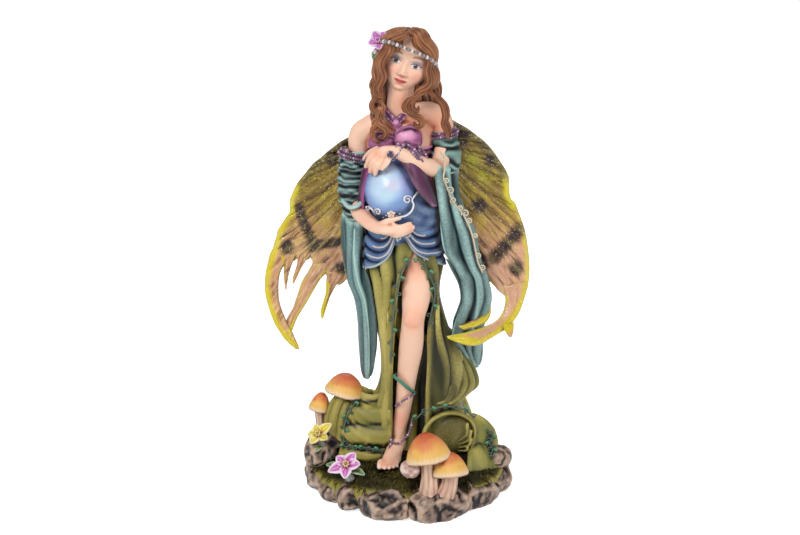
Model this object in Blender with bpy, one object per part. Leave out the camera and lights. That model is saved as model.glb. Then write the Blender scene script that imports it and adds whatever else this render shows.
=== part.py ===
"""Fairy figurine in painted cast resin: one solid casting of the figure on its rocky base, and two
wings glued into its back.

Every shape below is in millimetres, in the figurine's own frame: +Z up, the figure faces -Y, and the
origin is the centre of the base's underside. The figure's own left arm is on the +X side. MM turns
millimetres into Blender's metres.
"""

import math

import bmesh
import bpy
import numpy as np
from mathutils import Euler, Vector

MM = 0.001

# The base: an oval of boulders with a mossy top
BASE_WIDTH = 101.0
BASE_DEPTH = 88.0
RIM_HEIGHT = 13.5
GROUND = 19.0
NOTCH_DEPTH = 4.5
BOULDERS = (
    (15, 1.0), (50, 0.98), (88, 1.0), (126, 0.98), (165, 1.0), (200, 0.94),
    (222, 0.99), (242, 1.07), (272, 1.11), (305, 0.99), (342, 1.0),
)

# Heights of the body above the moss
ANKLE = 11.5
KNEE = 70.0
HIP = 98.0
BELLY = 123.5
BUST = 152.0
SHOULDER = 156.5
CHIN = 175.0

# The head and its dressed hair
HEAD_WIDTH = 18.5
HEAD_DEPTH = 21.0
HEAD_LENGTH = 26.0
HEAD_TILT = 18.0
HAIR_THICKNESS = 2.0

# The body
CHEST_WIDTH = 31.0
HIP_WIDTH = 36.0
BELLY_WIDTH = 25.0
BELLY_DEPTH = 29.0
BELLY_HEIGHT = 28.0
BELLY_RISE = 6.0
SHOULDER_SPAN = 37.0
UPPER_ARM = 33.0
ARM_RADIUS = 4.7
WRIST_RADIUS = 2.9
THIGH_RADIUS = 7.2
CALF_RADIUS = 5.7
ANKLE_RADIUS = 3.5

# Cloth, cast as thick folds
SKIRT_HEM_WIDTH = 56.0
SLEEVE_RADIUS = 7.6
SLEEVE_DROP = 84.0
CLOTH_THICKNESS = 2.6
ROLL_RADIUS = 12.2
PEPLUM_THICKNESS = 1.6

# Mushrooms and flowers on the base
CAP_RADIUS = 10.5
CAP_HEIGHT = 9.5
STEM_RADIUS = 3.4
STEM_HEIGHT = 18.0
FLOWER_RADIUS = 8.0
PETAL_THICKNESS = 1.8

# Wings, each a separate casting glued into the back
WING_THICKNESS = 2.4
WING_REACH = 50.0
TAIL_WIDTH = 7.0
GLUE_GAP = 0.45

# Fineness of the cast surfaces
CAST_DETAIL = 0.9
WING_DETAIL = 0.7
FIGURE_FACES = 9400
WING_FACES = 1400
CRUMB_FACES = 60
SAW_DEPTH = 6.0

HALF_WIDTH = BASE_WIDTH / 2
HALF_DEPTH = BASE_DEPTH / 2
FULL_TURN = 360.0


def clear_scene():
    for old in list(bpy.data.objects):
        bpy.data.objects.remove(old)


def paint(name, colour, roughness, metallic=0.0):
    """A painted resin finish."""
    material = bpy.data.materials.new(name)
    material.use_nodes = True
    shader = material.node_tree.nodes["Principled BSDF"]
    shader.inputs["Base Color"].default_value = (*colour, 1.0)
    shader.inputs["Roughness"].default_value = roughness
    shader.inputs["Metallic"].default_value = metallic
    return material


def through(points, steps):
    """A smooth Catmull-Rom curve through the rows of points, with this many steps to each span."""
    rows = np.asarray(points, float)
    rows = np.concatenate([[2 * rows[0] - rows[1]], rows, [2 * rows[-1] - rows[-2]]])
    share = (np.arange(steps) / steps).reshape((-1,) + (1,) * (rows.ndim - 1))
    spans = []
    for a, b, c, d in zip(rows, rows[1:], rows[2:], rows[3:]):
        bend = (2 * a - 5 * b + 4 * c - d) * share**2 + (3 * b - a - 3 * c + d) * share**3
        spans.append(0.5 * (2 * b + (c - a) * share + bend))
    return np.concatenate([*spans, rows[-2:-1]])


def on_moss(rows):
    """Rows whose heights are measured up from the moss, moved to the figurine's frame."""
    moved = np.array(rows, float)
    moved[..., 2] += GROUND
    return moved


def new_object(name, data):
    made = bpy.data.objects.new(name, data)
    bpy.context.scene.collection.objects.link(made)
    return made


def object_from(name, made):
    """An object whose mesh is this bmesh, with its faces pointing out."""
    bmesh.ops.recalc_face_normals(made, faces=made.faces)
    mesh = bpy.data.meshes.new(name)
    made.to_mesh(mesh)
    made.free()
    return new_object(name, mesh)


def stacked_rings(name, rings):
    """A closed solid through rings of points, each ring joined to the next and both ends filled."""
    made = bmesh.new()
    loops = [[made.verts.new(Vector(point) * MM) for point in ring] for ring in rings]
    for low, high in zip(loops, loops[1:]):
        for i in range(len(low)):
            made.faces.new((low[i - 1], low[i], high[i], high[i - 1]))
    made.faces.new(loops[0])
    made.faces.new(loops[-1])
    return object_from(name, made)


def trunk(name, rows, sides=28, folds=None):
    """An upright form. Each row is x, y, z, half width and half depth of a level ring; folds(angle, height)
    adds to its radius."""
    turn = np.arange(sides) * 2 * math.pi / sides
    rings = []
    for x, y, z, wide, deep in through(rows, 4):
        swell = folds(turn, z) if folds else 0 * turn
        across = x + (wide + swell) * np.cos(turn)
        along = y + (deep + swell) * np.sin(turn)
        rings.append(np.stack([across, along, np.full(sides, z)], axis=1))
    return stacked_rings(name, rings)


def limb(name, rows):
    """A round form along a smooth path. Each row is x, y, z and radius."""
    curve = bpy.data.curves.new(name, "CURVE")
    curve.dimensions = "3D"
    curve.bevel_depth = MM
    curve.bevel_resolution = 3
    curve.use_fill_caps = True
    path = through(rows, 5)
    spline = curve.splines.new("POLY")
    spline.points.add(len(path) - 1)
    for point, (x, y, z, radius) in zip(spline.points, path):
        point.co = (x * MM, y * MM, z * MM, 1.0)
        point.radius = radius
    return new_object(name, curve)


def ball(name, centre, radii, tilt=(0.0, 0.0, 0.0)):
    """An egg shape with these three radii, turned by tilt in degrees."""
    made = bmesh.new()
    bmesh.ops.create_icosphere(made, subdivisions=3, radius=MM)
    turned = Euler([math.radians(angle) for angle in tilt]).to_matrix()
    for point in made.verts:
        stretched = Vector([side * radius for side, radius in zip(point.co, radii)])
        point.co = turned @ stretched + Vector(centre) * MM
    return object_from(name, made)


def cloth(name, rows, thickness):
    """A smooth sheet through rows of points, given its thickness by a Solidify modifier."""
    across = through(rows, 4)
    points = np.swapaxes(through(np.swapaxes(across, 0, 1), 4), 0, 1)
    made = bmesh.new()
    grid = [[made.verts.new(Vector(point) * MM) for point in row] for row in points]
    for low, high in zip(grid, grid[1:]):
        for i in range(1, len(low)):
            made.faces.new((low[i - 1], low[i], high[i], high[i - 1]))
    sheet = object_from(name, made)
    wall = sheet.modifiers.new("Thickness", "SOLIDIFY")
    wall.thickness = thickness * MM
    wall.offset = 0.0
    return sheet


def strip(name, rows, thickness):
    """A tapering ribbon. Each row is x, y, z of its middle, then half its width and the angle of its width in
    degrees."""
    edges = []
    for x, y, z, half, angle in rows:
        lean = math.radians(angle)
        reach = half * np.array([math.cos(lean), 0.0, math.sin(lean)])
        middle = np.array([x, y, z])
        edges.append([middle - reach, middle, middle + reach])
    return cloth(name, edges, thickness)


def turned(name, profile, place, tilt):
    """A round form spun from a profile of radius and height rows, then tilted and put in its place."""
    made = bmesh.new()
    line = [made.verts.new((radius * MM, 0, height * MM)) for radius, height in profile]
    edges = [made.edges.new(pair) for pair in zip(line, line[1:])]
    bmesh.ops.spin(made, geom=line + edges, axis=(0, 0, 1), cent=(0, 0, 0), steps=20, angle=2 * math.pi)
    bmesh.ops.remove_doubles(made, verts=made.verts, dist=0.00001)
    matrix = Euler([math.radians(angle) for angle in tilt]).to_matrix().to_4x4()
    matrix.translation = Vector(place) * MM
    bmesh.ops.transform(made, matrix=matrix, verts=made.verts)
    return object_from(name, made)


def boulder_reach(angle):
    """How far each boulder reaches as a share of the oval, and how deep the notch beside it cuts in
    millimetres."""
    edges = np.array([edge for edge, _ in BOULDERS] + [BOULDERS[0][0] + FULL_TURN], float)
    reach = np.array([share for _, share in BOULDERS])
    turn = (np.degrees(angle) - edges[0]) % FULL_TURN + edges[0]
    place = np.clip(np.searchsorted(edges, turn, side="right") - 1, 0, len(reach) - 1)
    middle = (edges[place] + edges[place + 1]) / 2
    half = (edges[place + 1] - edges[place]) / 2
    return reach[place], NOTCH_DEPTH * np.abs((turn - middle) / half) ** 4


def base():
    """The ring of boulders, bulging at mid height and broken into facets, and the low dome of moss inside
    it."""
    rows = (
        (0.91, -2.0, 1.0),
        (0.95, 1.5, 1.0),
        (1.0, RIM_HEIGHT * 0.45, 1.0),
        (0.985, RIM_HEIGHT * 0.75, 0.9),
        (0.91, RIM_HEIGHT, 0.6),
        (0.78, GROUND - 3.0, 0.2),
        (0.5, GROUND - 0.8, 0.0),
        (0.1, GROUND, 0.0),
    )
    turn = np.arange(96) * 2 * math.pi / 96
    reach, notch = boulder_reach(turn)
    ledge = np.exp(-((np.degrees(turn) - 296) / 18) ** 2)
    rings = []
    for share, height, cut in through(rows, 3):
        facet = 0.9 * np.sin(19 * turn + 0.5 * height) * np.sin(7 * turn - 0.9 * height) * cut
        oval = share * (1 + (reach - 1) * min(1.0, cut + 0.3))
        across = (HALF_WIDTH * oval - notch * cut + facet) * np.cos(turn)
        along = (HALF_DEPTH * oval - notch * cut + facet) * np.sin(turn)
        level = np.where(height > 6, height - ledge * 4.5 * share, height)
        rings.append(np.stack([across, along, level], axis=1))
    return [stacked_rings("boulders", rings)]


def mushroom(name, place, size, height, tilt):
    """A bell cap on a stout stem, both leaning by tilt."""
    cap, rise, stem = CAP_RADIUS * size, CAP_HEIGHT * size, STEM_RADIUS * size
    profile = (
        (0.0, -1.5),
        (stem * 1.25, -1.5),
        (stem * 1.1, height * 0.15),
        (stem * 0.8, height * 0.55),
        (stem * 0.9, height * 0.9),
        (cap * 0.5, height + rise * 0.02),
        (cap * 0.92, height - rise * 0.12),
        (cap, height + rise * 0.05),
        (cap * 0.93, height + rise * 0.35),
        (cap * 0.66, height + rise * 0.72),
        (cap * 0.3, height + rise * 0.95),
        (0.0, height + rise),
    )
    return turned(name, profile, place, tilt)


def flower(name, place, size, tilt):
    """Five pointed petals opening from a cup, with a button in the middle."""
    radius = FLOWER_RADIUS * size
    made = bmesh.new()
    turned_by = Euler([math.radians(angle) for angle in tilt]).to_matrix()
    steps = 20
    rings = []
    for share, top in ((1.0, True), (0.45, True), (0.45, False), (1.0, False)):
        ring = []
        for i in range(steps):
            angle = 2 * math.pi * i / steps
            point = 1.0 if i % 4 == 0 else (0.82 if i % 2 else 0.5)
            reach = radius * share * (point if share == 1.0 else 1.0)
            lift = 0.16 * radius * share * point
            height = lift + (PETAL_THICKNESS / 2 if top else -PETAL_THICKNESS / 2)
            ring.append(turned_by @ Vector((reach * math.cos(angle), reach * math.sin(angle), height)))
        rings.append([made.verts.new((point + Vector(place)) * MM) for point in ring])
    for low, high in zip(rings, rings[1:] + rings[:1]):
        if low is rings[1]:
            made.faces.new(low)
            made.faces.new(high)
            continue
        for i in range(steps):
            made.faces.new((low[i - 1], low[i], high[i], high[i - 1]))
    button = ball(name + "_button", Vector(place), (radius * 0.2, radius * 0.2, radius * 0.3), tilt)
    return [object_from(name, made), button]


def plants():
    """Two mushrooms and a flower bud at the front right, two mushrooms at the left rear, and two open
    flowers."""
    made = [
        mushroom("tall_mushroom", (HALF_WIDTH * 0.2, -HALF_DEPTH * 0.84, GROUND - 9), 1.0, STEM_HEIGHT,
            (4, 0, 0)),
        mushroom("front_mushroom", (HALF_WIDTH * 0.37, -HALF_DEPTH * 0.82, GROUND - 9), 0.72, STEM_HEIGHT * 0.6,
            (20, 14, 0)),
        mushroom("rear_mushroom", (-HALF_WIDTH * 0.69, HALF_DEPTH * 0.05, GROUND - 4), 0.98, STEM_HEIGHT * 1.72,
            (2, 9, 0)),
        mushroom("side_mushroom", (-HALF_WIDTH * 0.79, 0.0, GROUND - 6), 0.68, STEM_HEIGHT * 1.38, (6, -5, 0)),
        ball("bud", (HALF_WIDTH * 0.015, -HALF_DEPTH * 0.82, GROUND - 1), (4.2, 3.4, 4.0), (0, 25, 0)),
    ]
    made += flower("rose_flower", (-HALF_WIDTH * 0.58, -HALF_DEPTH * 0.76, GROUND + 3.4), 1.0, (38, -6, 0))
    made += flower("yellow_flower", (-HALF_WIDTH * 0.83, -HALF_DEPTH * 0.32, GROUND + 10.5), 0.8, (52, -22, 0))
    made.append(limb("rose_stalk",
        on_moss([(-25.0, -26.0, -8.0, 6.5), (-28.0, -31.0, -3.0, 5.0), (-29.0, -32.6, 2.5, 3.2)])))
    made.append(limb("yellow_stalk",
        on_moss([(-38.0, -8.0, -4.0, 5.0), (-40.5, -10.5, 4.0, 4.0), (-41.3, -12.6, 10.0, 2.6)])))
    return made


def body():
    """Head, neck, sloping shoulders, torso, belly and bust."""
    lean = math.radians(HEAD_TILT)
    half_head = HEAD_LENGTH / 2
    head = (-3.9 + half_head * math.sin(lean), 0.5, GROUND + CHIN + half_head * math.cos(lean))
    face = head[1] - HEAD_DEPTH / 2
    torso = on_moss([
        (-4.0, 4.5, HIP - 2, HIP_WIDTH / 2 - 2, 11.0),
        (-3.5, 4.5, HIP + 8, HIP_WIDTH / 2 - 1, 11.0),
        (-3.5, 3.5, BELLY, CHEST_WIDTH / 2 - 1.0, 9.0),
        (-4.0, 3.0, BELLY + 16, CHEST_WIDTH / 2 - 2.0, 8.0),
        (-4.0, 3.0, BUST, CHEST_WIDTH / 2, 8.5),
        (-3.0, 4.5, SHOULDER, SHOULDER_SPAN / 2 - 3, 6.8),
        (-3.5, 4.0, SHOULDER + 5, CHEST_WIDTH / 2 - 6, 6.0),
        (-4.0, 3.5, SHOULDER + 8.5, 5.5, 5.0),
    ])
    half_span = SHOULDER_SPAN / 2
    collar = on_moss([
        (-3.0 - half_span, 5.0, SHOULDER - 5.0, 5.2), (-1.0 - half_span * 0.8, 5.0, SHOULDER - 0.6, 5.6),
         (-8.0, 4.0, SHOULDER + 3.5, 5.2),
        (0.0, 4.0, SHOULDER + 5.6, 5.2), (-5.0 + half_span, 4.6, SHOULDER + 4.4, 5.5),
         (-2.0 + half_span, 4.6, SHOULDER + 1.0, 5.2),
    ])
    return [
        trunk("torso", torso),
        limb("collar", collar),
        ball("belly", (-7.8, -8.0, GROUND + BELLY + BELLY_RISE),
            (BELLY_WIDTH / 2, BELLY_DEPTH / 2, BELLY_HEIGHT / 2)),
        ball("lap", (-3.4, -2.5, GROUND + BELLY - 9.5), (CHEST_WIDTH / 2, 12.0, BELLY_HEIGHT / 2 - 1.0)),
        ball("right_breast", (-11.5, -4.0, GROUND + BUST - 0.5), (6.6, 6.4, 6.2)),
        ball("left_breast", (-0.5, -5.0, GROUND + BUST + 1.0), (6.8, 6.8, 6.4)),
        limb("neck", on_moss([(-4.5, 4.0, SHOULDER + 1, 6.0), (-4.0, 2.8, CHIN - 8, 5.2), (-2.0, 1.6, CHIN + 4, 5.2)])),
        ball("head", head, (HEAD_WIDTH / 2, HEAD_DEPTH / 2, half_head), (0, HEAD_TILT, 0)),
        ball("nose", (head[0] - 1.5, face + 1.0, head[2] - 3.6), (1.1, 1.7, 3.0), (16, HEAD_TILT, 0)),
        ball("lips", (head[0] - 2.6, face + 2.7, head[2] - 8.0), (2.4, 1.3, 1.2), (0, HEAD_TILT, 0)),
        ball("chin", (head[0] - 3.4, face + 5.0, head[2] - 10.6), (3.4, 2.8, 2.2), (0, HEAD_TILT, 0)),
    ]


def hair():
    """The hair set back from the face and parted over it, wavy locks at both sides and a mass down the back."""
    lean = math.radians(HEAD_TILT)
    half_head = HEAD_LENGTH / 2
    centre = (-4.0 + half_head * math.sin(lean), 5.2, GROUND + CHIN + half_head * math.cos(lean) - 0.4)
    grown = (HEAD_WIDTH / 2 + HAIR_THICKNESS + 1.0, HEAD_DEPTH / 2 + 0.6, half_head + HAIR_THICKNESS - 1.0)
    thick = HAIR_THICKNESS
    locks = [
        limb("right_parting", on_moss([
            (2.0, -5.0, CHIN + 21.5, thick), (-4.0, -7.2, CHIN + 19.5, thick + 0.3),
             (-9.4, -5.2, CHIN + 14.5, thick + 0.4),
            (-12.0, -2.0, CHIN + 6, thick + 0.4), (-12.4, -1.0, CHIN - 2, thick),
        ])),
        limb("left_parting", on_moss([
            (2.0, -5.0, CHIN + 21.5, thick), (7.0, -6.4, CHIN + 17.5, thick + 0.3),
             (10.6, -4.6, CHIN + 10.5, thick + 0.5),
            (10.0, -2.6, CHIN + 2, thick + 0.6), (8.0, -2.0, CHIN - 6, thick),
        ])),
        limb("right_lock", on_moss([
            (-11.5, 0.0, CHIN + 20, 2.6), (-13.6, 0.0, CHIN + 9, 3.0), (-15.0, -1.0, CHIN, 3.0),
            (-12.0, -1.6, CHIN - 7, 2.8), (-14.2, -3.2, CHIN - 14, 3.0), (-10.0, -7.5, CHIN - 21, 2.2),
        ])),
        limb("right_curl", on_moss([
            (-12.5, 3.0, CHIN + 12, 3.4), (-15.0, 3.0, CHIN - 4, 3.2), (-17.4, 2.0, CHIN - 12, 3.2),
             (-14.6, -2.5, CHIN - 20, 2.2),
        ])),
        limb("left_lock", on_moss([
            (10.4, -1.5, CHIN + 18, 3.0), (11.0, -1.6, CHIN + 6, 3.4), (9.0, -2.2, CHIN - 2, 3.4),
            (5.4, -3.4, CHIN - 8, 3.0), (7.8, -7.0, CHIN - 16, 2.8), (4.0, -9.5, CHIN - 22, 2.0),
        ])),
        limb("left_curl", on_moss([
            (10.0, 2.0, CHIN + 14, 3.6), (11.6, 1.5, CHIN, 3.6), (14.0, -1.0, CHIN - 8, 3.4),
            (17.6, -1.5, CHIN - 14, 3.0), (15.0, -2.5, CHIN - 21, 2.4), (10.5, -3.5, CHIN - 20, 2.0),
        ])),
    ]
    fall = trunk("back_hair", on_moss([
        (-2.0, 8.0, BUST - 8, 8.0, 3.5),
        (-2.0, 9.0, BUST, 13.0, 5.5),
        (-1.0, 8.0, SHOULDER + 8, 14.5, 6.0),
        (-1.0, 6.5, CHIN + 4, 12.0, 7.5),
        (-0.5, 5.5, CHIN + 13, 11.0, 8.5),
        (0.5, 5.0, CHIN + 20, 8.0, 7.0),
        (1.0, 5.0, CHIN + 23, 3.0, 3.0),
    ]), folds=lambda turn, height: 0.5 * np.sin(9 * turn + 0.35 * height))
    bloom = flower("hair_flower", (-13.0, -4.0, GROUND + CHIN + 20.5), 0.68, (62, -30, 0))
    return [ball("crown", centre, grown, (0, HEAD_TILT * 0.6, 0)), fall, *locks, *bloom]


def arms():
    """Both arms, bent so that one hand lies on the belly and the other holds it from below."""
    right = (-2.0 - SHOULDER_SPAN / 2, 5.0, SHOULDER - 4)
    left = (-3.0 + SHOULDER_SPAN / 2, 5.0, SHOULDER + 1)
    right_elbow = (right[0] - 3.0, 4.0, SHOULDER - 2 - UPPER_ARM)
    left_elbow = (left[0] + 0.3, -4.5, SHOULDER + 12.5 - UPPER_ARM)
    return [
        limb("right_arm", on_moss([
            (-15.0, 5.0, SHOULDER + 0.5, ARM_RADIUS), (*right, ARM_RADIUS + 0.5),
             (-22.0, 5.2, SHOULDER - 16, ARM_RADIUS), (*right_elbow, ARM_RADIUS),
        ])),
        limb("right_forearm", on_moss([
            (*right_elbow, ARM_RADIUS - 0.2), (-21.5, -8.0, BELLY - 6.5, ARM_RADIUS - 0.6),
            (-15.5, -17.0, BELLY - 9.0, WRIST_RADIUS), (-10.0, -21.0, BELLY - 10.0, 3.4),
             (-5.0, -22.5, BELLY - 10.0, 3.2),
        ])),
        cloth("right_hand", on_moss([
            [(-12.0, -22.5, BELLY - 7.0), (-11.0, -21.0, BELLY - 10.0), (-9.5, -17.0, BELLY - 13.0)],
            [(-6.0, -24.6, BELLY - 7.4), (-5.0, -23.0, BELLY - 10.6), (-3.5, -18.5, BELLY - 13.2)],
            [(2.0, -24.0, BELLY - 7.6), (2.5, -22.0, BELLY - 9.6), (3.5, -19.0, BELLY - 11.4)],
        ]), 2.6),
        limb("left_arm", on_moss([
            (10.0, 5.0, SHOULDER + 3, ARM_RADIUS), (*left, ARM_RADIUS + 0.5),
             (16.6, 3.0, SHOULDER - 10, ARM_RADIUS), (*left_elbow, ARM_RADIUS),
        ])),
        limb("left_forearm", on_moss([
            (*left_elbow, ARM_RADIUS - 0.4), (6.5, -13.5, BELLY + 18.0, ARM_RADIUS - 0.9),
            (-4.0, -18.0, BELLY + 24.5, WRIST_RADIUS + 0.2), (-10.5, -19.5, BELLY + 23.0, 3.6),
            (-15.6, -19.0, BELLY + 18.0, 3.2), (-18.0, -16.0, BELLY + 13.0, 2.2),
        ])),
    ]


def legs():
    """The left leg, bare from the slit of the skirt down to the foot."""
    foot = on_moss([
        (-3.4, -2.0, 3.8, 3.0), (-4.6, -8.0, 5.5, 3.8), (-6.4, -15.0, 4.4, 3.8), (-8.4, -21.0, 2.4, 3.6),
         (-9.8, -26.5, 1.4, 2.6),
    ])
    return [
        limb("left_leg", on_moss([
            (5.0, -1.0, HIP + 4, THIGH_RADIUS + 0.6), (3.8, -9.5, KNEE + 13.5, THIGH_RADIUS),
             (2.6, -14.0, KNEE, 5.2),
            (1.2, -10.5, KNEE - 14, CALF_RADIUS), (0.2, -8.5, KNEE - 28, 4.8), (-2.4, -7.0, ANKLE + 10, 4.0),
            (-4.0, -7.0, ANKLE, ANKLE_RADIUS), (-4.2, -7.5, 4.5, 3.6),
        ])),
        limb("left_foot", foot),
        cloth("toes", on_moss([
            [(-13.6, -20.0, 2.2), (-9.0, -20.0, 3.6), (-3.8, -20.0, 2.2)],
            [(-15.0, -26.0, 1.0), (-9.8, -27.0, 1.4), (-4.8, -26.0, 1.0)],
        ]), 2.6),
    ]


def skirt_folds(angle, height):
    """Upright folds that deepen towards the hem."""
    depth = 0.8 + 1.9 * np.clip((HIP - height + GROUND) / HIP, 0, 1)
    sway = 0.02 * (height - GROUND)
    return depth * (np.sin(9 * angle + sway) + 0.45 * np.sin(17 * angle - 2 * sway))


def fold(name, rows):
    """A raised fold of the skirt, thin at its upper end and thick below."""
    path = on_moss(rows)
    swell = np.linspace(0.5, 0.9, len(path)) * CLOTH_THICKNESS * 0.8
    return limb(name, np.concatenate([path, swell[:, None]], axis=1))


def panel(name, levels):
    """A hanging panel of the skirt: at each height above the moss, the x and y of its points across."""
    rows = [[(x, y, height) for x, y in across] for height, across in levels]
    return cloth(name, on_moss(rows), CLOTH_THICKNESS)


def skirt():
    """The skirt with its slit, the train to the left of the leg and the rolled hem to its right."""
    hem = SKIRT_HEM_WIDTH / 2
    fall = trunk("skirt", on_moss([
        (6.0, 12.0, -4.0, hem - 2.0, 18.0),
        (6.0, 12.0, 12.0, hem - 6.0, 16.0),
        (6.0, 11.0, 30.0, hem - 11.5, 13.5),
        (6.6, 8.5, 50.0, hem - 10.5, 12.5),
        (2.4, 6.5, 61.0, hem - 12.5, 12.0),
        (-0.6, 6.0, KNEE + 3, hem - 14.2, 11.8),
        (-2.6, 5.0, HIP - 8, hem - 12.8, 11.5),
        (-3.0, 4.5, HIP + 12, HIP_WIDTH / 2 - 1.4, 10.5),
    ]), sides=72, folds=skirt_folds)
    left_panel = panel("left_panel", [
        (HIP + 13, [(3.0, -9.0), (-4.0, -10.0), (-11.0, -8.4), (-16.0, -3.0)]),
        (HIP + 3, [(3.0, -11.0), (-4.0, -12.0), (-11.0, -10.0), (-17.0, -4.0)]),
        (KNEE + 14, [(-2.6, -12.5), (-6.5, -9.5), (-11.0, -10.5), (-15.0, -3.0)]),
        (KNEE, [(-5.0, -12.5), (-8.0, -9.0), (-10.8, -9.5), (-13.6, -2.0)]),
        (50.0, [(-7.0, -11.0), (-9.0, -7.0), (-10.6, -7.0), (-12.0, 0.0)]),
        (35.0, [(-7.6, -10.0), (-9.0, -7.5), (-10.6, -6.5), (-12.0, 1.0)]),
        (26.0, [(-7.0, -10.0), (-11.0, -9.5), (-16.0, -7.0), (-20.0, 2.0)]),
        (16.0, [(-7.0, -9.0), (-13.0, -11.0), (-20.0, -10.0), (-26.0, -4.0)]),
    ])
    right_panel = panel("right_panel", [
        (HIP + 13, [(3.0, -9.0), (7.0, -9.4), (10.5, -6.4), (12.6, 0.0)]),
        (HIP + 3, [(3.0, -11.0), (7.0, -11.5), (10.5, -8.0), (13.0, -1.0)]),
        (KNEE + 17, [(9.0, -12.6), (10.6, -9.6), (12.0, -9.0), (13.0, -2.0)]),
        (KNEE + 6, [(11.6, -12.0), (12.2, -9.0), (13.0, -8.6), (13.6, -1.0)]),
        (KNEE - 10, [(10.2, -10.8), (13.0, -8.0), (16.0, -9.0), (19.0, 0.0)]),
        (42.0, [(9.6, -9.0), (14.5, -7.6), (19.5, -9.0), (24.0, -2.0)]),
        (28.0, [(10.6, -9.0), (15.0, -9.0), (19.0, -9.0), (24.0, -4.0)]),
        (12.0, [(12.0, -10.0), (17.0, -10.0), (22.0, -9.0), (28.0, -4.0)]),
    ])
    folds = [
        fold("left_fold", [(-9.0, -10.0, HIP), (-11.0, -10.6, KNEE + 12),
            (-10.8, -9.6, KNEE), (-10.4, -8.0, 50.0), (-11.0, -8.0, 36.0), (-17.0, -8.0, 24.0)]),
        fold("middle_fold", [(5.0, -11.5, HIP - 2), (12.0, -9.6, KNEE + 12), (13.6, -9.4, KNEE - 2),
            (15.5, -9.0, 52.0), (18.0, -9.6, 38.0)]),
        fold("right_fold", [(9.0, -9.0, HIP), (13.4, -5.0, KNEE + 10), (16.0, -5.0, KNEE - 8),
            (22.0, -5.0, 44.0), (24.0, -5.0, 30.0)]),
        fold("upper_sweep",
            [(-8.0, -9.5, 40.0), (-11.5, -9.0, 29.0), (-18.0, -7.5, 22.0), (-26.0, -3.0, 22.0)]),
        fold("lower_sweep",
            [(-8.0, -10.0, 33.0), (-14.0, -10.5, 18.5), (-24.0, -9.5, 13.5), (-32.0, -5.0, 14.5)]),
        fold("middle_sweep",
            [(-7.0, -10.0, 25.0), (-14.0, -12.8, 12.0), (-23.0, -12.8, 7.5), (-32.0, -8.5, 7.0)]),
        fold("hem_sweep", [(-7.0, -10.0, 12.0), (-12.0, -14.0, 4.0), (-21.0, -14.5, 1.5), (-31.0, -9.5, 0.5)]),
    ]
    train = trunk("train", on_moss([
        (-19.0, 1.0, -4.0, 18.0, 16.5),
        (-19.5, 1.0, 4.0, 17.0, 15.6),
        (-19.5, 2.5, 12.0, 16.0, 13.2),
        (-19.0, 4.4, 19.0, 14.0, 9.4),
        (-19.5, 6.0, 24.5, 10.5, 4.8),
    ]), sides=36)
    edge = cloth("train_edge", on_moss([
        [(-38.5, -1.0, 17.0), (-35.5, -5.0, 10.0), (-32.5, -9.0, 0.0)],
        [(-35.5, 1.0, 22.0), (-31.0, -4.5, 16.5), (-27.0, -9.0, 10.0)],
        [(-27.0, 3.0, 27.0), (-24.5, -2.5, 21.0), (-21.0, -6.0, 16.0)],
    ]), CLOTH_THICKNESS)
    ruffle = cloth("ruffle", on_moss([
        [(17.0, -1.0, 50.0), (21.0, 1.0, 47.0), (24.0, 8.0, 44.0)],
        [(20.0, -4.0, 42.0), (27.0, -1.0, 38.0), (32.0, 5.0, 36.0)],
        [(20.0, -7.0, 34.0), (27.0, -4.0, 32.0), (32.5, 4.0, 31.0)],
        [(17.0, -9.0, 27.0), (21.0, -8.0, 26.0), (24.5, -4.0, 26.0)],
        [(12.0, -10.0, 21.0), (18.0, -11.0, 21.0), (23.0, -10.0, 21.0)],
    ]), CLOTH_THICKNESS)
    turn = np.radians((-40, 10, 60, 110, 160, 205))
    roll = cloth("rolled_hem", np.stack([
        np.stack([19.6 + ROLL_RADIUS * np.cos(turn), -14.4 + 3.0 * np.cos(turn),
            GROUND + 11.4 + (ROLL_RADIUS - 1.2) * np.sin(turn)], axis=1),
        np.stack([20.2 + (ROLL_RADIUS - 1.6) * np.cos(turn), -7.0 + 2.0 * np.cos(turn),
            GROUND + 10.4 + (ROLL_RADIUS - 2.6) * np.sin(turn)], axis=1),
        np.stack([21.0 + ROLL_RADIUS / 2 * np.cos(turn), 2.0 + 2.0 * np.cos(turn),
            GROUND + 9.0 + ROLL_RADIUS * 0.58 * np.sin(turn)], axis=1),
    ]), CLOTH_THICKNESS)
    end = cloth("train_end", on_moss([
        [(26.0, -4.0, 12.0), (29.0, -12.0, 5.0), (30.0, -17.0, -6.0)],
        [(33.0, 2.0, 13.0), (35.0, -8.0, 8.0), (36.0, -16.0, -6.0)],
        [(39.0, 3.0, 9.0), (41.0, -5.0, 5.0), (41.0, -12.0, -5.0)],
        [(43.0, 3.0, 3.0), (43.5, -2.0, 0.0), (42.0, -7.0, -6.0)],
    ]), CLOTH_THICKNESS + 1.0)
    return [fall, left_panel, right_panel, *folds, train, edge, ruffle, roll, end]


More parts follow.
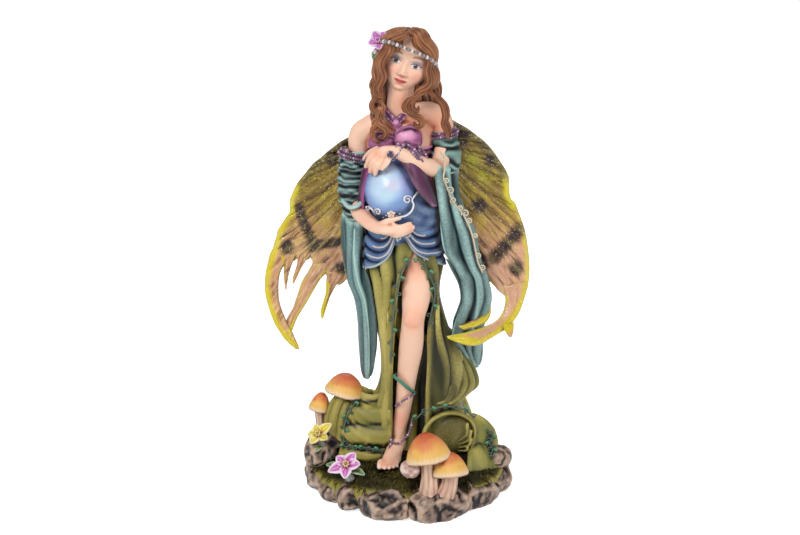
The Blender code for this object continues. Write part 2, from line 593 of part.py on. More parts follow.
def bodice():
    """The peplum over the hips and the pointed flap that opens over the belly."""
    half = HIP_WIDTH / 2
    panels = []
    right_hem = ((2, 14.0), (10, 9.0), (18, 2.0), (32, -3.0), (60, -6.0), (95, -7.5), (130, -8.0), (172, -8.0))
    left_hem = ((-2, 14.0), (7, 9.0), (18, 3.4), (36, -1.0), (66, -5.4), (95, -7.5), (130, -8.0), (172, -8.0))
    for side, name, hems in ((-1, "right_peplum", right_hem), (1, "left_peplum", left_hem)):
        rows = []
        for turn, hem in hems:
            angle = math.radians(turn)
            out, front = math.sin(angle) * side, math.cos(angle)
            rows.append([
                (-3.3 + out * (half - 1.0), 3.5 - front * 11.0, HIP + 19.0),
                (-3.3 + out * (half + 0.8), 3.5 - front * 13.2, HIP + 9.0),
                (-3.0 + out * (half + 1.6), 4.0 - front * 14.4, HIP + hem),
            ])
        panels.append(cloth(name, on_moss(rows), PEPLUM_THICKNESS))
    flap = cloth("bodice_flap", on_moss([
        [(1.0, -16.5, BELLY + 22), (3.5, -14.0, BELLY + 23), (6.5, -10.5, BELLY + 24)],
        [(6.5, -17.5, BELLY + 8), (9.5, -14.5, BELLY + 9), (12.0, -10.0, BELLY + 10)],
        [(10.0, -15.5, BELLY - 1), (13.0, -12.5, BELLY), (15.0, -9.0, BELLY + 1)],
        [(14.0, -12.0, BELLY - 12), (14.6, -11.0, BELLY - 12), (15.4, -10.0, BELLY - 11)],
    ]), 2.0)
    side = cloth("bodice_side", on_moss([
        [(-18.0, -10.0, BELLY + 20), (-19.5, -5.0, BELLY + 21)],
        [(-19.0, -11.0, BELLY + 8), (-20.8, -5.0, BELLY + 8)],
        [(-19.8, -9.0, BELLY - 6), (-21.0, -4.0, BELLY - 6)],
    ]), 2.0)
    return [*panels, flap, side]


def gathers(angle, height):
    """Rings of gathered cloth round an upper sleeve."""
    return 0.55 * np.sin(1.4 * height + 1.5 * np.sin(angle))


def sleeves():
    """Gathered sleeves held by a band on each upper arm, with long open ends that hang free."""
    top = SHOULDER - 18
    puff = trunk("right_sleeve", on_moss([
        (-23.6, -1.0, top - 25, 5.6, 5.6), (-24.4, 1.5, top - 20, SLEEVE_RADIUS - 0.6, SLEEVE_RADIUS - 1.0),
        (-24.4, 3.5, top - 10, SLEEVE_RADIUS, SLEEVE_RADIUS - 0.8),
         (-24.0, 4.8, top - 1, SLEEVE_RADIUS - 0.8, SLEEVE_RADIUS - 1.0),
        (-23.6, 5.0, top + 2.0, SLEEVE_RADIUS - 0.6, SLEEVE_RADIUS - 1.0),
        (-23.4, 5.0, top + 4.5, ARM_RADIUS, ARM_RADIUS),
    ]), sides=24, folds=gathers)
    drop = top - 19
    right = cloth("right_sleeve_fall", on_moss([
        [(-29.0, 5.4, drop - 1), (-26.6, -5.2, drop - 5), (-23.4, -6.2, drop - 6), (-20.0, -6.6, drop - 6)],
        [(-29.4, 5.4, drop - SLEEVE_DROP * 0.3), (-26.3, -5.6, drop - SLEEVE_DROP * 0.27),
         (-24.0, -6.2, drop - SLEEVE_DROP * 0.27), (-20.0, -4.6, drop - SLEEVE_DROP * 0.29)],
        [(-24.8, 6.0, drop - SLEEVE_DROP * 0.56), (-21.6, -4.0, drop - SLEEVE_DROP * 0.53),
         (-19.4, -4.6, drop - SLEEVE_DROP * 0.53), (-15.6, -4.4, drop - SLEEVE_DROP * 0.53)],
        [(-22.4, 5.6, drop - SLEEVE_DROP * 0.84), (-20.0, -2.2, drop - SLEEVE_DROP * 0.8),
         (-17.8, -2.6, drop - SLEEVE_DROP * 0.8), (-14.4, -3.0, drop - SLEEVE_DROP * 0.79)],
        [(-20.0, 4.0, drop - SLEEVE_DROP), (-19.3, 1.0, drop - SLEEVE_DROP * 1.01),
         (-18.4, 0.6, drop - SLEEVE_DROP), (-17.2, 0.0, drop - SLEEVE_DROP * 0.96)],
    ]), CLOTH_THICKNESS)
    cuff = trunk("left_sleeve", on_moss([
        (17.4, 2.0, SHOULDER - 21, 6.0, 6.0), (17.4, 3.0, SHOULDER - 14, 7.4, 6.8),
         (16.4, 4.2, SHOULDER - 7, 6.6, 6.4),
        (15.8, 4.8, SHOULDER - 4.5, 6.6, 6.2), (15.6, 4.8, SHOULDER - 2.5, ARM_RADIUS, ARM_RADIUS),
    ]), sides=24, folds=gathers)
    fall = BELLY + 19
    left = cloth("left_sleeve_fall", on_moss([
        [(11.0, -8.4, fall), (14.8, -8.6, fall - 2), (18.2, -4.8, fall - 3), (22.6, 5.0, fall - 4)],
        [(14.2, -9.0, fall - 21), (19.0, -6.8, fall - 24), (22.4, -5.2, fall - 25), (26.2, 3.0, fall - 28)],
        [(16.6, -7.4, fall - 42), (23.4, -4.8, fall - 44), (27.6, -3.6, fall - 44), (32.0, 4.0, fall - 45)],
        [(24.4, -5.8, fall - SLEEVE_DROP * 0.68), (29.8, -3.2, fall - SLEEVE_DROP * 0.69),
         (33.0, -1.8, fall - SLEEVE_DROP * 0.69), (36.6, 6.0, fall - SLEEVE_DROP * 0.71)],
        [(25.4, -5.0, fall - SLEEVE_DROP * 0.79), (30.4, -2.4, fall - SLEEVE_DROP * 0.8),
         (34.0, -0.8, fall - SLEEVE_DROP * 0.8), (38.2, 7.0, fall - SLEEVE_DROP * 0.83)],
        [(21.8, -2.6, fall - SLEEVE_DROP * 0.96), (27.8, 0.2, fall - SLEEVE_DROP * 0.98),
         (31.2, 2.2, fall - SLEEVE_DROP * 0.99), (35.6, 9.0, fall - SLEEVE_DROP * 1.01)],
        [(21.6, 0.2, fall - SLEEVE_DROP * 1.04), (27.0, 3.2, fall - SLEEVE_DROP * 1.07),
         (30.4, 5.2, fall - SLEEVE_DROP * 1.08), (35.2, 10.0, fall - SLEEVE_DROP * 1.11)],
        [(29.4, 9.0, fall - SLEEVE_DROP * 1.22), (31.4, 11.0, fall - SLEEVE_DROP * 1.25),
         (32.8, 12.0, fall - SLEEVE_DROP * 1.27), (34.4, 13.0, fall - SLEEVE_DROP * 1.25)],
    ]), CLOTH_THICKNESS)
    lining = cloth("left_sleeve_lining", on_moss([
        [(17.6, -2.0, fall - SLEEVE_DROP * 0.55), (20.6, 0.2, fall - SLEEVE_DROP * 0.57),
         (23.4, 3.0, fall - SLEEVE_DROP * 0.59)],
        [(23.4, -0.8, fall - SLEEVE_DROP * 0.71), (25.8, 1.2, fall - SLEEVE_DROP * 0.73),
         (28.2, 4.0, fall - SLEEVE_DROP * 0.74)],
        [(24.4, 0.2, fall - SLEEVE_DROP * 0.81), (26.8, 2.2, fall - SLEEVE_DROP * 0.82),
         (29.2, 5.0, fall - SLEEVE_DROP * 0.84)],
        [(21.4, 2.2, fall - SLEEVE_DROP * 0.95), (24.0, 4.2, fall - SLEEVE_DROP * 0.96),
         (26.8, 7.0, fall - SLEEVE_DROP * 0.98)],
        [(20.8, 3.2, fall - SLEEVE_DROP * 1.03), (23.6, 5.2, fall - SLEEVE_DROP * 1.05),
         (26.4, 8.0, fall - SLEEVE_DROP * 1.07)],
    ]), CLOTH_THICKNESS)
    return [puff, right, cuff, left, lining]


def wing_forms(side):
    """The membrane as a fan of ribs from the root in the back, and the tails that run on from its edge."""
    if side < 0:
        ribs = [
            [(-5, 7, 148), (-23, 14, 149.5), (-45, 18, 135.5), (-56, 17.5, 115)],
            [(-5, 7, 145), (-23, 15, 143), (-42, 18, 127), (-58.5, 16.5, 107)],
            [(-5, 7, 142), (-23, 15.5, 137), (-42, 18, 117), (-65.0, 13.5, 92)],
            [(-5, 7, 139), (-22, 15.5, 131), (-39, 17.5, 111), (-59.0, 13.0, 84.5)],
            [(-5, 7, 136), (-20, 15.5, 125), (-35, 17, 106), (-52.5, 13, 87.5)],
            [(-5, 7, 133), (-18, 15, 119), (-30, 16, 103), (-43.5, 14, 88.5)],
            [(-5, 7, 130), (-15, 15, 113), (-25, 15.5, 98), (-36, 13, 81.5)],
            [(-5, 7, 128), (-12, 14.5, 109), (-18, 15, 96), (-25, 12.5, 80.5)],
        ]
        tails = [
            [(-60.5, 14.5, 97, 2.6, 15), (-63.8, 12, 84, 3.4, 5), (-63.9, 9.5, 72, 3.2, -5),
             (-61.4, 7.5, 61, 2.8, -25), (-57.4, 5.8, 54, 1.8, -35), (-52.8, 4, 48.6, 0.7, -40)],
            [(-55.9, 14.6, 92.5, 3.0, 0), (-57.2, 13.8, 86, 1.5, 0), (-58, 12.8, 78.5, 0.7, 0)],
            [(-49.8, 14.6, 92.5, 2.6, 0), (-51.4, 13.8, 86, 1.4, 0), (-53.9, 12.8, 79.5, 0.7, 0)],
            [(-40.8, 14.6, 89, 3.8, 0), (-45.2, 13.4, 80.5, 3.5, 0), (-50.8, 11, 69.4, 2.5, 0),
             (-54.0, 9.4, 64, 2.1, 0), (-56.4, 8, 57.2, 1.4, 0)],
            [(-33.8, 14, 85, 3.6, 0), (-36.5, 13, 77, 2.1, 0), (-38.4, 12, 71.5, 1.2, 0),
             (-40.2, 11, 65.5, 1.1, 0), (-41.0, 10, 60, 0.7, 0)],
        ]
    else:
        ribs = [
            [(-1, 7, 151), (20, 14.5, 155.5), (39.5, 18, 142.5), (49, 18, 121)],
            [(-1, 7, 148), (19, 15, 149), (36, 18.2, 131), (53.5, 16.5, 107.5)],
            [(-1, 7, 145), (19, 15.2, 142), (37, 17, 122), (56.5, 13.5, 97)],
            [(-1, 7, 142), (18, 15.2, 135), (36, 16, 114), (57.0, 9.0, 86)],
            [(-1, 7, 139), (17, 15, 128), (34, 15.5, 107), (52, 8, 78.5)],
            [(-1, 7, 136), (16, 15, 122), (31, 14.8, 100), (46, 8.6, 76.5)],
            [(-1, 7, 133), (15, 14.8, 117), (28, 14.4, 96), (39, 10.5, 77)],
            [(-1, 7, 130), (13, 14.5, 112), (23.5, 14, 94), (31.5, 12, 80)],
        ]
        tails = [
            [(50.8, 10, 79.4, 5.4, 10), (50.8, 8, 72, 3.9, 0), (48.8, 5.8, 65.6, 3.4, 0),
             (44.4, 2.5, 60.8, 3.2, -20),
             (36.9, -3.5, 58.8, 2.9, -50), (27.8, -11.5, 58.4, 2.8, -72), (18.2, -16.6, 61.2, 0.8, -80)],
            [(34, 12, 82.5, 4.0, -16), (35.9, 8.7, 73, 2.7, 0), (35.9, 3.3, 66, 2.7, -7),
             (29.7, -3.7, 62.7, 2.3, -20), (24.8, -6.7, 62.2, 1.3, -31)],
            [(46.6, 1.6, 61, 2.1, 0), (47.4, -2.4, 58.5, 1.6, 0), (47.4, -5, 56.6, 0.7, 0)],
        ]
    reach = WING_REACH / 50.0
    ribs = on_moss(ribs)
    ribs[:, 1:, 0] = ribs[:, :1, 0] + (ribs[:, 1:, 0] - ribs[:, :1, 0]) * reach
    label = "right" if side < 0 else "left"
    made = [cloth(label + "_membrane", ribs, WING_THICKNESS)]
    for number, rows in enumerate(tails):
        rows = on_moss(rows)
        rows[:, 0] = ribs[0, 0, 0] + (rows[:, 0] - ribs[0, 0, 0]) * reach
        rows[:, 3] *= TAIL_WIDTH / 6.0
        made.append(strip(f"{label}_tail_{number}", rows, WING_THICKNESS))
    for number, rib in enumerate(ribs[1:-1]):
        thick = np.linspace(2.2, 1.0, len(rib)) * WING_THICKNESS / 2.4
        path = rib - np.array([0.0, 0.7, 0.0])
        made.append(limb(f"{label}_rib_{number}", np.concatenate([path, thick[:, None]], axis=1)[1:]))
    return made


def body_of(form):
    """The mesh of an object with its modifiers carried out."""
    bpy.context.view_layer.update()
    return bpy.data.meshes.new_from_object(form.evaluated_get(bpy.context.evaluated_depsgraph_get()))


def drop_crumbs(mesh):
    """Removes the specks that fusing leaves in narrow gaps."""
    made = bmesh.new()
    made.from_mesh(mesh)
    waiting = set(made.faces)
    while waiting:
        found = [waiting.pop()]
        for face in found:
            near = {other for edge in face.edges for other in edge.link_faces} & waiting
            found.extend(near)
            waiting -= near
        if len(found) < CRUMB_FACES:
            bmesh.ops.delete(made, geom=found, context="FACES")
    made.to_mesh(mesh)
    made.free()


def fused(name, forms, detail, faces, material):
    """One closed casting from overlapping forms: joined, fused on a fine grid, then simplified to this many
    faces."""
    joined = bmesh.new()
    for form in forms:
        joined.from_mesh(body_of(form))
        bpy.data.objects.remove(form)
    mesh = bpy.data.meshes.new(name)
    joined.to_mesh(mesh)
    joined.free()
    mesh.materials.append(material)
    casting = new_object(name, mesh)
    skin = casting.modifiers.new("Fuse", "REMESH")
    skin.mode = "VOXEL"
    skin.voxel_size = detail * MM
    skin.use_smooth_shade = True
    casting.data = body_of(casting)
    casting.modifiers.remove(skin)
    drop_crumbs(casting.data)
    simple = casting.modifiers.new("Simplify", "DECIMATE")
    simple.ratio = faces / (2 * len(casting.data.polygons))
    return casting


def cut_away(casting, cutter, label):
    """Cuts one casting with a hidden helper."""
    cutter.hide_render = True
    cutter.display_type = "WIRE"
    cut = casting.modifiers.new(label, "BOOLEAN")
    cut.operation = "DIFFERENCE"
    cut.object = cutter


def grown_copy(casting, gap):
    """A hidden copy of a casting, a little larger all round, that cuts its seat."""
    copy = new_object(casting.name + "_seat", body_of(casting))
    grow = copy.modifiers.new("Grow", "DISPLACE")
    grow.strength = gap * MM
    grow.mid_level = 0.0
    return copy


def sawn_foot():
    """A slab below the origin, which leaves the base a flat underside."""
    made = bmesh.new()
    bmesh.ops.create_cube(made, size=1.0)
    for point in made.verts:
        point.co.x *= 2 * BASE_WIDTH * MM
        point.co.y *= 2 * BASE_DEPTH * MM
        point.co.z = (point.co.z - 0.5) * SAW_DEPTH * MM
    return object_from("sawn_foot", made)


def main():
    clear_scene()
    resin = paint("painted_resin", (0.45, 0.42, 0.22), 0.45)
    wing_paint = paint("wing_paint", (0.62, 0.5, 0.2), 0.4)
    forms = [*base(), *plants(), *body(), *hair(), *arms(), *legs(), *skirt(), *bodice(), *sleeves()]
    figure = fused("figure", forms, CAST_DETAIL, FIGURE_FACES, resin)
    cut_away(figure, sawn_foot(), "Flat underside")
    for side, name in ((-1, "right_wing"), (1, "left_wing")):
        wing = fused(name, wing_forms(side), WING_DETAIL, WING_FACES, wing_paint)
        cut_away(figure, grown_copy(wing, GLUE_GAP), "Seat of " + name)


main()
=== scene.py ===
"""Fairy figurine in painted cast resin: its painted surfaces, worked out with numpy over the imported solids.

All shapes are in millimetres in the figurine's own frame: +Z up, the figure faces -Y, and the origin is the centre
of the base's underside. The figure's own left is on the +X side. Rows that start with a place in the picture are turned
into points by in_view. Every build function takes the settings of its operator, also where it needs none of them.
"""

import math

import bmesh
import bpy
import numpy as np
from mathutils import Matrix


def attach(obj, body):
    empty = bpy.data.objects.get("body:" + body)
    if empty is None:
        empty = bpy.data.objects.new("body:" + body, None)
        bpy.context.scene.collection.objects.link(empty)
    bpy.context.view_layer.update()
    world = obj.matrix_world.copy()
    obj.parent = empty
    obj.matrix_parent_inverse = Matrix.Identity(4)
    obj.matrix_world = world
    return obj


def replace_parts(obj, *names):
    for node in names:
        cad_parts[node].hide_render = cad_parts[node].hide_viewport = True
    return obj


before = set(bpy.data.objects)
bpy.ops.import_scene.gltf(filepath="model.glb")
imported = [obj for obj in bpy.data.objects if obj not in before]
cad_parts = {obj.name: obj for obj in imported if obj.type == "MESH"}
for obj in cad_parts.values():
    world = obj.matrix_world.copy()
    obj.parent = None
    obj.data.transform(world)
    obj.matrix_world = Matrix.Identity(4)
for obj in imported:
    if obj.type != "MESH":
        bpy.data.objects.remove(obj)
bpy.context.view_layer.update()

bl_info = {
    "name": "Fairy Figurine",
    "version": (1, 0, 0),
    "blender": (4, 5, 0),
    "location": "View3D > Sidebar > Figurine",
    "description": "Builds the painted surfaces of a cast resin fairy figurine",
    "category": "Add Mesh",
}

MM = 0.001
FRONT = np.array([0.0, -1.0, 0.0])
UP = np.array([0.0, 0.0, 1.0])
GROUND = 19.0
CAMERA_PLACE = (-3.73, -715.0, 320.0)
CAMERA_PITCH = math.radians(16.46)
CAMERA_LENS = 71.96
SENSOR_WIDTH = 36.0
PICTURE = (800, 535)
MADE = []

END_RINGS = 3
BEAD_SIDES = 7
LIMB_SIDES = 28
FOLD_SHARPNESS = 0.7
LEAF_THICKNESS = 0.9
WASH_STRENGTH = 5.0
BRUSH_STRENGTH = 3.0
CLOUD_SCALE = 160.0
BUMP_DEPTH = 0.0004
SHADOW_CELL = 0.8
SHADOW_REACHES = ((1.8, 0.5), (2.8, 0.3), (4.0, 0.2))
SHADOW_STRENGTH = 1.6
SHADOW_MOST = 0.85
FLOOR_RADIUS = 3.0
FLOOR_GLOW = 0.72
STALK_GREEN = (0.25, 0.36, 0.14)
LEAF_GREEN = (0.30, 0.42, 0.16)


# Shapes: every function below returns whole arrays of points


def linear(colour):
    """A display colour as the linear light that paint is mixed in."""
    colour = np.asarray(colour, float)
    return np.where(colour <= 0.04045, colour / 12.92, ((colour + 0.055) / 1.055) ** 2.4)


def mix(a, b, share):
    """The blend of two colours or points, by a share for each point."""
    share = np.asarray(share, float)[..., None]
    return np.asarray(a) * (1 - share) + np.asarray(b) * share


def ramp(value, low, high):
    """A smooth step from 0 at low to 1 at high."""
    share = np.clip((value - low) / (high - low), 0, 1)
    return share * share * (3 - 2 * share)


def in_view(rows):
    """Points that the camera sees at these places of the picture. Each row is across and down in the picture, then
    y."""
    rows = np.asarray(rows, float)
    focal = CAMERA_LENS / SENSOR_WIDTH * PICTURE[0]
    across = (rows[..., 0] - PICTURE[0] / 2) / focal
    rise = (PICTURE[1] / 2 - rows[..., 1]) / focal
    ahead = math.cos(CAMERA_PITCH) + rise * math.sin(CAMERA_PITCH)
    lift = -math.sin(CAMERA_PITCH) + rise * math.cos(CAMERA_PITCH)
    reach = (rows[..., 2] - CAMERA_PLACE[1]) / ahead
    return np.stack([CAMERA_PLACE[0] + reach * across, rows[..., 2], CAMERA_PLACE[2] + reach * lift], axis=-1)


def spread(rows, count):
    """Points evenly spaced on the Catmull-Rom curve through the rows: each span is the cubic whose end slopes are half
    the step between its neighbours."""
    rows = np.asarray(rows, float)
    padded = np.concatenate([[2 * rows[0] - rows[1]], rows, [2 * rows[-1] - rows[-2]]])
    at = np.linspace(0, len(rows) - 1, count)
    span = np.minimum(at.astype(int), len(rows) - 2)
    share = (at - span).reshape((-1,) + (1,) * (rows.ndim - 1))
    a, b, c, d = (padded[span + k] for k in range(4))
    bend = (2 * a - 5 * b + 4 * c - d) * share**2 + (3 * b - a - 3 * c + d) * share**3
    return 0.5 * (2 * b + (c - a) * share + bend)


def straight(rows, count):
    """Points evenly spaced by length on the straight lines through the rows."""
    rows = np.asarray(rows, float)
    step = np.concatenate([[0], np.cumsum(np.linalg.norm(np.diff(rows, axis=0), axis=1))])
    at = np.linspace(0, step[-1], count)
    return np.stack([np.interp(at, step, rows[:, k]) for k in range(rows.shape[1])], axis=1)


def patch(rows, down, across):
    """A smooth surface through a grid of points: curves along its columns, then curves across them."""
    return np.swapaxes(spread(np.swapaxes(spread(rows, down), 0, 1), across), 0, 1)


def noise(points, size, seed=0.0):
    """Smooth noise from -1 to 1: random values on a lattice of this size in mm, blended between the eight corners
    round each point."""
    at = np.asarray(points, float) / size + 37.2 + 11.7 * seed
    cell = np.floor(at).astype(np.int64)
    share = at - cell
    share = share * share * (3 - 2 * share)
    total = np.zeros(at.shape[:-1])
    for corner in range(8):
        bits = np.array([corner & 1, corner >> 1 & 1, corner >> 2 & 1])
        place = (cell + bits).astype(np.uint64)
        mixed = place[..., 0] * np.uint64(73856093) ^ place[..., 1] * np.uint64(19349663) ^ place[...,
            2] * np.uint64(83492791)
        mixed = (mixed ^ mixed >> np.uint64(13)) * np.uint64(1274126177) & np.uint64(0xFFFFFFFF)
        value = ((mixed ^ mixed >> np.uint64(16)) & np.uint64(0xFFFF)).astype(float) / 32767.5 - 1
        total += value * np.prod(np.where(bits == 1, share, 1 - share), axis=-1)
    return total


def rough(points, size, octaves=3, seed=0.0):
    """Noise summed over octaves, each half the size and half the strength of the last."""
    return sum(noise(points, size / 2**k, seed + k) / 2**k for k in range(octaves))


def unit(vectors):
    """Vectors scaled to length 1."""
    return vectors / np.maximum(np.linalg.norm(vectors, axis=-1, keepdims=True), 1e-9)


def facing(grid):
    """The normals of a grid of points, from the cross product of its two directions."""
    return unit(np.cross(np.gradient(grid, axis=0), np.gradient(grid, axis=1)))


def tube(path, radius, sides=10, up=FRONT, flat=1.0):
    """A profile carried along a path: an oval with this radius across and radius times flat along up, with both ends
    rounded off like half a ball."""
    path = np.asarray(path, float)
    radius = np.asarray(radius, float)
    if radius.ndim < 2:
        radius = np.broadcast_to(radius, len(path))[:, None]
    radius = np.broadcast_to(radius, (len(path), sides))
    ahead = unit(np.gradient(path, axis=0))
    side = unit(np.cross(ahead, np.broadcast_to(up, path.shape)))
    lift = np.cross(side, ahead)
    turn = np.arange(sides) * 2 * math.pi / sides
    ring = side[:, None] * np.cos(turn)[:, None] + lift[:, None] * (flat * np.sin(turn))[:, None]
    rings = [path[:, None] + ring * radius[..., None]]
    for k in range(END_RINGS):
        lean = math.radians(90 * (k + 1) / (END_RINGS + 0.25))
        shrunk, out = math.cos(lean), math.sin(lean)
        reach = radius[0].mean() * min(flat, 1.0), radius[-1].mean() * min(flat, 1.0)
        rings.insert(0, path[:1, None] - ahead[:1, None] * out * reach[0] + ring[:1] * radius[:1, :, None] * shrunk)
        rings.append(path[-1:, None] + ahead[-1:, None] * out * reach[1] + ring[-1:] * radius[-1:, :, None] * shrunk)
    return np.concatenate(rings)


def swollen(form, push):
    """Rings of points pushed out from the middle of each ring by this many millimetres."""
    return form + unit(form - form.mean(axis=1, keepdims=True)) * push[..., None]


def widened(form, scale):
    """Rings of points scaled about the middle of each ring."""
    centre = form.mean(axis=1, keepdims=True)
    return centre + (form - centre) * scale[..., None]


def ovals(rows, rings, sides):
    """An upright form. Each row is x, y, z, half width and half depth of a level oval ring."""
    rows = spread(rows, rings)
    turn = np.arange(sides) * 2 * math.pi / sides
    across = rows[:, 0:1] + rows[:, 3:4] * np.cos(turn)
    along = rows[:, 1:2] + rows[:, 4:5] * np.sin(turn)
    return np.stack([across, along, np.broadcast_to(rows[:, 2:3], across.shape)], axis=-1)


def egg(centre, radii, rings=24, sides=32, tilt=0.0):
    """A ball stretched to these three radii, from its lower pole to its upper one, leaning about y by tilt in
    degrees."""
    down = np.radians(np.linspace(-89, 89, rings))[:, None]
    turn = (np.arange(sides) * 2 * math.pi / sides)[None]
    ball = np.stack([np.cos(down) * np.cos(turn), np.cos(down) * np.sin(turn), np.sin(down) + 0 * turn],
        axis=-1) * radii
    return lean_about_y(ball, tilt) + centre


def lean_about_y(points, degrees):
    """Points turned about the y axis, so that upright forms lean to +X."""
    angle = math.radians(degrees)
    across = points[..., 0] * math.cos(angle) + points[..., 2] * math.sin(angle)
    lift = points[..., 2] * math.cos(angle) - points[..., 0] * math.sin(angle)
    return np.stack([across, points[..., 1], lift], axis=-1)


def turn_about_z(points, degrees):
    """Points turned about the z axis, counter-clockwise seen from above."""
    angle = math.radians(degrees)
    across = points[..., 0] * math.cos(angle) - points[..., 1] * math.sin(angle)
    along = points[..., 0] * math.sin(angle) + points[..., 1] * math.cos(angle)
    return np.stack([across, along, points[..., 2]], axis=-1)


def grid_faces(rows, cols, wrap):
    """The quads between the points of a grid, whose last column joins its first when it wraps."""
    index = np.arange(rows * cols).reshape(rows, cols)
    left = index if wrap else index[:, :-1]
    right = np.roll(index, -1, axis=1) if wrap else index[:, 1:]
    return np.stack([left[:-1], right[:-1], right[1:], left[1:]], axis=-1).reshape(-1, 4)


class Heap:
    """Gathers closed forms with their paint, and makes one mesh of them."""

    def __init__(self):
        self.points = []
        self.paint = []
        self.quads = []
        self.tris = []
        self.count = 0

    def take(self, points, paint, quads, tris):
        self.points.append(points)
        self.paint.append(paint)
        self.quads.append(quads + self.count)
        self.tris.append(tris + self.count)
        self.count += len(points)

    def skin(self, points, colour):
        """One or many forms from rings of points, each ring joined to the next, with a point in the middle of both end
        rings."""
        forms = points.reshape((-1,) + points.shape[-3:])
        count, rows, cols = forms.shape[:3]
        both = [0, rows - 1]
        body = np.concatenate([forms.reshape(count, -1, 3), forms[:, both].mean(axis=2)], axis=1)
        if callable(colour):
            paint = colour(body)
        else:
            flat = np.broadcast_to(np.asarray(colour, float), forms.shape)
            paint = np.concatenate([flat.reshape(count, -1, 3), flat[:, both].mean(axis=2)], axis=1)
        ring = np.arange(cols)
        after = np.roll(ring, -1)
        last = (rows - 1) * cols
        low = np.stack([after, ring, 0 * ring + rows * cols], axis=1)
        high = np.stack([ring + last, after + last, 0 * ring + rows * cols + 1], axis=1)
        step = (np.arange(count) * (rows * cols + 2))[:, None, None]
        quads = (grid_faces(rows, cols, True) + step).reshape(-1, 4)
        tris = (np.concatenate([low, high]) + step).reshape(-1, 3)
        self.take(body.reshape(-1, 3), paint.reshape(-1, 3), quads, tris)

    def sheet(self, grid, thickness, colour, back=None, lip=1.0):
        """A closed sheet: the grid pushed out to both sides along its normals by half the thickness, thinned to a
        round lip at its rim."""
        rows, cols = grid.shape[:2]
        down = np.linalg.norm(np.gradient(grid, axis=0), axis=-1)
        over = np.linalg.norm(np.gradient(grid, axis=1), axis=-1)
        i = np.arange(rows)[:, None]
        j = np.arange(cols)[None]
        rim = np.minimum(np.minimum(i, rows - 1 - i) * down, np.minimum(j, cols - 1 - j) * over)
        half = (0.5 * thickness * np.sqrt(np.clip(rim / lip, 0.03, 1)))[..., None]
        normal = facing(grid)
        top = grid + normal * half
        under = grid - normal * half
        quads = grid_faces(rows, cols, False)
        index = np.arange(rows * cols).reshape(rows, cols)
        rims = [index[0], index[:, -1], index[-1, ::-1], index[::-1, 0]]
        walls = [np.stack([line[:-1], line[1:], line[1:] + rows * cols, line[:-1] + rows * cols],
            axis=1) for line in rims]
        flat = np.broadcast_to(colour(top) if callable(colour) else np.asarray(colour, float), grid.shape)
        if back is None:
            back = colour(under) if callable(colour) else colour
        behind = np.broadcast_to(np.asarray(back, float), grid.shape)
        self.take(
            np.concatenate([top, under]).reshape(-1, 3),
            np.concatenate([flat, behind]).reshape(-1, 3),
            np.concatenate([quads[:, ::-1], quads + rows * cols, *walls]),
            np.zeros((0, 3), int),
        )

    def beads(self, path, radius, colours):
        """Round beads threaded along a path, with this radius, in these colours in turn."""
        path = np.asarray(path, float)
        length = np.linalg.norm(np.diff(path, axis=0), axis=1).sum()
        count = max(2, int(length / (radius * 1.9)) + 1)
        at = straight(path, count)
        ball = egg(np.zeros(3), (radius, radius, radius), 5, BEAD_SIDES)
        shades = np.asarray(colours)[np.arange(count) % len(colours)]
        self.skin(at[:, None, None] + ball[None], shades[:, None, None])

    def finish(self, name, material, slot="painted_resin", rounds=6):
        return finished(name, np.concatenate(self.points), np.concatenate(self.quads), np.concatenate(self.tris),
                        np.concatenate(self.paint), material, rounds)


def face_out(mesh):
    """Turns every face of a closed mesh outwards."""
    turned = bmesh.new()
    turned.from_mesh(mesh)
    bmesh.ops.recalc_face_normals(turned, faces=turned.faces)
    turned.to_mesh(mesh)
    turned.free()


def linked(name, data):
    """A new object with this data, in the scene."""
    made = bpy.data.objects.new(name, data)
    bpy.context.scene.collection.objects.link(made)
    return made


def normals_of(mesh):
    """The normals at a mesh's points, as an array."""
    normal = np.empty(len(mesh.vertices) * 3, np.float32)
    mesh.vertex_normals.foreach_get("vector", normal)
    return normal.reshape(-1, 3)


def finished(name, points, quads, tris, paint, material, rounds):
    """The object of one piece: its mesh from whole arrays, its paint and relief as attributes, riding on the frame."""
    mesh = bpy.data.meshes.new(name)
    mesh.vertices.add(len(points))
    mesh.vertices.foreach_set("co", (points * MM).astype(np.float32).ravel())
    corners = np.concatenate([quads.ravel(), tris.ravel()]).astype(np.int32)
    starts = np.concatenate([np.arange(len(quads)) * 4, len(quads) * 4 + np.arange(len(tris)) * 3]).astype(np.int32)
    mesh.loops.add(len(corners))
    mesh.loops.foreach_set("vertex_index", corners)
    mesh.polygons.add(len(starts))
    mesh.polygons.foreach_set("loop_start", starts)
    mesh.update(calc_edges=True)
    face_out(mesh)
    mesh.polygons.foreach_set("use_smooth", np.ones(len(starts), bool))
    return dressed(name, mesh, paint, material, rounds)


def dressed(name, mesh, paint, material, rounds):
    """Links a mesh as a piece, with its paint and its relief."""
    colour = mesh.attributes.new("Paint", "FLOAT_COLOR", "POINT")
    rgba = np.ones((len(paint), 4), np.float32)
    rgba[:, :3] = linear(np.clip(paint, 0, 1))
    colour.data.foreach_set("color", rgba.ravel())
    standing = mesh.attributes.new("Relief", "FLOAT", "POINT")
    standing.data.foreach_set("value", relief(mesh, rounds).astype(np.float32))
    mesh.materials.append(material)
    piece = linked(name, mesh)
    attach(piece, "root")
    MADE.append(piece)
    return piece


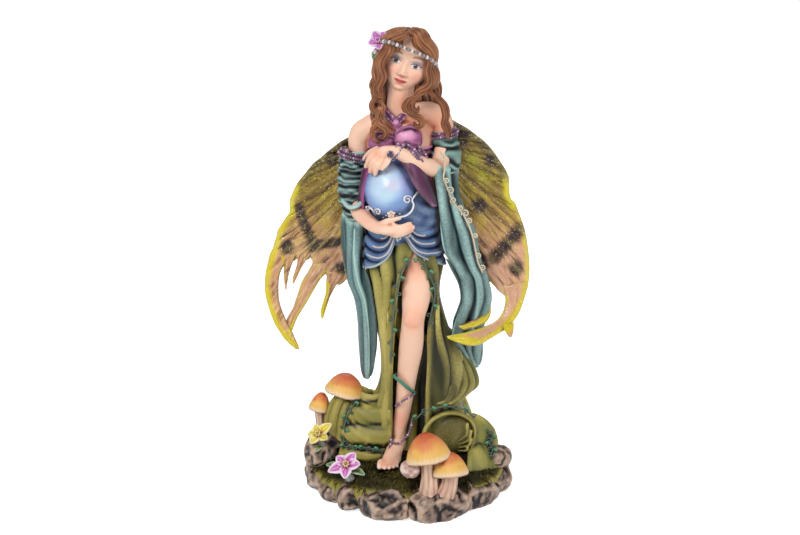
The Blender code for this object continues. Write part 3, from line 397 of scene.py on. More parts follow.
def relief(mesh, rounds):
    """How far each point stands out, in mm: its offset along its normal from the average of its neighbours, taken
    several times over."""
    count = len(mesh.vertices)
    place = np.empty(count * 3, np.float32)
    mesh.vertices.foreach_get("co", place)
    ends = np.empty(len(mesh.edges) * 2, np.int32)
    mesh.edges.foreach_get("vertices", ends)
    a, b = ends.reshape(-1, 2).T
    near = np.maximum(np.bincount(a, minlength=count) + np.bincount(b, minlength=count), 1)
    place = place.reshape(-1, 3).astype(float)
    smooth = place.copy()
    for _ in range(rounds):
        smooth = np.stack([(np.bincount(a, smooth[b, k], count) + np.bincount(b, smooth[a, k],
            count)) / near for k in range(3)], axis=1)
    return ((place - smooth) * normals_of(mesh)).sum(axis=1) / MM


def fused(heap, detail, smoothing):
    """One mesh from overlapping forms: fused on a fine grid, then relaxed."""
    mesh = bpy.data.meshes.new("forms")
    quads = np.concatenate(heap.quads)
    tris = np.concatenate(heap.tris)
    mesh.from_pydata(np.concatenate(heap.points) * MM, [], quads.tolist() + tris.tolist())
    face_out(mesh)
    raw = linked("forms", mesh)
    join = raw.modifiers.new("Fuse", "REMESH")
    join.mode = "VOXEL"
    join.voxel_size = detail * MM
    join.use_smooth_shade = True
    soften = raw.modifiers.new("Soften", "SMOOTH")
    soften.factor = 0.5
    soften.iterations = smoothing
    bpy.context.view_layer.update()
    made = bpy.data.meshes.new_from_object(raw.evaluated_get(bpy.context.evaluated_depsgraph_get()))
    bpy.data.objects.remove(raw)
    return made


def points_of(mesh):
    """A mesh's points in millimetres, as an array."""
    place = np.empty(len(mesh.vertices) * 3, np.float32)
    mesh.vertices.foreach_get("co", place)
    return place.reshape(-1, 3).astype(float) / MM


# Finishes


def wire(tree, source, target):
    """Links two sockets."""
    tree.links.new(source, target)


def worked(tree, kind, a, b, clamp=False):
    """The output of a Math node of this kind, whose inputs are sockets or numbers."""
    step = tree.nodes.new("ShaderNodeMath")
    step.operation = kind
    step.use_clamp = clamp
    for socket, value in zip(step.inputs, (a, b)):
        if isinstance(value, (int, float)):
            socket.default_value = value
        else:
            wire(tree, value, socket)
    return step.outputs[0]


def paint_group():
    """Brush-painted resin: the ground colour mottled a little, a dark wash in the hollows and a light dry brush on the
    ridges. Where the Shadow attribute marks narrow places between pieces, the wash colour lays painted shade."""
    group = bpy.data.node_groups.new("resin_paint", "ShaderNodeTree")
    for label, kind, start in (
        ("Paint", "NodeSocketColor", (0.5, 0.5, 0.5, 1)), ("Relief", "NodeSocketFloat", 0.0),
         ("Shadow", "NodeSocketFloat", 0.0),
        ("Wash Colour", "NodeSocketColor", (0.03, 0.02, 0.02, 1)), ("Wash", "NodeSocketFloat", 1.0),
        ("Brush Colour", "NodeSocketColor", (0.9, 0.85, 0.75, 1)), ("Brush", "NodeSocketFloat", 1.0),
        ("Mottle", "NodeSocketFloat", 0.2), ("Grain", "NodeSocketFloat", 900.0),
    ):
        made = group.interface.new_socket(label, in_out="INPUT", socket_type=kind)
        made.default_value = start
    for label, kind in (("Color", "NodeSocketColor"), ("Roughness", "NodeSocketFloat"), ("Height", "NodeSocketFloat")):
        group.interface.new_socket(label, in_out="OUTPUT", socket_type=kind)
    nodes = group.nodes
    given = nodes.new("NodeGroupInput")
    out = nodes.new("NodeGroupOutput")
    place = nodes.new("ShaderNodeTexCoord")
    cloud = nodes.new("ShaderNodeTexNoise")
    cloud.inputs["Scale"].default_value = CLOUD_SCALE
    cloud.inputs["Detail"].default_value = 4.0
    grain = nodes.new("ShaderNodeTexNoise")
    grain.inputs["Detail"].default_value = 3.0
    wire(group, place.outputs["Object"], cloud.inputs["Vector"])
    wire(group, place.outputs["Object"], grain.inputs["Vector"])
    wire(group, given.outputs["Grain"], grain.inputs["Scale"])

    def sum_of(kind, a, b, clamp=False):
        return worked(group, kind, a, b, clamp)

    def blend(share, a, b, kind="MIX"):
        step = nodes.new("ShaderNodeMix")
        step.data_type = "RGBA"
        step.blend_type = kind
        wire(group, share, step.inputs[0])
        for socket, value in ((step.inputs[6], a), (step.inputs[7], b)):
            if isinstance(value, tuple):
                socket.default_value = value
            else:
                wire(group, value, socket)
        return step.outputs[2]

    uneven = sum_of("MULTIPLY", sum_of("SUBTRACT", cloud.outputs["Fac"], 0.5), 2.0)
    scale = sum_of("ADD", sum_of("MULTIPLY", uneven, given.outputs["Mottle"]), 1.0)
    uniform = nodes.new("ShaderNodeValue")
    uniform.outputs[0].default_value = 1.0
    ground = blend(uniform.outputs[0], given.outputs["Paint"], scale, "MULTIPLY")
    # The wash in the hollows, plus the painted shade that the Shadow attribute marks between pieces.
    hollow = sum_of("ADD",
        sum_of("MULTIPLY", sum_of("MAXIMUM", sum_of("MULTIPLY", given.outputs["Relief"], -1.0), 0.0),
            WASH_STRENGTH), given.outputs["Shadow"])
    broken = sum_of("MULTIPLY", hollow, sum_of("ADD", grain.outputs["Fac"], 0.5))
    washed_and_shaded = blend(sum_of("MULTIPLY", broken, given.outputs["Wash"], True), ground, given.outputs["Wash Colour"])
    ridge = sum_of("MULTIPLY", sum_of("MAXIMUM", given.outputs["Relief"], 0.0), BRUSH_STRENGTH)
    streaked = sum_of("MULTIPLY", ridge, sum_of("ADD", grain.outputs["Fac"], 0.3))
    brushed = blend(sum_of("MULTIPLY", streaked, given.outputs["Brush"], True), washed_and_shaded, given.outputs["Brush Colour"])
    wire(group, brushed, out.inputs["Color"])
    wire(group, sum_of("ADD", sum_of("MULTIPLY", grain.outputs["Fac"], 0.25), 0.3), out.inputs["Roughness"])
    wire(group, grain.outputs["Fac"], out.inputs["Height"])
    return group


def finish_of(name, wash_and_shade=(0.1, 0.06, 0.05), wash_and_shade_share=1.0, brush=(0.95, 0.9, 0.8), brush_share=0.5, mottle=0.15,
    grain=900.0,
              bump=0.05, coat=0.0, metal=0.0):
    """A painted finish from the shared paint group, with its own wash, dry brush and grain; its wash colour is also the
    colour of its painted shade between pieces.
    """
    group = bpy.data.node_groups.get("resin_paint") or paint_group()
    material = bpy.data.materials.new(name)
    material.use_nodes = True
    tree = material.node_tree
    shader = tree.nodes["Principled BSDF"]
    shader.inputs["Coat Weight"].default_value = coat
    shader.inputs["Coat Roughness"].default_value = 0.18
    shader.inputs["Metallic"].default_value = metal
    shader.inputs["IOR"].default_value = 1.47
    shader.inputs["Specular IOR Level"].default_value = 0.3
    mixed = tree.nodes.new("ShaderNodeGroup")
    mixed.node_tree = group
    mixed.inputs["Wash Colour"].default_value = (*linear(wash_and_shade), 1)
    mixed.inputs["Wash"].default_value = wash_and_shade_share
    mixed.inputs["Brush Colour"].default_value = (*linear(brush), 1)
    mixed.inputs["Brush"].default_value = brush_share
    mixed.inputs["Mottle"].default_value = mottle
    mixed.inputs["Grain"].default_value = grain
    for label in ("Paint", "Relief", "Shadow"):
        read = tree.nodes.new("ShaderNodeAttribute")
        read.attribute_name = label
        wire(tree, read.outputs["Color" if label == "Paint" else "Fac"], mixed.inputs[label])
    uneven = tree.nodes.new("ShaderNodeBump")
    uneven.inputs["Strength"].default_value = bump
    uneven.inputs["Distance"].default_value = BUMP_DEPTH
    wire(tree, mixed.outputs["Height"], uneven.inputs["Height"])
    wire(tree, uneven.outputs["Normal"], shader.inputs["Normal"])
    wire(tree, mixed.outputs["Color"], shader.inputs["Base Color"])
    wire(tree, mixed.outputs["Roughness"], shader.inputs["Roughness"])
    return material


# The base

BOULDERS = ((15, 1.0), (50, 0.98), (88, 1.0), (126, 0.98), (165, 1.0), (200, 0.94), (222, 0.99), (242, 1.07),
    (272, 1.11), (305, 0.99), (342, 1.0), (375, 1.0))


def build_boulders(size):
    """Boulders round an oval. Each is a ball cut by flat planes: its radius in a direction is the least of the planes'
    distances along it."""
    heap = Heap()
    chance = np.random.default_rng(7)
    rings, sides = 42, 76
    down = np.radians(np.linspace(-89, 89, rings))[:, None]
    turn = (np.arange(sides) * 2 * math.pi / sides)[None]
    ball = np.stack([np.cos(down) * np.cos(turn), np.cos(down) * np.sin(turn), np.sin(down) + 0 * turn], axis=-1)
    for (start, reach), (stop, _) in zip(BOULDERS, BOULDERS[1:]):
        middle = math.radians((start + stop) / 2)
        half = math.radians((stop - start) / 2)
        outer = np.array([size.width / 2 * math.cos(middle), size.depth / 2 * math.sin(middle), 0.0]) * reach
        along = np.linalg.norm(outer) * half * 1.1
        planes = unit(chance.normal(size=(22, 3)) * (1, 1, 0.8))
        depth = chance.uniform(0.74, 0.97, 22)
        lean = ball @ planes.T
        cut = np.where(lean > 0.05, depth / np.maximum(lean, 0.05), 9.0)
        cut = -np.log(np.exp(-70 * np.minimum(cut, 1.05)).sum(axis=-1) + math.exp(-70)) / 70
        lump = ball * cut[..., None] * (12.0, along * 1.1, 9.4)
        spun = turn_about_z(lump, (start + stop) / 2)
        rock = spun + outer * (1 - 11.2 / np.linalg.norm(outer)) + (0, 0, 5.8)
        crack = np.abs(rough(rock * (1, 1, 0.5), 9.0, 3, 4.0))
        push = 1.7 * np.minimum(crack, 0.55) + 0.5 * np.abs(rough(rock, 3.0, 2, 9.0)) - 0.7
        rock = rock + unit(spun) * push[..., None]
        rock[..., 2] = np.maximum(rock[..., 2], 0)
        heap.skin(rock, boulder_paint)
    for centre, radii, tilt in (((-43.5, -9.5, 19.5), (6.4, 7.4, 6.4), 10), ((-36.6, -2.0, 20.0), (7.0, 6.0, 7.2), -12),
        ((-45.0, 2.5, 17.5), (5.4, 6.0, 5.6), 0), ((43.5, -6.0, 16.5), (6.2, 8.0, 5.6), 6)):
        stone = egg(centre, radii, 30, 46, tilt)
        way = unit(stone - centre)
        planes = unit(chance.normal(size=(14, 3)))
        lean = way @ planes.T
        cut = np.where(lean > 0.05, chance.uniform(0.78, 0.96, 14) / np.maximum(lean, 0.05), 9.0).min(axis=-1)
        stone = centre + (stone - centre) * np.minimum(cut, 1.0)[...,
            None] + way * (1.3 * np.minimum(np.abs(rough(stone, 6.0, 3, 4.0)), 0.5) - 0.4)[..., None]
        heap.skin(stone, boulder_paint)
    finish = finish_of("rock_paint", wash_and_shade=(0.03, 0.02, 0.03), wash_and_shade_share=1.8, brush=(0.78, 0.67, 0.59), brush_share=1.0,
                       mottle=0.4, grain=520.0, bump=0.8)
    return heap.finish("boulders", finish, rounds=4)


def boulder_paint(points):
    """Brown and grey in clouds with paler worn patches, blue-black at the foot."""
    stone = mix((0.22, 0.17, 0.16), (0.36, 0.28, 0.25), ramp(noise(points, 9.0, 3), -0.4, 0.6))
    stone = mix(stone, (0.23, 0.20, 0.22), ramp(noise(points, 7.0, 8), 0.1, 0.7))
    stone = mix(stone, (0.66, 0.56, 0.50), ramp(rough(points * (1, 1, 0.45), 3.2, 3, 6.0), 0.25, 0.8) * 0.75)
    crack = np.abs(rough(points * (1, 1, 0.5), 9.0, 3, 4.0))
    stone = mix(stone, (0.06, 0.05, 0.05), (1 - ramp(crack, 0.03, 0.16)) * 0.85)
    return mix(stone, (0.08, 0.09, 0.12), 1 - ramp(points[..., 2] + noise(points, 4.0), 0.8, 3.8))


def mound_height(x, y, size):
    """The height of the moss at a place: a dome that falls away towards the boulders, lower at the front right."""
    share = np.hypot(x / (size.width / 2), y / (size.depth / 2))
    angle = np.degrees(np.arctan2(y, x)) % 360
    dome = np.interp(share, (0, 0.1, 0.5, 0.78, 0.9, 0.97),
        (GROUND, GROUND, GROUND - 0.8, GROUND - 3.0, GROUND - 6.0, GROUND - 10))
    return dome - np.exp(-(((angle - 296) / 18) ** 2)) * 4.5 * np.minimum(share, 1)


def build_moss(size):
    """The dome of moss, and blades of it combed outwards: each blade is a thin tapering tube that arches down its
    slope."""
    heap = Heap()
    rings, sides = 44, 120
    share = np.concatenate([np.linspace(0.01, 0.93, rings - 2), [0.9, 0.3]])[:, None]
    turn = (np.arange(sides) * 2 * math.pi / sides)[None]
    x = size.width / 2 * share * np.cos(turn)
    y = size.depth / 2 * share * np.sin(turn)
    dome = np.stack([x, y, mound_height(x, y, size)], axis=-1)
    dome[..., 2] += 0.5 * rough(dome, 3.0, 3)
    dome[-2:, :, 2] = 3.0
    heap.skin(dome, lambda points: mix((0.14, 0.12, 0.06), (0.28, 0.25, 0.10), ramp(noise(points, 3.0, 4), -0.3, 0.8)))
    chance = np.random.default_rng(3)
    count = size.blades
    reach = np.sqrt(chance.uniform(0.04, 0.83, count))
    angle = chance.uniform(0, 2 * math.pi, count)
    x = size.width / 2 * reach * np.cos(angle)
    y = size.depth / 2 * reach * np.sin(angle)
    root = np.stack([x, y, mound_height(x, y, size) - 0.4], axis=-1)
    heading = angle + chance.normal(0, 0.7, count)
    out = np.stack([np.cos(heading), np.sin(heading), 0 * heading], axis=-1)
    side = np.stack([-np.sin(heading), np.cos(heading), 0 * heading], axis=-1)
    length = chance.uniform(2.2, 4.8, count)
    t = np.linspace(0, 1, 4)
    tip = root + out * length[:, None]
    fall = np.minimum(mound_height(tip[:, 0], tip[:, 1], size) - root[:, 2], 1.0)
    rise = chance.uniform(0.8, 1.9, count)
    bend = chance.normal(0, 0.8, count)
    path = root[:, None] + out[:, None] * (length[:, None] * t)[..., None] + side[:, None] * (bend[:, None] * t**2)[...,
        None]
    path[..., 2] += fall[:, None] * t**1.5 + rise[:, None] * np.sin(math.pi * np.minimum(t * 0.9, 1)) * 0.8
    wide = chance.uniform(0.22, 0.38, count)[:, None] * np.array([0.9, 1.0, 0.75, 0.2])
    corner = np.arange(3) * 2 * math.pi / 3
    ring = side[:, None, None] * np.cos(corner)[:, None] + UP * np.sin(corner)[:, None] * 0.8
    blades = path[:, :, None] + ring * wide[..., None, None]
    shade = chance.uniform(0, 1, count)
    patchy = ramp(noise(root, 8.0, 15) + 0.8 * (shade - 0.5), -0.5, 0.5)
    ground = mix((0.15, 0.11, 0.06), mix((0.29, 0.26, 0.09), (0.66, 0.60, 0.20), shade**2.2), patchy)
    # Each blade darkens to about half its colour at its root: partly moss painted dark with light tips, partly painted
    # shade among the blades.
    heap.skin(blades, mix(ground[:, None] * 0.55, ground[:, None]
        * np.ones((1, 4, 1)), np.broadcast_to(t, (count, 4)))[:, :, None])
    finish = finish_of("moss_paint", wash_and_shade=(0.05, 0.04, 0.02), wash_and_shade_share=1.3, brush=(0.62, 0.58, 0.24), brush_share=0.1,
        mottle=0.2, bump=0.1)
    return heap.finish("moss", finish, rounds=3)


def mushroom(heap, foot, rim, apex, radius, stem, wide):
    """A bell cap: a profile spun about the line from the rim's centre to the apex, with gills under it, on a curved
    stem."""
    rim = np.asarray(rim, float)
    axis = unit(np.asarray(apex, float) - rim)
    rise = np.linalg.norm(np.asarray(apex, float) - rim)
    side = unit(np.cross(axis, FRONT + 0.01 * UP))
    ahead = np.cross(side, axis)
    profile = spread([(0.22, 0.22), (0.6, 0.10), (0.88, -0.04), (0.98, -0.06), (1.02, 0.02), (0.98, 0.16), (0.84, 0.45),
        (0.6, 0.75), (0.3, 0.94), (0.04, 1.0)], 40)
    turn = np.arange(72) * 2 * math.pi / 72
    under = 1 - ramp(np.arange(40), 10, 13)
    wave = 1 + 0.025 * np.sin(5 * turn + 1) + 0.02 * np.sin(3 * turn)
    across = radius * profile[:, :1] * wave
    lift = rise * profile[:, 1:] + 0 * turn - 0.45 * under[:, None] * np.abs(np.sin(12 * turn))
    cap = rim + side * (across * np.cos(turn))[..., None] + ahead * (across * np.sin(turn))[...,
        None] + axis * lift[..., None]
    cap += 0.12 * rough(cap, 4.0)[..., None] * axis

    def cap_paint(points):
        height = ((points - rim) @ axis) / rise
        way = np.arctan2((points - rim) @ ahead, (points - rim) @ side)
        blot = noise(points, 5.0, 6) * 0.16
        streak = 0.07 * np.sin(31 * way + 3 * noise(points, 3.0)) * (1 - height)
        shade = mix((0.93, 0.82, 0.68), (0.93, 0.72, 0.34), ramp(height + streak, 0.02, 0.26))
        shade = mix(shade, (0.87, 0.47, 0.22), ramp(height + blot + streak, 0.30, 0.74))
        shade = mix(shade, (0.72, 0.36, 0.18),
            ramp(rough(points, 1.6, 2, 3.0), 0.45, 0.95) * ramp(height, 0.2, 0.5) * 0.55)
        shade = mix(shade, (0.76, 0.29, 0.15), ramp(height + blot, 0.72, 1.0) * 0.85)
        return mix(shade, (0.80, 0.62, 0.50), (1 - ramp(height, -0.06, 0.0)) * 0.8)

    heap.skin(cap, cap_paint)
    path = spread([foot, np.asarray(foot, float) * 0.45 + rim * 0.55 + (0.5, 0, 0), rim + axis * rise * 0.2], 28)
    flare = spread(np.array([[wide], [stem], [stem * 0.92], [stem * 1.1]]), 28)[:, 0]
    ribbed = flare[:, None] * (1 + 0.05 * np.cos(9 * np.arange(44) * 2 * math.pi / 44))
    post = tube(path, ribbed, 44)

    def stem_paint(points):
        line = noise(points * (1, 1, 0.12), 1.0, 9)
        shade = mix((0.82, 0.66, 0.58), (0.92, 0.80, 0.70), ramp(line, -0.5, 0.5))
        return mix(shade, (0.66, 0.48, 0.42), (1 - ramp(points[..., 2], foot[2] - 2, foot[2] + 7)) * 0.7)

    heap.skin(post, stem_paint)


def build_mushrooms(size):
    """Two mushrooms and a pale bud at the front right, two more mushrooms at the left rear."""
    heap = Heap()
    mushroom(heap, (9.6, -39.4, 11.0), (9.4, -36.4, 28.4), (7.4, -34.6, 40.0), 10.2, 4.2, 5.0)
    mushroom(heap, (17.0, -40.0, 11.0), (19.4, -39.2, 22.0), (18.4, -36.8, 31.6), 8.0, 4.0, 4.8)
    mushroom(heap, (-32.5, 2.0, 14.0), (-30.6, 1.2, 46.4), (-28.2, 2.0, 55.4), 9.4, 3.3, 4.0)
    mushroom(heap, (-41.0, 1.0, 12.0), (-42.6, -0.8, 38.6), (-40.6, 0.0, 46.6), 5.0, 2.6, 3.2)
    bud = egg((1.0, -37.4, 23.4), (4.6, 3.6, 4.2), 40, 64, 22)
    bud = bud + unit(bud - (1.0, -37.4, 23.4)) * (0.35 * np.abs(noise(bud, 2.6)) + 0.2 * noise(bud, 1.2))[..., None]
    heap.skin(bud, lambda points: mix((0.74, 0.58, 0.56), (0.93, 0.84, 0.80), ramp(noise(points, 2.0, 3), -0.5, 0.5)))
    finish = finish_of("mushroom_paint", wash_and_shade=(0.42, 0.20, 0.12), wash_and_shade_share=0.8, brush=(0.98, 0.90, 0.76),
        brush_share=0.35, mottle=0.12, bump=0.08)
    return heap.finish("mushrooms", finish, rounds=4)


def bloom(heap, centre, tips, front, wide, core, rim, heart, thick=0.9, stamen=(0.97, 0.88, 0.30)):
    """An open flower: each petal is a pointed sheet from the heart to its tip, hollow along its middle, with a paler
    edge."""
    centre = np.asarray(centre, float)
    front = unit(np.asarray(front, float))
    t = np.linspace(0, 1, 16)[:, None]
    s = np.linspace(-1, 1, 11)[None]
    outline = wide * np.sin(math.pi * np.minimum(t * 0.92 + 0.06, 1)) ** 0.75 * (1.15 - 0.35 * t)
    for k, tip in enumerate(tips):
        along = np.asarray(tip, float) - centre
        side = unit(np.cross(along, front))
        crease = 0.5 * np.abs(s) ** 1.5 * wide * 0.5 + 0.10 * wide * np.cos(3 * math.pi * s) * t
        lift = 0.16 * np.linalg.norm(along) * np.sin(math.pi * t) + crease
        petal = centre + along * t[..., None] + side * (s * outline)[..., None] + front * lift[..., None]
        shade = mix(mix(heart, core, ramp(t, 0.08, 0.42) + 0 * s), rim, ramp(np.abs(s) + 0.25 * t, 0.62, 1.05) + 0 * t)
        shade = shade * (0.94 + 0.06 * np.cos(9 * s + 0 * t))[..., None]
        heap.sheet(petal, thick, np.clip(shade, 0, 1), lip=0.7)
    heap.skin(egg(centre + front * 0.5, (wide * 0.42,) * 3, 10, 14), np.asarray(heart) * 0.7)
    for k in range(7):
        way = k * 2 * math.pi / 7 + 0.3
        side = unit(np.cross(front, UP + 0.1))
        up = np.cross(front, side)
        out = side * math.cos(way) + up * math.sin(way)
        end = centre + front * wide * 1.15 + out * wide * 0.42
        heap.skin(tube(spread([centre, centre + front * wide * 0.6 + out * wide * 0.12, end], 8), 0.22, 6, UP + 0.2),
            np.asarray(stamen) * 0.95)
        heap.skin(egg(end, (0.42,) * 3, 6, 8), stamen)


def leaf(heap, foot, tip, front, wide, colour):
    """A pointed leaf with a groove along its middle."""
    foot = np.asarray(foot, float)
    along = np.asarray(tip, float) - foot
    front = unit(np.asarray(front, float))
    t = np.linspace(0, 1, 20)[:, None]
    s = np.linspace(-1, 1, 9)[None]
    side = unit(np.cross(along, front))
    outline = wide * np.sin(math.pi * np.minimum(t * 0.94 + 0.04, 1)) ** 0.8
    lift = 0.18 * np.linalg.norm(along) * np.sin(math.pi * t) + 0.45 * wide * np.abs(s)
    blade = foot + along * t[..., None] + side * (s * outline)[..., None] + front * lift[..., None]
    # Paler towards the raised edges and darker along the groove: painted light and shade.
    shade = mix(colour, np.asarray(colour) * 1.35, ramp(np.abs(s), 0.1, 0.9) + 0 * t)
    heap.sheet(blade, LEAF_THICKNESS, np.clip(shade, 0, 1), lip=0.6)


def build_flowers(size):
    """A pink and a yellow flower on the base, each on its stalk, and leaves under them."""
    heap = Heap()
    pink = [(-36.9, -35, 20.9), (-33.1, -31, 26.8), (-24.3, -31, 28.6), (-22.0, -34, 24.3), (-29.1, -37.4, 18.4)]
    bloom(heap, (-28.8, -33.4, 23.5), pink, (0.05, -0.8, 0.6), 2.9, (0.86, 0.44, 0.78), (0.98, 0.92, 0.97),
        (0.80, 0.25, 0.62))
    yellow = [(-47.3, -14, 30.6), (-43.7, -12, 35.0), (-36.0, -12, 35.5), (-37.7, -14.6, 28.5), (-45.9, -16, 26.9)]
    bloom(heap, (-42.2, -14, 31.0), yellow, (-0.1, -0.85, 0.5), 2.5, (0.95, 0.85, 0.12), (0.98, 0.92, 0.45),
        (0.62, 0.22, 0.16))
    heap.skin(tube(spread([(-25, -26, 11), (-28, -30, 17), (-29, -32.4, 22)], 16), np.linspace(2.6, 1.0, 16), 12, UP),
        STALK_GREEN)
    heap.skin(tube(spread([(-38, -8, 15), (-40.5, -10.5, 23), (-41.6, -12.8, 30)], 16), np.linspace(2.4, 0.9, 16), 12),
        STALK_GREEN)
    leaf(heap, (-27, -31, 19), (-20, -35, 19.0), (0, -0.5, 0.9), 2.0, LEAF_GREEN)
    leaf(heap, (-30, -30, 19), (-38, -29, 21.5), (0, -0.5, 0.9), 2.0, LEAF_GREEN)
    leaf(heap, (-40, -11, 24), (-44.5, -15, 22.0), (-0.4, -0.8, 0.5), 1.8, LEAF_GREEN)
    finish = finish_of("petal_paint", wash_and_shade=(0.35, 0.12, 0.25), wash_and_shade_share=0.5, brush=(1.0, 1.0, 1.0), brush_share=0.5,
        mottle=0.08, bump=0.05)
    return heap.finish("flowers", finish, rounds=3)


# The figure

HEAD = np.array([-0.3, 0.9, 205.3])
HEAD_RADII = (9.25, 10.5, 13.0)
BELLY = np.array([-7.8, -8.0, 148.5])
BELLY_RADII = (12.3, 14.6, 14.0)


def fingers(heap, roots, tips, bulge, radii):
    """Fingers between pairs of points, bowed outwards, thinner at their tips, with a swell at both joints."""
    for root, tip, radius in zip(roots, tips, radii):
        root, tip = np.asarray(root, float), np.asarray(tip, float)
        path = spread([root, root * 0.55 + tip * 0.45 + bulge, tip], 22)
        t = np.linspace(0, 1, 22)
        swell = 1 - 0.28 * t + 0.07 * np.exp(-(((t - 0.42) / 0.1) ** 2)) + 0.05 * np.exp(-(((t - 0.72) / 0.08) ** 2))
        heap.skin(tube(path, radius * swell, 12, np.array([0.3, -0.2, 1.0])), (0, 0, 0))


def limb(heap, rows, up=FRONT, flat=1.0):
    """A round form along a smooth path. Each row is x, y, z and radius."""
    rows = spread(rows, 12 * len(rows))
    heap.skin(tube(rows[:, :3], rows[:, 3], LIMB_SIDES, up, flat), (0, 0, 0))


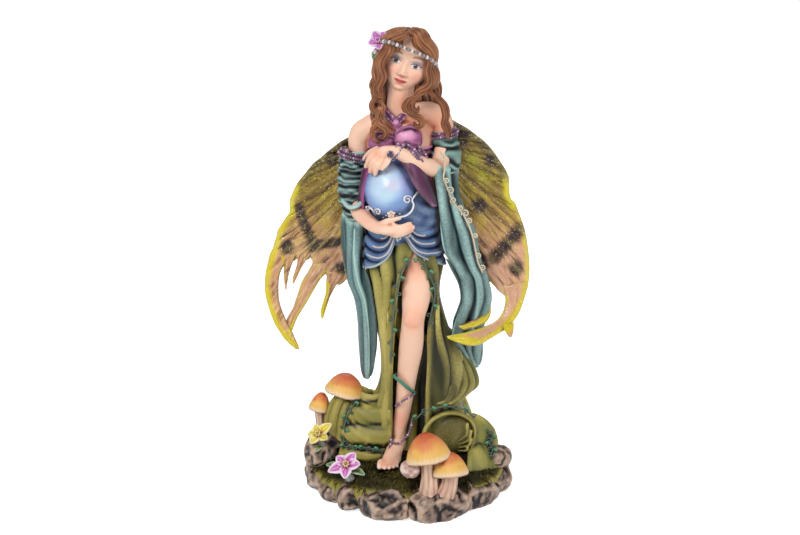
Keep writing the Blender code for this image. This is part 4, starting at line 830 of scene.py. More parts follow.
def build_skin(size):
    """Neck, shoulders, arms, hands, leg and foot, fused from overlapping forms and painted by place: blush, and painted
    shade at the neck and shoulder and under the foot.
    """
    heap = Heap()
    heap.skin(ovals([(-4, 3, 150, 12.5, 8), (-4, 3, 163, 14, 8.2), (-4, 3.5, 171, 15.3, 8.3),
        (-3, 4.5, 175.5, 15.2, 6.8), (-3.4, 4, 180.5, 9.5, 6.0), (-3.6, 3.4, 184.5, 5.2, 4.8)], 40, 48), (0, 0, 0))
    limb(heap, [(-4.3, 4, 176, 6.6), (-3.8, 2.8, 186, 5.9), (-2.2, 1.8, 198, 5.8)])
    limb(heap,
        [(-21.4, 5, 170.8, 5.5), (-15.8, 5, 175.2, 5.5), (-8, 4, 179, 4.9), (0, 4, 181.1, 4.9), (9, 4.4, 181.2, 5.1),
         (15.2, 4.6, 177.6, 5.1)], UP)
    heap.skin(egg((-11.2, -3.6, 169.8), (6.4, 5.6, 6.2)), (0, 0, 0))
    heap.skin(egg((-0.8, -4.4, 171.4), (6.6, 6.0, 6.4)), (0, 0, 0))
    limb(heap, [(-15, 5, 175.7, 4.8), (-21.6, 5, 171.0, 5.3), (-22.8, 5.0, 159.5, 4.5), (-24.2, 4, 141, 4.4)], FRONT)
    limb(heap, [(-24.2, 4, 141, 4.3), (-22.2, -5, 137, 4.1), (-17.4, -13.4, 133.8, 3.3), (-13.4, -17.4, 132.4, 2.9)],
        UP)
    limb(heap, [(-13.8, -17.2, 132.6, 2.6), (-10.5, -19.2, 132.3, 3.2), (-6.6, -20.4, 132.4, 2.9)], UP, 0.8)
    fingers(heap,
            [(-7.8, -19.6, 134.4), (-7.6, -20.2, 133.0), (-7.8, -20.0, 131.6), (-8.2, -19.2, 130.4)],
            [(0.8, -21.0, 135.6), (2.2, -21.2, 133.9), (1.6, -20.6, 132.2), (-0.6, -19.6, 130.8)],
            np.array([0, -1.5, -0.9]), (1.45, 1.5, 1.42, 1.25))
    fingers(heap, [(-12.2, -18.2, 134.6)], [(-3.8, -20.8, 138.0)], np.array([-0.6, -1.0, 0.6]), (1.5,))
    limb(heap, [(10, 5, 179, 4.7), (15.3, 4.6, 176.6, 5.0), (16.0, 3, 165.5, 4.6), (14.4, -4.0, 156.4, 4.4)], FRONT)
    limb(heap,
        [(14.6, -4.6, 156.2, 4.2), (6.5, -13.0, 160.6, 3.9), (-3.6, -18.0, 167.0, 2.9), (-7.2, -19.4, 168.2, 2.8)], UP)
    limb(heap, [(-7.2, -19.4, 168.0, 2.8), (-10.6, -19.4, 167.6, 3.2), (-13.0, -18.2, 166.2, 3.0)], FRONT, 0.75)
    fingers(heap,
            [(-11.4, -20.4, 165.2), (-12.8, -19.8, 166.6), (-13.8, -18.6, 168.0), (-14.0, -16.8, 169.0)],
            [(-14.8, -17.6, 157.4), (-17.2, -16.2, 158.2), (-19.2, -14.0, 160.0), (-20.2, -11.4, 162.8)],
            np.array([-0.9, -1.5, 0.6]), (1.5, 1.5, 1.45, 1.25))
    fingers(heap, [(-8.2, -20.4, 166.4)], [(-11.6, -20.6, 160.6)], np.array([0.3, -1.0, -0.2]), (1.45,))
    limb(heap,
        [(5.0, -2, 124, 7.6), (3.9, -10.0, 100, 6.9), (2.4, -14.0, 88.5, 5.3), (1.4, -10.8, 74, 5.7),
         (-0.2, -8.6, 60, 4.8), (-2.2, -7.2, 42, 3.9), (-4.2, -7.2, 30.5, 3.5), (-4.3, -7.5, 23.5, 3.6)], FRONT)
    heap.skin(egg((2.2, -17.2, 89.2), (4.2, 3.0, 4.8)), (0, 0, 0))
    limb(heap,
        [(-3.8, -3, 22.6, 3.3), (-4.8, -8.5, 24.6, 3.9), (-6.6, -15.5, 22.9, 4.0), (-8.6, -21.5, 20.9, 3.6),
         (-9.4, -25.0, 20.0, 2.9)], UP, 0.8)
    limb(heap, [(-6.0, -15, 21.6, 3.4), (-7.4, -20, 20.5, 4.2), (-8.8, -23.6, 19.8, 4.2)], UP, 0.5)
    toes = [((-12.4, -22.8, 20.2), (-13.4, -27.6, 20.0), 1.65), ((-10.2, -23.6, 20.1), (-10.9, -28.4, 19.7), 1.2),
        ((-8.4, -23.4, 20.0), (-8.7, -28.0, 19.6), 1.1),
            ((-6.8, -22.8, 19.9), (-6.7, -26.9, 19.5), 1.05), ((-5.4, -21.8, 19.8), (-4.9, -25.4, 19.4), 1.0)]
    for root, tip, radius in toes:
        fingers(heap, [root], [tip], np.array([0, 0, 0.9]), (radius * 1.12,))
    mesh = fused(heap, 0.68, 3)
    points = points_of(mesh)
    # Pink blush in clouds and on knees, toes, hands and elbows; the spots at the left shoulder, the base of the neck
    # and the neck are painted warm shade.
    blush_and_shade = ramp(noise(points, 11.0, 2), 0.0, 0.9) * 0.3
    spots = ((2.2, -19, 89, 5.0), (-10, -27, 19.5, 4.5), (-17, -16, 159, 3.0), (1.6, -21, 134, 2.6), (-24, 3, 141, 5.0),
        (14, -6, 155.5, 4.5), (-4.5, -4, 176, 5.0), (-13.4, -19, 167, 3.0),
             (12, -1, 176, 7.0), (3, -3, 178, 6.0), (-2, -2, 187, 5.0), (-24, -1, 146, 4.0), (3, -12, 112, 5.0),
              (-4, -11, 36, 5.0))
    for x, y, z, wide in spots:
        blush_and_shade = np.maximum(blush_and_shade, 0.75 * np.exp(-(((points - (x, y, z)) ** 2).sum(axis=1)) / wide**2))
    shade = mix(size.skin_colour, (0.96, 0.62, 0.49), blush_and_shade)
    nails = np.zeros(len(points))
    for x, y, z in ((-13.4, -28.4, 21.0), (-10.9, -29.0, 20.6), (-8.7, -28.6, 20.4), (-6.7, -27.5, 20.2),
        (-4.9, -26.0, 20.0)):
        nails = np.maximum(nails, np.exp(-(((points - (x, y, z)) ** 2).sum(axis=1)) / 0.8))
    shade = mix(shade, (0.99, 0.86, 0.80), ramp(nails, 0.3, 0.6))
    # Painted shadow: the underside of the foot darkens where it rests on the moss.
    under = (1 - ramp(points[:, 2], 18.2, 19.4)) * ramp(-points[:, 1], 8, 12)
    shade = mix(shade, (0.24, 0.12, 0.26), under)
    finish = finish_of("skin_paint", wash_and_shade=(0.74, 0.44, 0.33), wash_and_shade_share=0.65, brush=(1.0, 0.93, 0.86),
        brush_share=0.35, mottle=0.05, bump=0.02)
    return dressed("skin", mesh, shade, finish, 6)


def build_head(size):
    """The head: a ball stretched and narrowed to the jaw, with brow, nose, lips and chin as soft hills on its front,
    and painted eyes and lips."""
    rings, sides = 116, 150
    rise = np.radians(np.linspace(-89.3, 89.3, rings))[:, None]
    turn = np.linspace(-math.pi, math.pi, sides, endpoint=False)[None]
    turn = turn - 0.55 * np.sin(turn)
    x = HEAD_RADII[0] * np.cos(rise) * np.sin(turn)
    y = -HEAD_RADII[1] * np.cos(rise) * np.cos(turn)
    z = HEAD_RADII[2] * np.sin(rise) + 0 * turn
    jaw = ramp(-z, 1.5, 12.5)
    x = x * (1 - 0.30 * jaw)
    y = np.where(y > 0, y * (1 - 0.35 * jaw), y * (1 - 0.05 * jaw))
    front = ramp(np.cos(turn) + 0 * z, 0.15, 0.6)
    flat = 0.9 * ramp(-y, 6.0, 10.5)

    def hill(at, up, wide, high):
        made = np.exp(-(((x - at) / wide) ** 2) - ((z - up) / high) ** 2)
        return made + np.exp(-(((x + at) / wide) ** 2) - ((z - up) / high) ** 2) if at else made

    out = -flat
    out = out + 0.45 * hill(3.6, 2.9, 2.4, 1.0) - 1.15 * hill(3.8, 0.3, 2.3, 1.5) + 0.95 * hill(3.8, -0.15, 1.7, 0.95)
    bridge = np.exp(-((x / (0.95 + 0.14 * np.clip(-z, 0, 5))) ** 2)) * ramp(z, -5.2, -4.2) * (1 - ramp(z, 0.5, 3.0))
    out = out + bridge * (0.85 + 0.42 * np.clip(-z, 0, 4.5)) + 0.55 * hill(0, -4.2, 1.05, 0.8) + 0.75 * hill(1.35, -4.5,
        0.6, 0.6)
    out = out - 0.35 * hill(0, -6.0, 0.5, 0.5) + 0.75 * hill(0, -7.6, 2.6, 1.6)
    out = out + 0.42 * hill(0.8, -7.0, 0.9, 0.42) + 0.5 * hill(0, -8.15, 1.4,
        0.5) - 0.45 * np.exp(-((x / 2.2) ** 4) - ((z + 7.55 - 0.03 * x * x) / 0.17) ** 2)
    out = out - 0.5 * hill(0, -9.5, 1.8, 0.6) + 1.25 * hill(0, -11.2, 2.3, 1.5) + 0.8 * hill(4.6, -3.6, 2.6, 2.6)
    lid = np.sqrt(np.clip(1 - ((np.abs(x) - 3.85) / 2.0) ** 2, 0, 1))
    upper, lower = -0.1 + 1.05 * lid, -0.1 - 0.75 * lid
    out = out + 0.22 * np.exp(-(((z - upper - 0.28) / 0.26) ** 2)) * (lid > 0.05) + 0.10 * np.exp(-(((z - lower
        + 0.22) / 0.22) ** 2)) * (lid > 0.05)
    y = y - out * front
    local = np.stack([x, y, z], axis=-1)

    white = (lid > 0.02) & (z < upper) & (z > lower) & (y < 0)
    shade = np.broadcast_to(np.asarray(size.skin_colour), local.shape)
    shade = mix(shade, (0.95, 0.62, 0.55), np.clip(0.55 * hill(4.9, -3.9, 2.4, 2.0), 0, 1) * front)
    shade = mix(shade, (0.94, 0.64, 0.56),
        np.clip(0.35 * hill(0, -4.4, 1.2, 0.8) + 0.3 * hill(0, -11.6, 2.0, 1.2), 0, 1) * front)
    veil = np.exp(-(((np.abs(x) - 4.1) / 2.2) ** 2) - ((z - 1.5) / 0.75) ** 2) * front
    shade = mix(shade, (0.50, 0.56, 0.66), np.clip(veil * 0.85, 0, 0.8))
    eye = ramp(np.hypot(np.abs(x) - 3.75, (z - 0.08) * 1.02), 0.95, 0.82)
    ball = mix(np.broadcast_to((0.95, 0.94, 0.93), local.shape), (0.32, 0.42, 0.52), eye)
    ball = mix(ball, (0.03, 0.03, 0.05), ramp(np.hypot(np.abs(x) - 3.75, z - 0.08), 0.52, 0.38))
    # A small white dot on each eye, offset the same way on both: a painted reflection of the light.
    ball = mix(ball, (1, 1, 1), ramp(np.hypot(x - np.sign(x) * 3.75 + 0.3, z - 0.42), 0.24, 0.12))
    shade = np.where(white[..., None], ball, shade)
    liner = np.exp(-(((z - upper) / 0.2) ** 2)) * (lid > 0.03) + 0.45 * np.exp(-(((z
        - lower) / 0.14) ** 2)) * (lid > 0.1)
    wink = np.exp(-(((np.abs(x) - 5.9) / 0.55) ** 2) - ((z - 0.15 - 0.3 * (np.abs(x) - 5.6)) / 0.2) ** 2)
    shade = mix(shade, (0.20, 0.12, 0.11), np.clip(liner + wink, 0, 1) * front * 0.95)
    arch = 3.2 + 0.55 * np.cos((np.abs(x) - 4.2) * 0.62)
    brow = np.exp(-(((z - arch) / 0.26) ** 2)) * ramp(np.abs(x), 1.6, 2.4) * (1 - ramp(np.abs(x), 5.6, 6.6))
    shade = mix(shade, (0.50, 0.30, 0.20), np.clip(brow, 0, 1) * front * 0.85)
    middle = -7.55 + 0.03 * x * x
    top_lip = middle + 0.95 - 0.10 * x * x - 0.22 * np.exp(-((x / 0.4) ** 2))
    low_lip = middle - 1.05 + 0.16 * x * x
    mouth = ramp(top_lip - z, -0.05, 0.15) * ramp(z - low_lip, -0.05, 0.2) * (np.abs(x) < 2.6)
    shade = mix(shade, (0.78, 0.30, 0.32), mouth * front)
    shade = mix(shade, (0.45, 0.12, 0.14), np.exp(-(((z - middle) / 0.14) ** 2)) * (np.abs(x) < 2.3) * front)

    scalp = ramp(y, -3.0, -0.5) * ramp(z, -9, -6) + ramp(z, 7.5, 10.0) * ramp(y, -6.5, -3.5)
    shade = mix(shade, (0.38, 0.19, 0.11), np.clip(scalp, 0, 1))
    spun = turn_about_z(local * (1.22, 1.02, 1.10), -6)
    heap = Heap()
    heap.skin(lean_about_y(spun, 18) + HEAD, np.clip(shade, 0, 1))
    finish = finish_of("face_paint", wash_and_shade=(0.74, 0.38, 0.32), wash_and_shade_share=0.35, brush=(1.0, 0.93, 0.87),
        brush_share=0.12, mottle=0.03, bump=0.01)
    return heap.finish("head", finish, rounds=8)


def hair_paint(rib, fine, level):
    """Auburn hair: brown between the strands, copper on them, with golden lights where they cluster."""
    shade = mix((0.30, 0.15, 0.09), (0.50, 0.28, 0.17), ramp(rib * 0.6 + fine * 0.4 + 0.3 * level, 0.1, 0.7))
    shade = mix(shade, (0.66, 0.41, 0.26), ramp(0.6 * rib + 0.4 * fine + 0.35 * level, 0.6, 1.15) * 0.85)
    return mix(shade, (0.86, 0.63, 0.43), ramp(0.5 * rib + 0.5 * fine + 0.5 * level, 0.95, 1.4) * 0.7)


def lock(heap, rows, radius, strands, twist, count=54, sides=26, waves=0.0, up=FRONT, flat=0.62):
    """A lock of hair: a flat oval tube along a curve, tapering to both ends, whose section is ribbed into strands that
    wind round it."""
    path = spread(rows, count)
    t = np.linspace(0, 1, count)
    path = path + np.stack([waves * np.sin(2 * math.pi * t * 3.2), 0 * t, 0 * t], axis=1)
    taper = radius * np.clip(0.6 + 1.2 * t, 0, 1) * np.sqrt(np.clip((1.02 - t) / 0.3, 0.02, 1))
    turn = np.arange(sides) * 2 * math.pi / sides
    wind = turn[None] + twist * t[:, None]
    rib = 0.5 + 0.5 * np.cos(strands * wind + 1.5 * np.sin(7 * t[:, None]))
    fine = 0.5 + 0.5 * np.cos((strands + 5) * wind + 3 * np.sin(5 * t[:, None] + strands))
    broad = 0.5 + 0.5 * np.cos(3 * wind)
    form = tube(path, taper[:, None] * (0.86 + 0.06 * rib + 0.07 * fine + 0.10 * broad), sides, up, flat)
    share, edge = (np.concatenate([np.repeat(part[:1], 3, axis=0), part,
        np.repeat(part[-1:], 3, axis=0)]) for part in (rib, fine))
    heap.skin(form, hair_paint(share, edge, noise(form, 3.6, 3)))


def build_hair(size):
    """The hair: a cap of combed grooves over the skull, parted in the middle, and wavy locks that end in curls."""
    heap = Heap()
    cap = egg(np.zeros(3), (1, 1, 1), 56, 200)
    way = np.arctan2(cap[..., 1], cap[..., 0])
    comb = 5 * cap[..., 2] + 1.5 * np.sin(3 * way)
    groove = 0.5 + 0.5 * np.cos(34 * way + comb)
    fine = 0.5 + 0.5 * np.cos(71 * way + 2 * comb)
    wave = 0.5 + 0.5 * np.cos(11 * way + 2.5 * cap[..., 2])
    parting = np.exp(-((cap[..., 0] / 0.05) ** 2)) * (cap[..., 2] > 0.2)
    crown = cap * (11.7, 10.8, 12.3) * (1 + 0.018 * groove + 0.008 * fine + 0.03 * wave - 0.04 * parting)[..., None]
    crown = lean_about_y(crown, 12) + (-0.9, 5.2, 207.0)
    heap.skin(crown, hair_paint(groove * 0.6 + wave * 0.4, fine, noise(crown, 4.0, 3)))
    for x in (-5.4, 4.4):
        fore = egg(np.zeros(3), (1, 1, 1), 24, 56)
        way = np.arctan2(fore[..., 1], fore[..., 0])
        groove = 0.5 + 0.5 * np.cos(17 * way + 4 * fore[..., 2])
        fore = fore * (4.2, 4.6, 4.8) * (1 + 0.03 * groove)[..., None] + (x, -3.4, 213.6)
        heap.skin(fore, hair_paint(groove, groove, noise(fore, 4.0, 3)))
    fall = ovals([(-2, 9, 160, 4.0, 1.6), (-2, 9, 166, 9.0, 3.6), (-1.5, 8.6, 173, 12.4, 5.0), (-1, 8, 184, 12.6, 5.6),
        (-0.8, 7, 196, 12.0, 6.8), (-0.8, 6.2, 206, 11.6, 8.4)], 54, 130)
    turn = np.arange(130) * 2 * math.pi / 130
    level = np.linspace(0, 1, 54)[:, None]
    ribs = 0.5 + 0.5 * np.cos(17 * turn + 1.6 * np.sin(9 * level))
    strand = 0.5 + 0.5 * np.cos(43 * turn + 4.4 * np.sin(9 * level))
    fall = widened(fall, 0.95 + 0.07 * ribs + 0.02 * strand)
    heap.skin(fall, hair_paint(ribs, strand, noise(fall, 5.0, 3)))
    left = [
        ([(408.5, 33, -9.4), (401, 37.6, -11.4), (392, 44.6, -11.6), (385.6, 54, -10.8), (382.0, 66, -9.4),
         (380.4, 78, -7.6), (379.6, 88, -6.6), (377.6, 97, -6)], 1.8),
        ([(407, 31, -7.6), (398, 34, -10.2), (388.4, 41, -10.4), (382.4, 52, -9.4), (379.4, 65, -8.0),
         (377.6, 78, -6.6), (376.2, 89, -5.8), (375.6, 97, -6)], 1.9),
        ([(406, 29.5, -4), (396, 32.6, -7), (387, 39, -8), (381, 50, -7.8), (377.6, 64, -6.5), (375.4, 77, -5.5),
         (373.4, 87, -5), (375.4, 94.6, -5), (380, 98, -6)], 2.1),
        ([(404, 29.4, 0), (394, 31.4, -2), (385, 38.6, -3), (380, 49, -3), (377.6, 62, -2.5), (375, 75, -2),
         (372.6, 86, -2), (375, 95, -3)], 2.1),
        ([(398, 32, 4), (388, 38, 3), (382, 50, 2), (379, 66, 1), (376, 82, 0), (376, 94, -1)], 2.3),
        ([(381, 93, -4), (375, 98.6, -5), (371.8, 105, -5.6), (374.6, 111.4, -6.4), (380.6, 110.6, -7.4),
         (380.4, 117, -8), (374.4, 122.6, -8.6), (377.6, 129.4, -9.8), (383.4, 128.4, -10.4)], 1.6),
        ([(380, 100, -5), (383.4, 108, -7), (378.4, 116, -8.5), (379.4, 124, -10), (385.6, 130, -11.4),
         (384.6, 137, -12), (377.6, 138.6, -11)], 1.6),
        ([(377, 104, -3), (373, 112, -4.6), (374.4, 121, -6.6), (380, 124, -9), (385.4, 128, -10.6),
         (387.4, 134, -11.6)], 1.4),
        ([(382, 113, -8), (377.6, 122, -10), (372.6, 130, -10.4), (373.6, 138, -11), (379, 142.6, -12.6)], 1.2),
    ]
    right = [
        ([(409.5, 33, -9.4), (415, 37.6, -11.2), (422, 46, -11.2), (427.4, 56, -10), (429.4, 67, -8.4), (429, 77, -7),
         (425.6, 86, -6.4), (419.6, 92, -6.6), (412, 96.6, -7.4)], 1.9),
        ([(411, 31, -7.6), (418.6, 35.6, -10), (426, 45, -10), (430.6, 57, -8.6), (432, 69, -7.2), (431, 80, -6.2),
         (428.6, 89, -5.6), (424, 96, -6.4)], 2.0),
        ([(413, 29.4, -4), (421.6, 33, -7), (428.6, 43, -8), (432.6, 56, -7), (434, 68, -6), (433.4, 80, -5),
         (432, 90, -4.6), (434, 97, -5)], 2.1),
        ([(416, 29.6, 0), (424.6, 33.6, -2), (431, 43, -3), (434, 56, -3), (435, 68, -2.5), (435, 80, -2),
         (434.6, 90, -2), (438, 98, -3)], 2.1),
        ([(420, 32, 4), (429, 39, 3), (433.4, 52, 2), (435, 68, 1), (434.6, 84, 0), (437, 96, -1)], 2.2),
        ([(435, 91, -2.6), (439.6, 98, -3.4), (444.4, 105, -4), (446.4, 113, -5), (445.0, 121, -6), (448.4, 128, -6),
         (450.4, 136, -6)], 1.7),
        ([(433, 93, -4), (438.6, 100, -5), (443, 107, -6), (444.6, 116, -7), (443.4, 124, -7.6), (446.6, 132, -8),
         (448.6, 139, -7.6)], 1.3),
        ([(424, 93, -6), (416.4, 97, -7.4), (410, 101, -8), (407, 107, -8.4), (409.4, 113, -9.4), (415, 116, -10),
         (420.6, 119, -10), (421.4, 125, -9.6), (416.4, 126.6, -9.4), (414, 122, -9.4)], 1.5),
        ([(421, 97, -6.4), (414, 101, -8), (412.6, 108, -9), (417, 111, -10), (418.6, 106, -10)], 1.2),
        ([(414, 97, -7), (407, 101, -7.6), (403.6, 107, -7.6), (405, 113, -8.6)], 1.1),
    ]
    for k, (rows, radius) in enumerate(left + right):
        rows = np.array(rows, float)
        rows[:, 0] -= (rows[:, 0] - 406.5) * 0.035 * np.clip((106 - rows[:, 1]) / 14, 0, 1)
        lock(heap, in_view(rows), radius, 6 + k % 3, (1.4 if k % 2 else -1.6), waves=0.75 if radius >= 1.8 else 0.0)
    back = [
        ((-9, 11, 213), (-11, 12, 200), (-11, 12.4, 186), (-13, 12, 174), (-9, 11, 164)),
        ((-3, 12.6, 216), (-5, 13.6, 202), (-6, 13.4, 188), (-4, 13.2, 175), (-6, 12, 162)),
        ((3, 12.6, 216), (3, 13.6, 202), (2, 13.6, 188), (0, 13.2, 175), (1, 12, 161)),
        ((8, 11, 213), (9.4, 12, 200), (9, 12.2, 186), (10, 12, 174), (6, 11, 164)),
        ((10, 6, 208), (11.6, 8, 194), (13, 8, 182), (12, 9, 171)),
        ((-11, 6, 208), (-13, 8, 196), (-13.4, 8, 184), (-13.6, 8.6, 172)),
    ]
    for k, rows in enumerate(back):
        lock(heap, rows, 3.0, 8, 1.6 if k % 2 else -1.4, 54, 40, 0.7, FRONT, 0.7)
    finish = finish_of("hair_paint", wash_and_shade=(0.12, 0.05, 0.03), wash_and_shade_share=1.25, brush=(0.92, 0.66, 0.46),
        brush_share=0.6, mottle=0.1, bump=0.04)
    return heap.finish("hair", finish, rounds=4)


def picture_place(points):
    """Where the camera sees each point, as across and down in the picture."""
    focal = CAMERA_LENS / SENSOR_WIDTH * PICTURE[0]
    away = points - np.array(CAMERA_PLACE)
    ahead = away[..., 1] * math.cos(CAMERA_PITCH) - away[..., 2] * math.sin(CAMERA_PITCH)
    lift = away[..., 1] * math.sin(CAMERA_PITCH) + away[..., 2] * math.cos(CAMERA_PITCH)
    return PICTURE[0] / 2 + focal * away[..., 0] / ahead, PICTURE[1] / 2 - focal * lift / ahead


def line_distance(u, v, rows):
    """The distance in the picture from each place to the nearest of the straight lines through the rows."""
    best = np.full(np.shape(u), 1e9)
    for (a, b), (c, d) in zip(rows, rows[1:]):
        span = max((c - a) ** 2 + (d - b) ** 2, 1e-9)
        share = np.clip(((u - a) * (c - a) + (v - b) * (d - b)) / span, 0, 1)
        best = np.minimum(best, np.hypot(u - a - share * (c - a), v - b - share * (d - b)))
    return best


def on_belly(rows, out=0.0):
    """Points on the front of the belly at these places of the picture."""
    rows = np.asarray(rows, float)
    depth = np.full(len(rows), -20.0)
    radii = np.array(BELLY_RADII) + out
    for _ in range(12):
        points = in_view(np.column_stack([rows, depth]))
        flat = 1 - ((points[:, 0] - BELLY[0]) / radii[0]) ** 2 - ((points[:, 2] - BELLY[2]) / radii[2]) ** 2
        depth = BELLY[1] - radii[1] * np.sqrt(np.maximum(flat, 0.02))
    return in_view(np.column_stack([rows, depth]))


def spiral(centre, radius, start, turns, count=40):
    """Places in the picture along a spiral that winds in to its centre."""
    t = np.linspace(0, 1, count)
    angle = math.radians(start) + 2 * math.pi * turns * t
    reach = radius * (1 - 0.8 * t)
    return np.stack([centre[0] + reach * np.cos(angle), centre[1] + reach * np.sin(angle)], axis=1)


def curl(centre, y, radius, start, turns, count=18):
    """Points along a spiral in the picture, all at one depth."""
    line = spiral(centre, radius, start, turns, count)
    return in_view(np.column_stack([line, np.full(len(line), y)]))


SILVER = (0.86, 0.86, 0.88)
CREAM = (0.86, 0.80, 0.68)


def build_bodice(size):
    """The bodice: a ruched wrap round the chest with two cups, a pointed flap open over the belly, and the halter
    bands."""
    heap = Heap()
    wrap = ovals([(-4, 4, 138, 15.0, 8.4), (-4, 3.4, 148, 13.4, 8.6), (-4, 3, 156, 13.8, 8.8),
        (-4, 3.0, 162, 14.6, 8.9), (-3.8, 3.2, 166.5, 14.9, 8.7)], 54, 96)
    turn = np.arange(96) * 2 * math.pi / 96
    level = wrap[..., 2]
    ruche = 0.5 + 0.5 * np.sin(1.9 * level + 2.2 * np.sin(turn) + 0.8 * np.sin(5 * turn))
    wrap = widened(wrap, 1 + 0.035 * ruche)
    # Lighter on the ruches' ridges and darker in their creases: painted light and shade.
    heap.skin(wrap, mix(size.bodice_dark, size.bodice_colour, ramp(ruche, 0.2, 0.9)))
    for middle, radii, pale in (((-11.2, -4.0, 169.0), (6.8, 6.2, 6.3), 0.5),
        ((-0.6, -4.9, 170.8), (7.0, 6.8, 6.7), 1.0)):
        cup = egg(middle, radii, 40, 54)
        way = unit(cup - middle)
        pleat = 0.5 + 0.5 * np.cos(9 * np.arctan2(way[..., 2], way[..., 0]) + 3 * way[..., 0])
        cup = cup + way * (0.22 * pleat)[..., None]
        # Each cup is darker below and lighter above and in front, with a pale pink painted highlight where it faces the
        # light, half as strong on the first cup.
        painted_highlight = ramp(way @ unit(np.array([-0.15, -0.75, 0.65])), 0.45, 0.98)
        heap.skin(cup, mix(mix(size.bodice_dark, size.bodice_colour, ramp(way[..., 2]
            - way[..., 1], -0.6, 0.7)), (0.93, 0.66, 0.80), painted_highlight * pale))
    flap = patch(in_view([
        [(396, 158, -13), (403, 160, -17), (411, 160, -18), (420, 163, -15), (428, 168, -9)],
        [(405, 169, -18.5), (409, 170, -19.5), (415, 171, -19.5), (423, 173, -15.5), (431, 176, -9)],
        [(412, 182, -19.5), (415, 183, -20.2), (421, 184, -19), (428, 185, -14.5), (435, 188, -9)],
        [(420, 195, -17.5), (423, 195, -18), (428, 196, -17), (433, 197, -13.5), (437, 199, -9.6)],
        [(432, 206, -14), (433, 206, -14.4), (434.5, 207, -14.2), (436, 207, -12.6), (437, 206, -10.6)],
    ]), 54, 30)
    s = np.abs(np.linspace(-1, 1, 30))[None]
    crease = 0.5 + 0.5 * np.cos(math.pi * 2.2 * s)
    flap = flap - facing(flap) * (0.35 * crease)[..., None]
    shade = mix(mix((0.17, 0.04, 0.14), (0.34, 0.09, 0.28), ramp(crease + 0 * flap[..., 0], 0.2, 1.0)),
        (0.62, 0.22, 0.50), ramp(s + 0 * flap[..., 0], 0.72, 0.95))
    heap.sheet(flap, 1.5, shade, lip=0.9)
    strip = patch(in_view([
        [(372, 164, -9), (368, 166, -8), (362, 168, -5)],
        [(368, 176, -11), (365, 178, -9.5), (361, 180, -6)],
        [(365, 190, -11.5), (362.5, 191, -9.6), (359, 192, -6)],
        [(364, 205, -10), (361.5, 206, -8.4), (359, 206, -5)],
        [(366, 216, -8.6), (363, 216, -7), (361, 216, -4)],
    ]), 50, 20)
    heap.sheet(strip, 1.4,
        mix(size.bodice_dark, (0.60, 0.22, 0.50),
            ramp(np.linspace(1, 0, 20)[None] + 0 * strip[..., 0], 0.3, 0.9)), lip=0.8)
    for rows in (
        [(381, 105, 5), (385, 111, 0.6), (390, 117, -3.0), (396, 122.5, -4.8)],
        [(408, 104, 5), (406, 111, 0.6), (402, 117, -3.0), (396, 122.5, -4.8)],
    ):
        path = spread(in_view(rows), 40)
        heap.skin(tube(path, 1.75, 18, FRONT, 0.45), (0.26, 0.08, 0.24))
        for shift in (-1.05, 1.05):
            side = unit(np.cross(np.gradient(path, axis=0), FRONT))
            heap.beads(path + side * shift + FRONT * 0.75, 0.52,
                [(0.80, 0.45, 0.66), (0.95, 0.88, 0.92), (0.55, 0.22, 0.50)])
    knot = in_view([(396, 123, -5.6), (398, 129, -6.8), (397, 136, -8.6)])
    heap.skin(tube(spread(knot, 24), np.interp(np.linspace(0, 1, 24), (0, 0.25, 0.6, 1), (1.5, 2.2, 1.6, 0.4)), 16,
        FRONT, 0.5), (0.45, 0.14, 0.36))
    heap.skin(egg(in_view([(396, 123, -6.4)])[0], (1.5, 1.1, 1.4), 12, 16), (0.85, 0.55, 0.74))
    for rows in ([(396, 136, -8), (401, 130, -9.6), (408, 126.5, -10), (416, 128, -8.4)],
        [(395, 138, -8), (388, 136, -9), (380, 136, -8)],
                 [(397, 138, -9), (402, 144, -11), (410, 147.5, -11), (417, 146, -9)]):
        path = spread(in_view(rows), 40)
        heap.skin(tube(path, 0.7, 10), (0.38, 0.12, 0.32))
    finish = finish_of("bodice_paint", wash_and_shade=(0.12, 0.02, 0.09), wash_and_shade_share=1.3, brush=(0.90, 0.62, 0.80),
        brush_share=0.4, mottle=0.15, bump=0.04, coat=0.3)
    return heap.finish("bodice", finish, rounds=6)


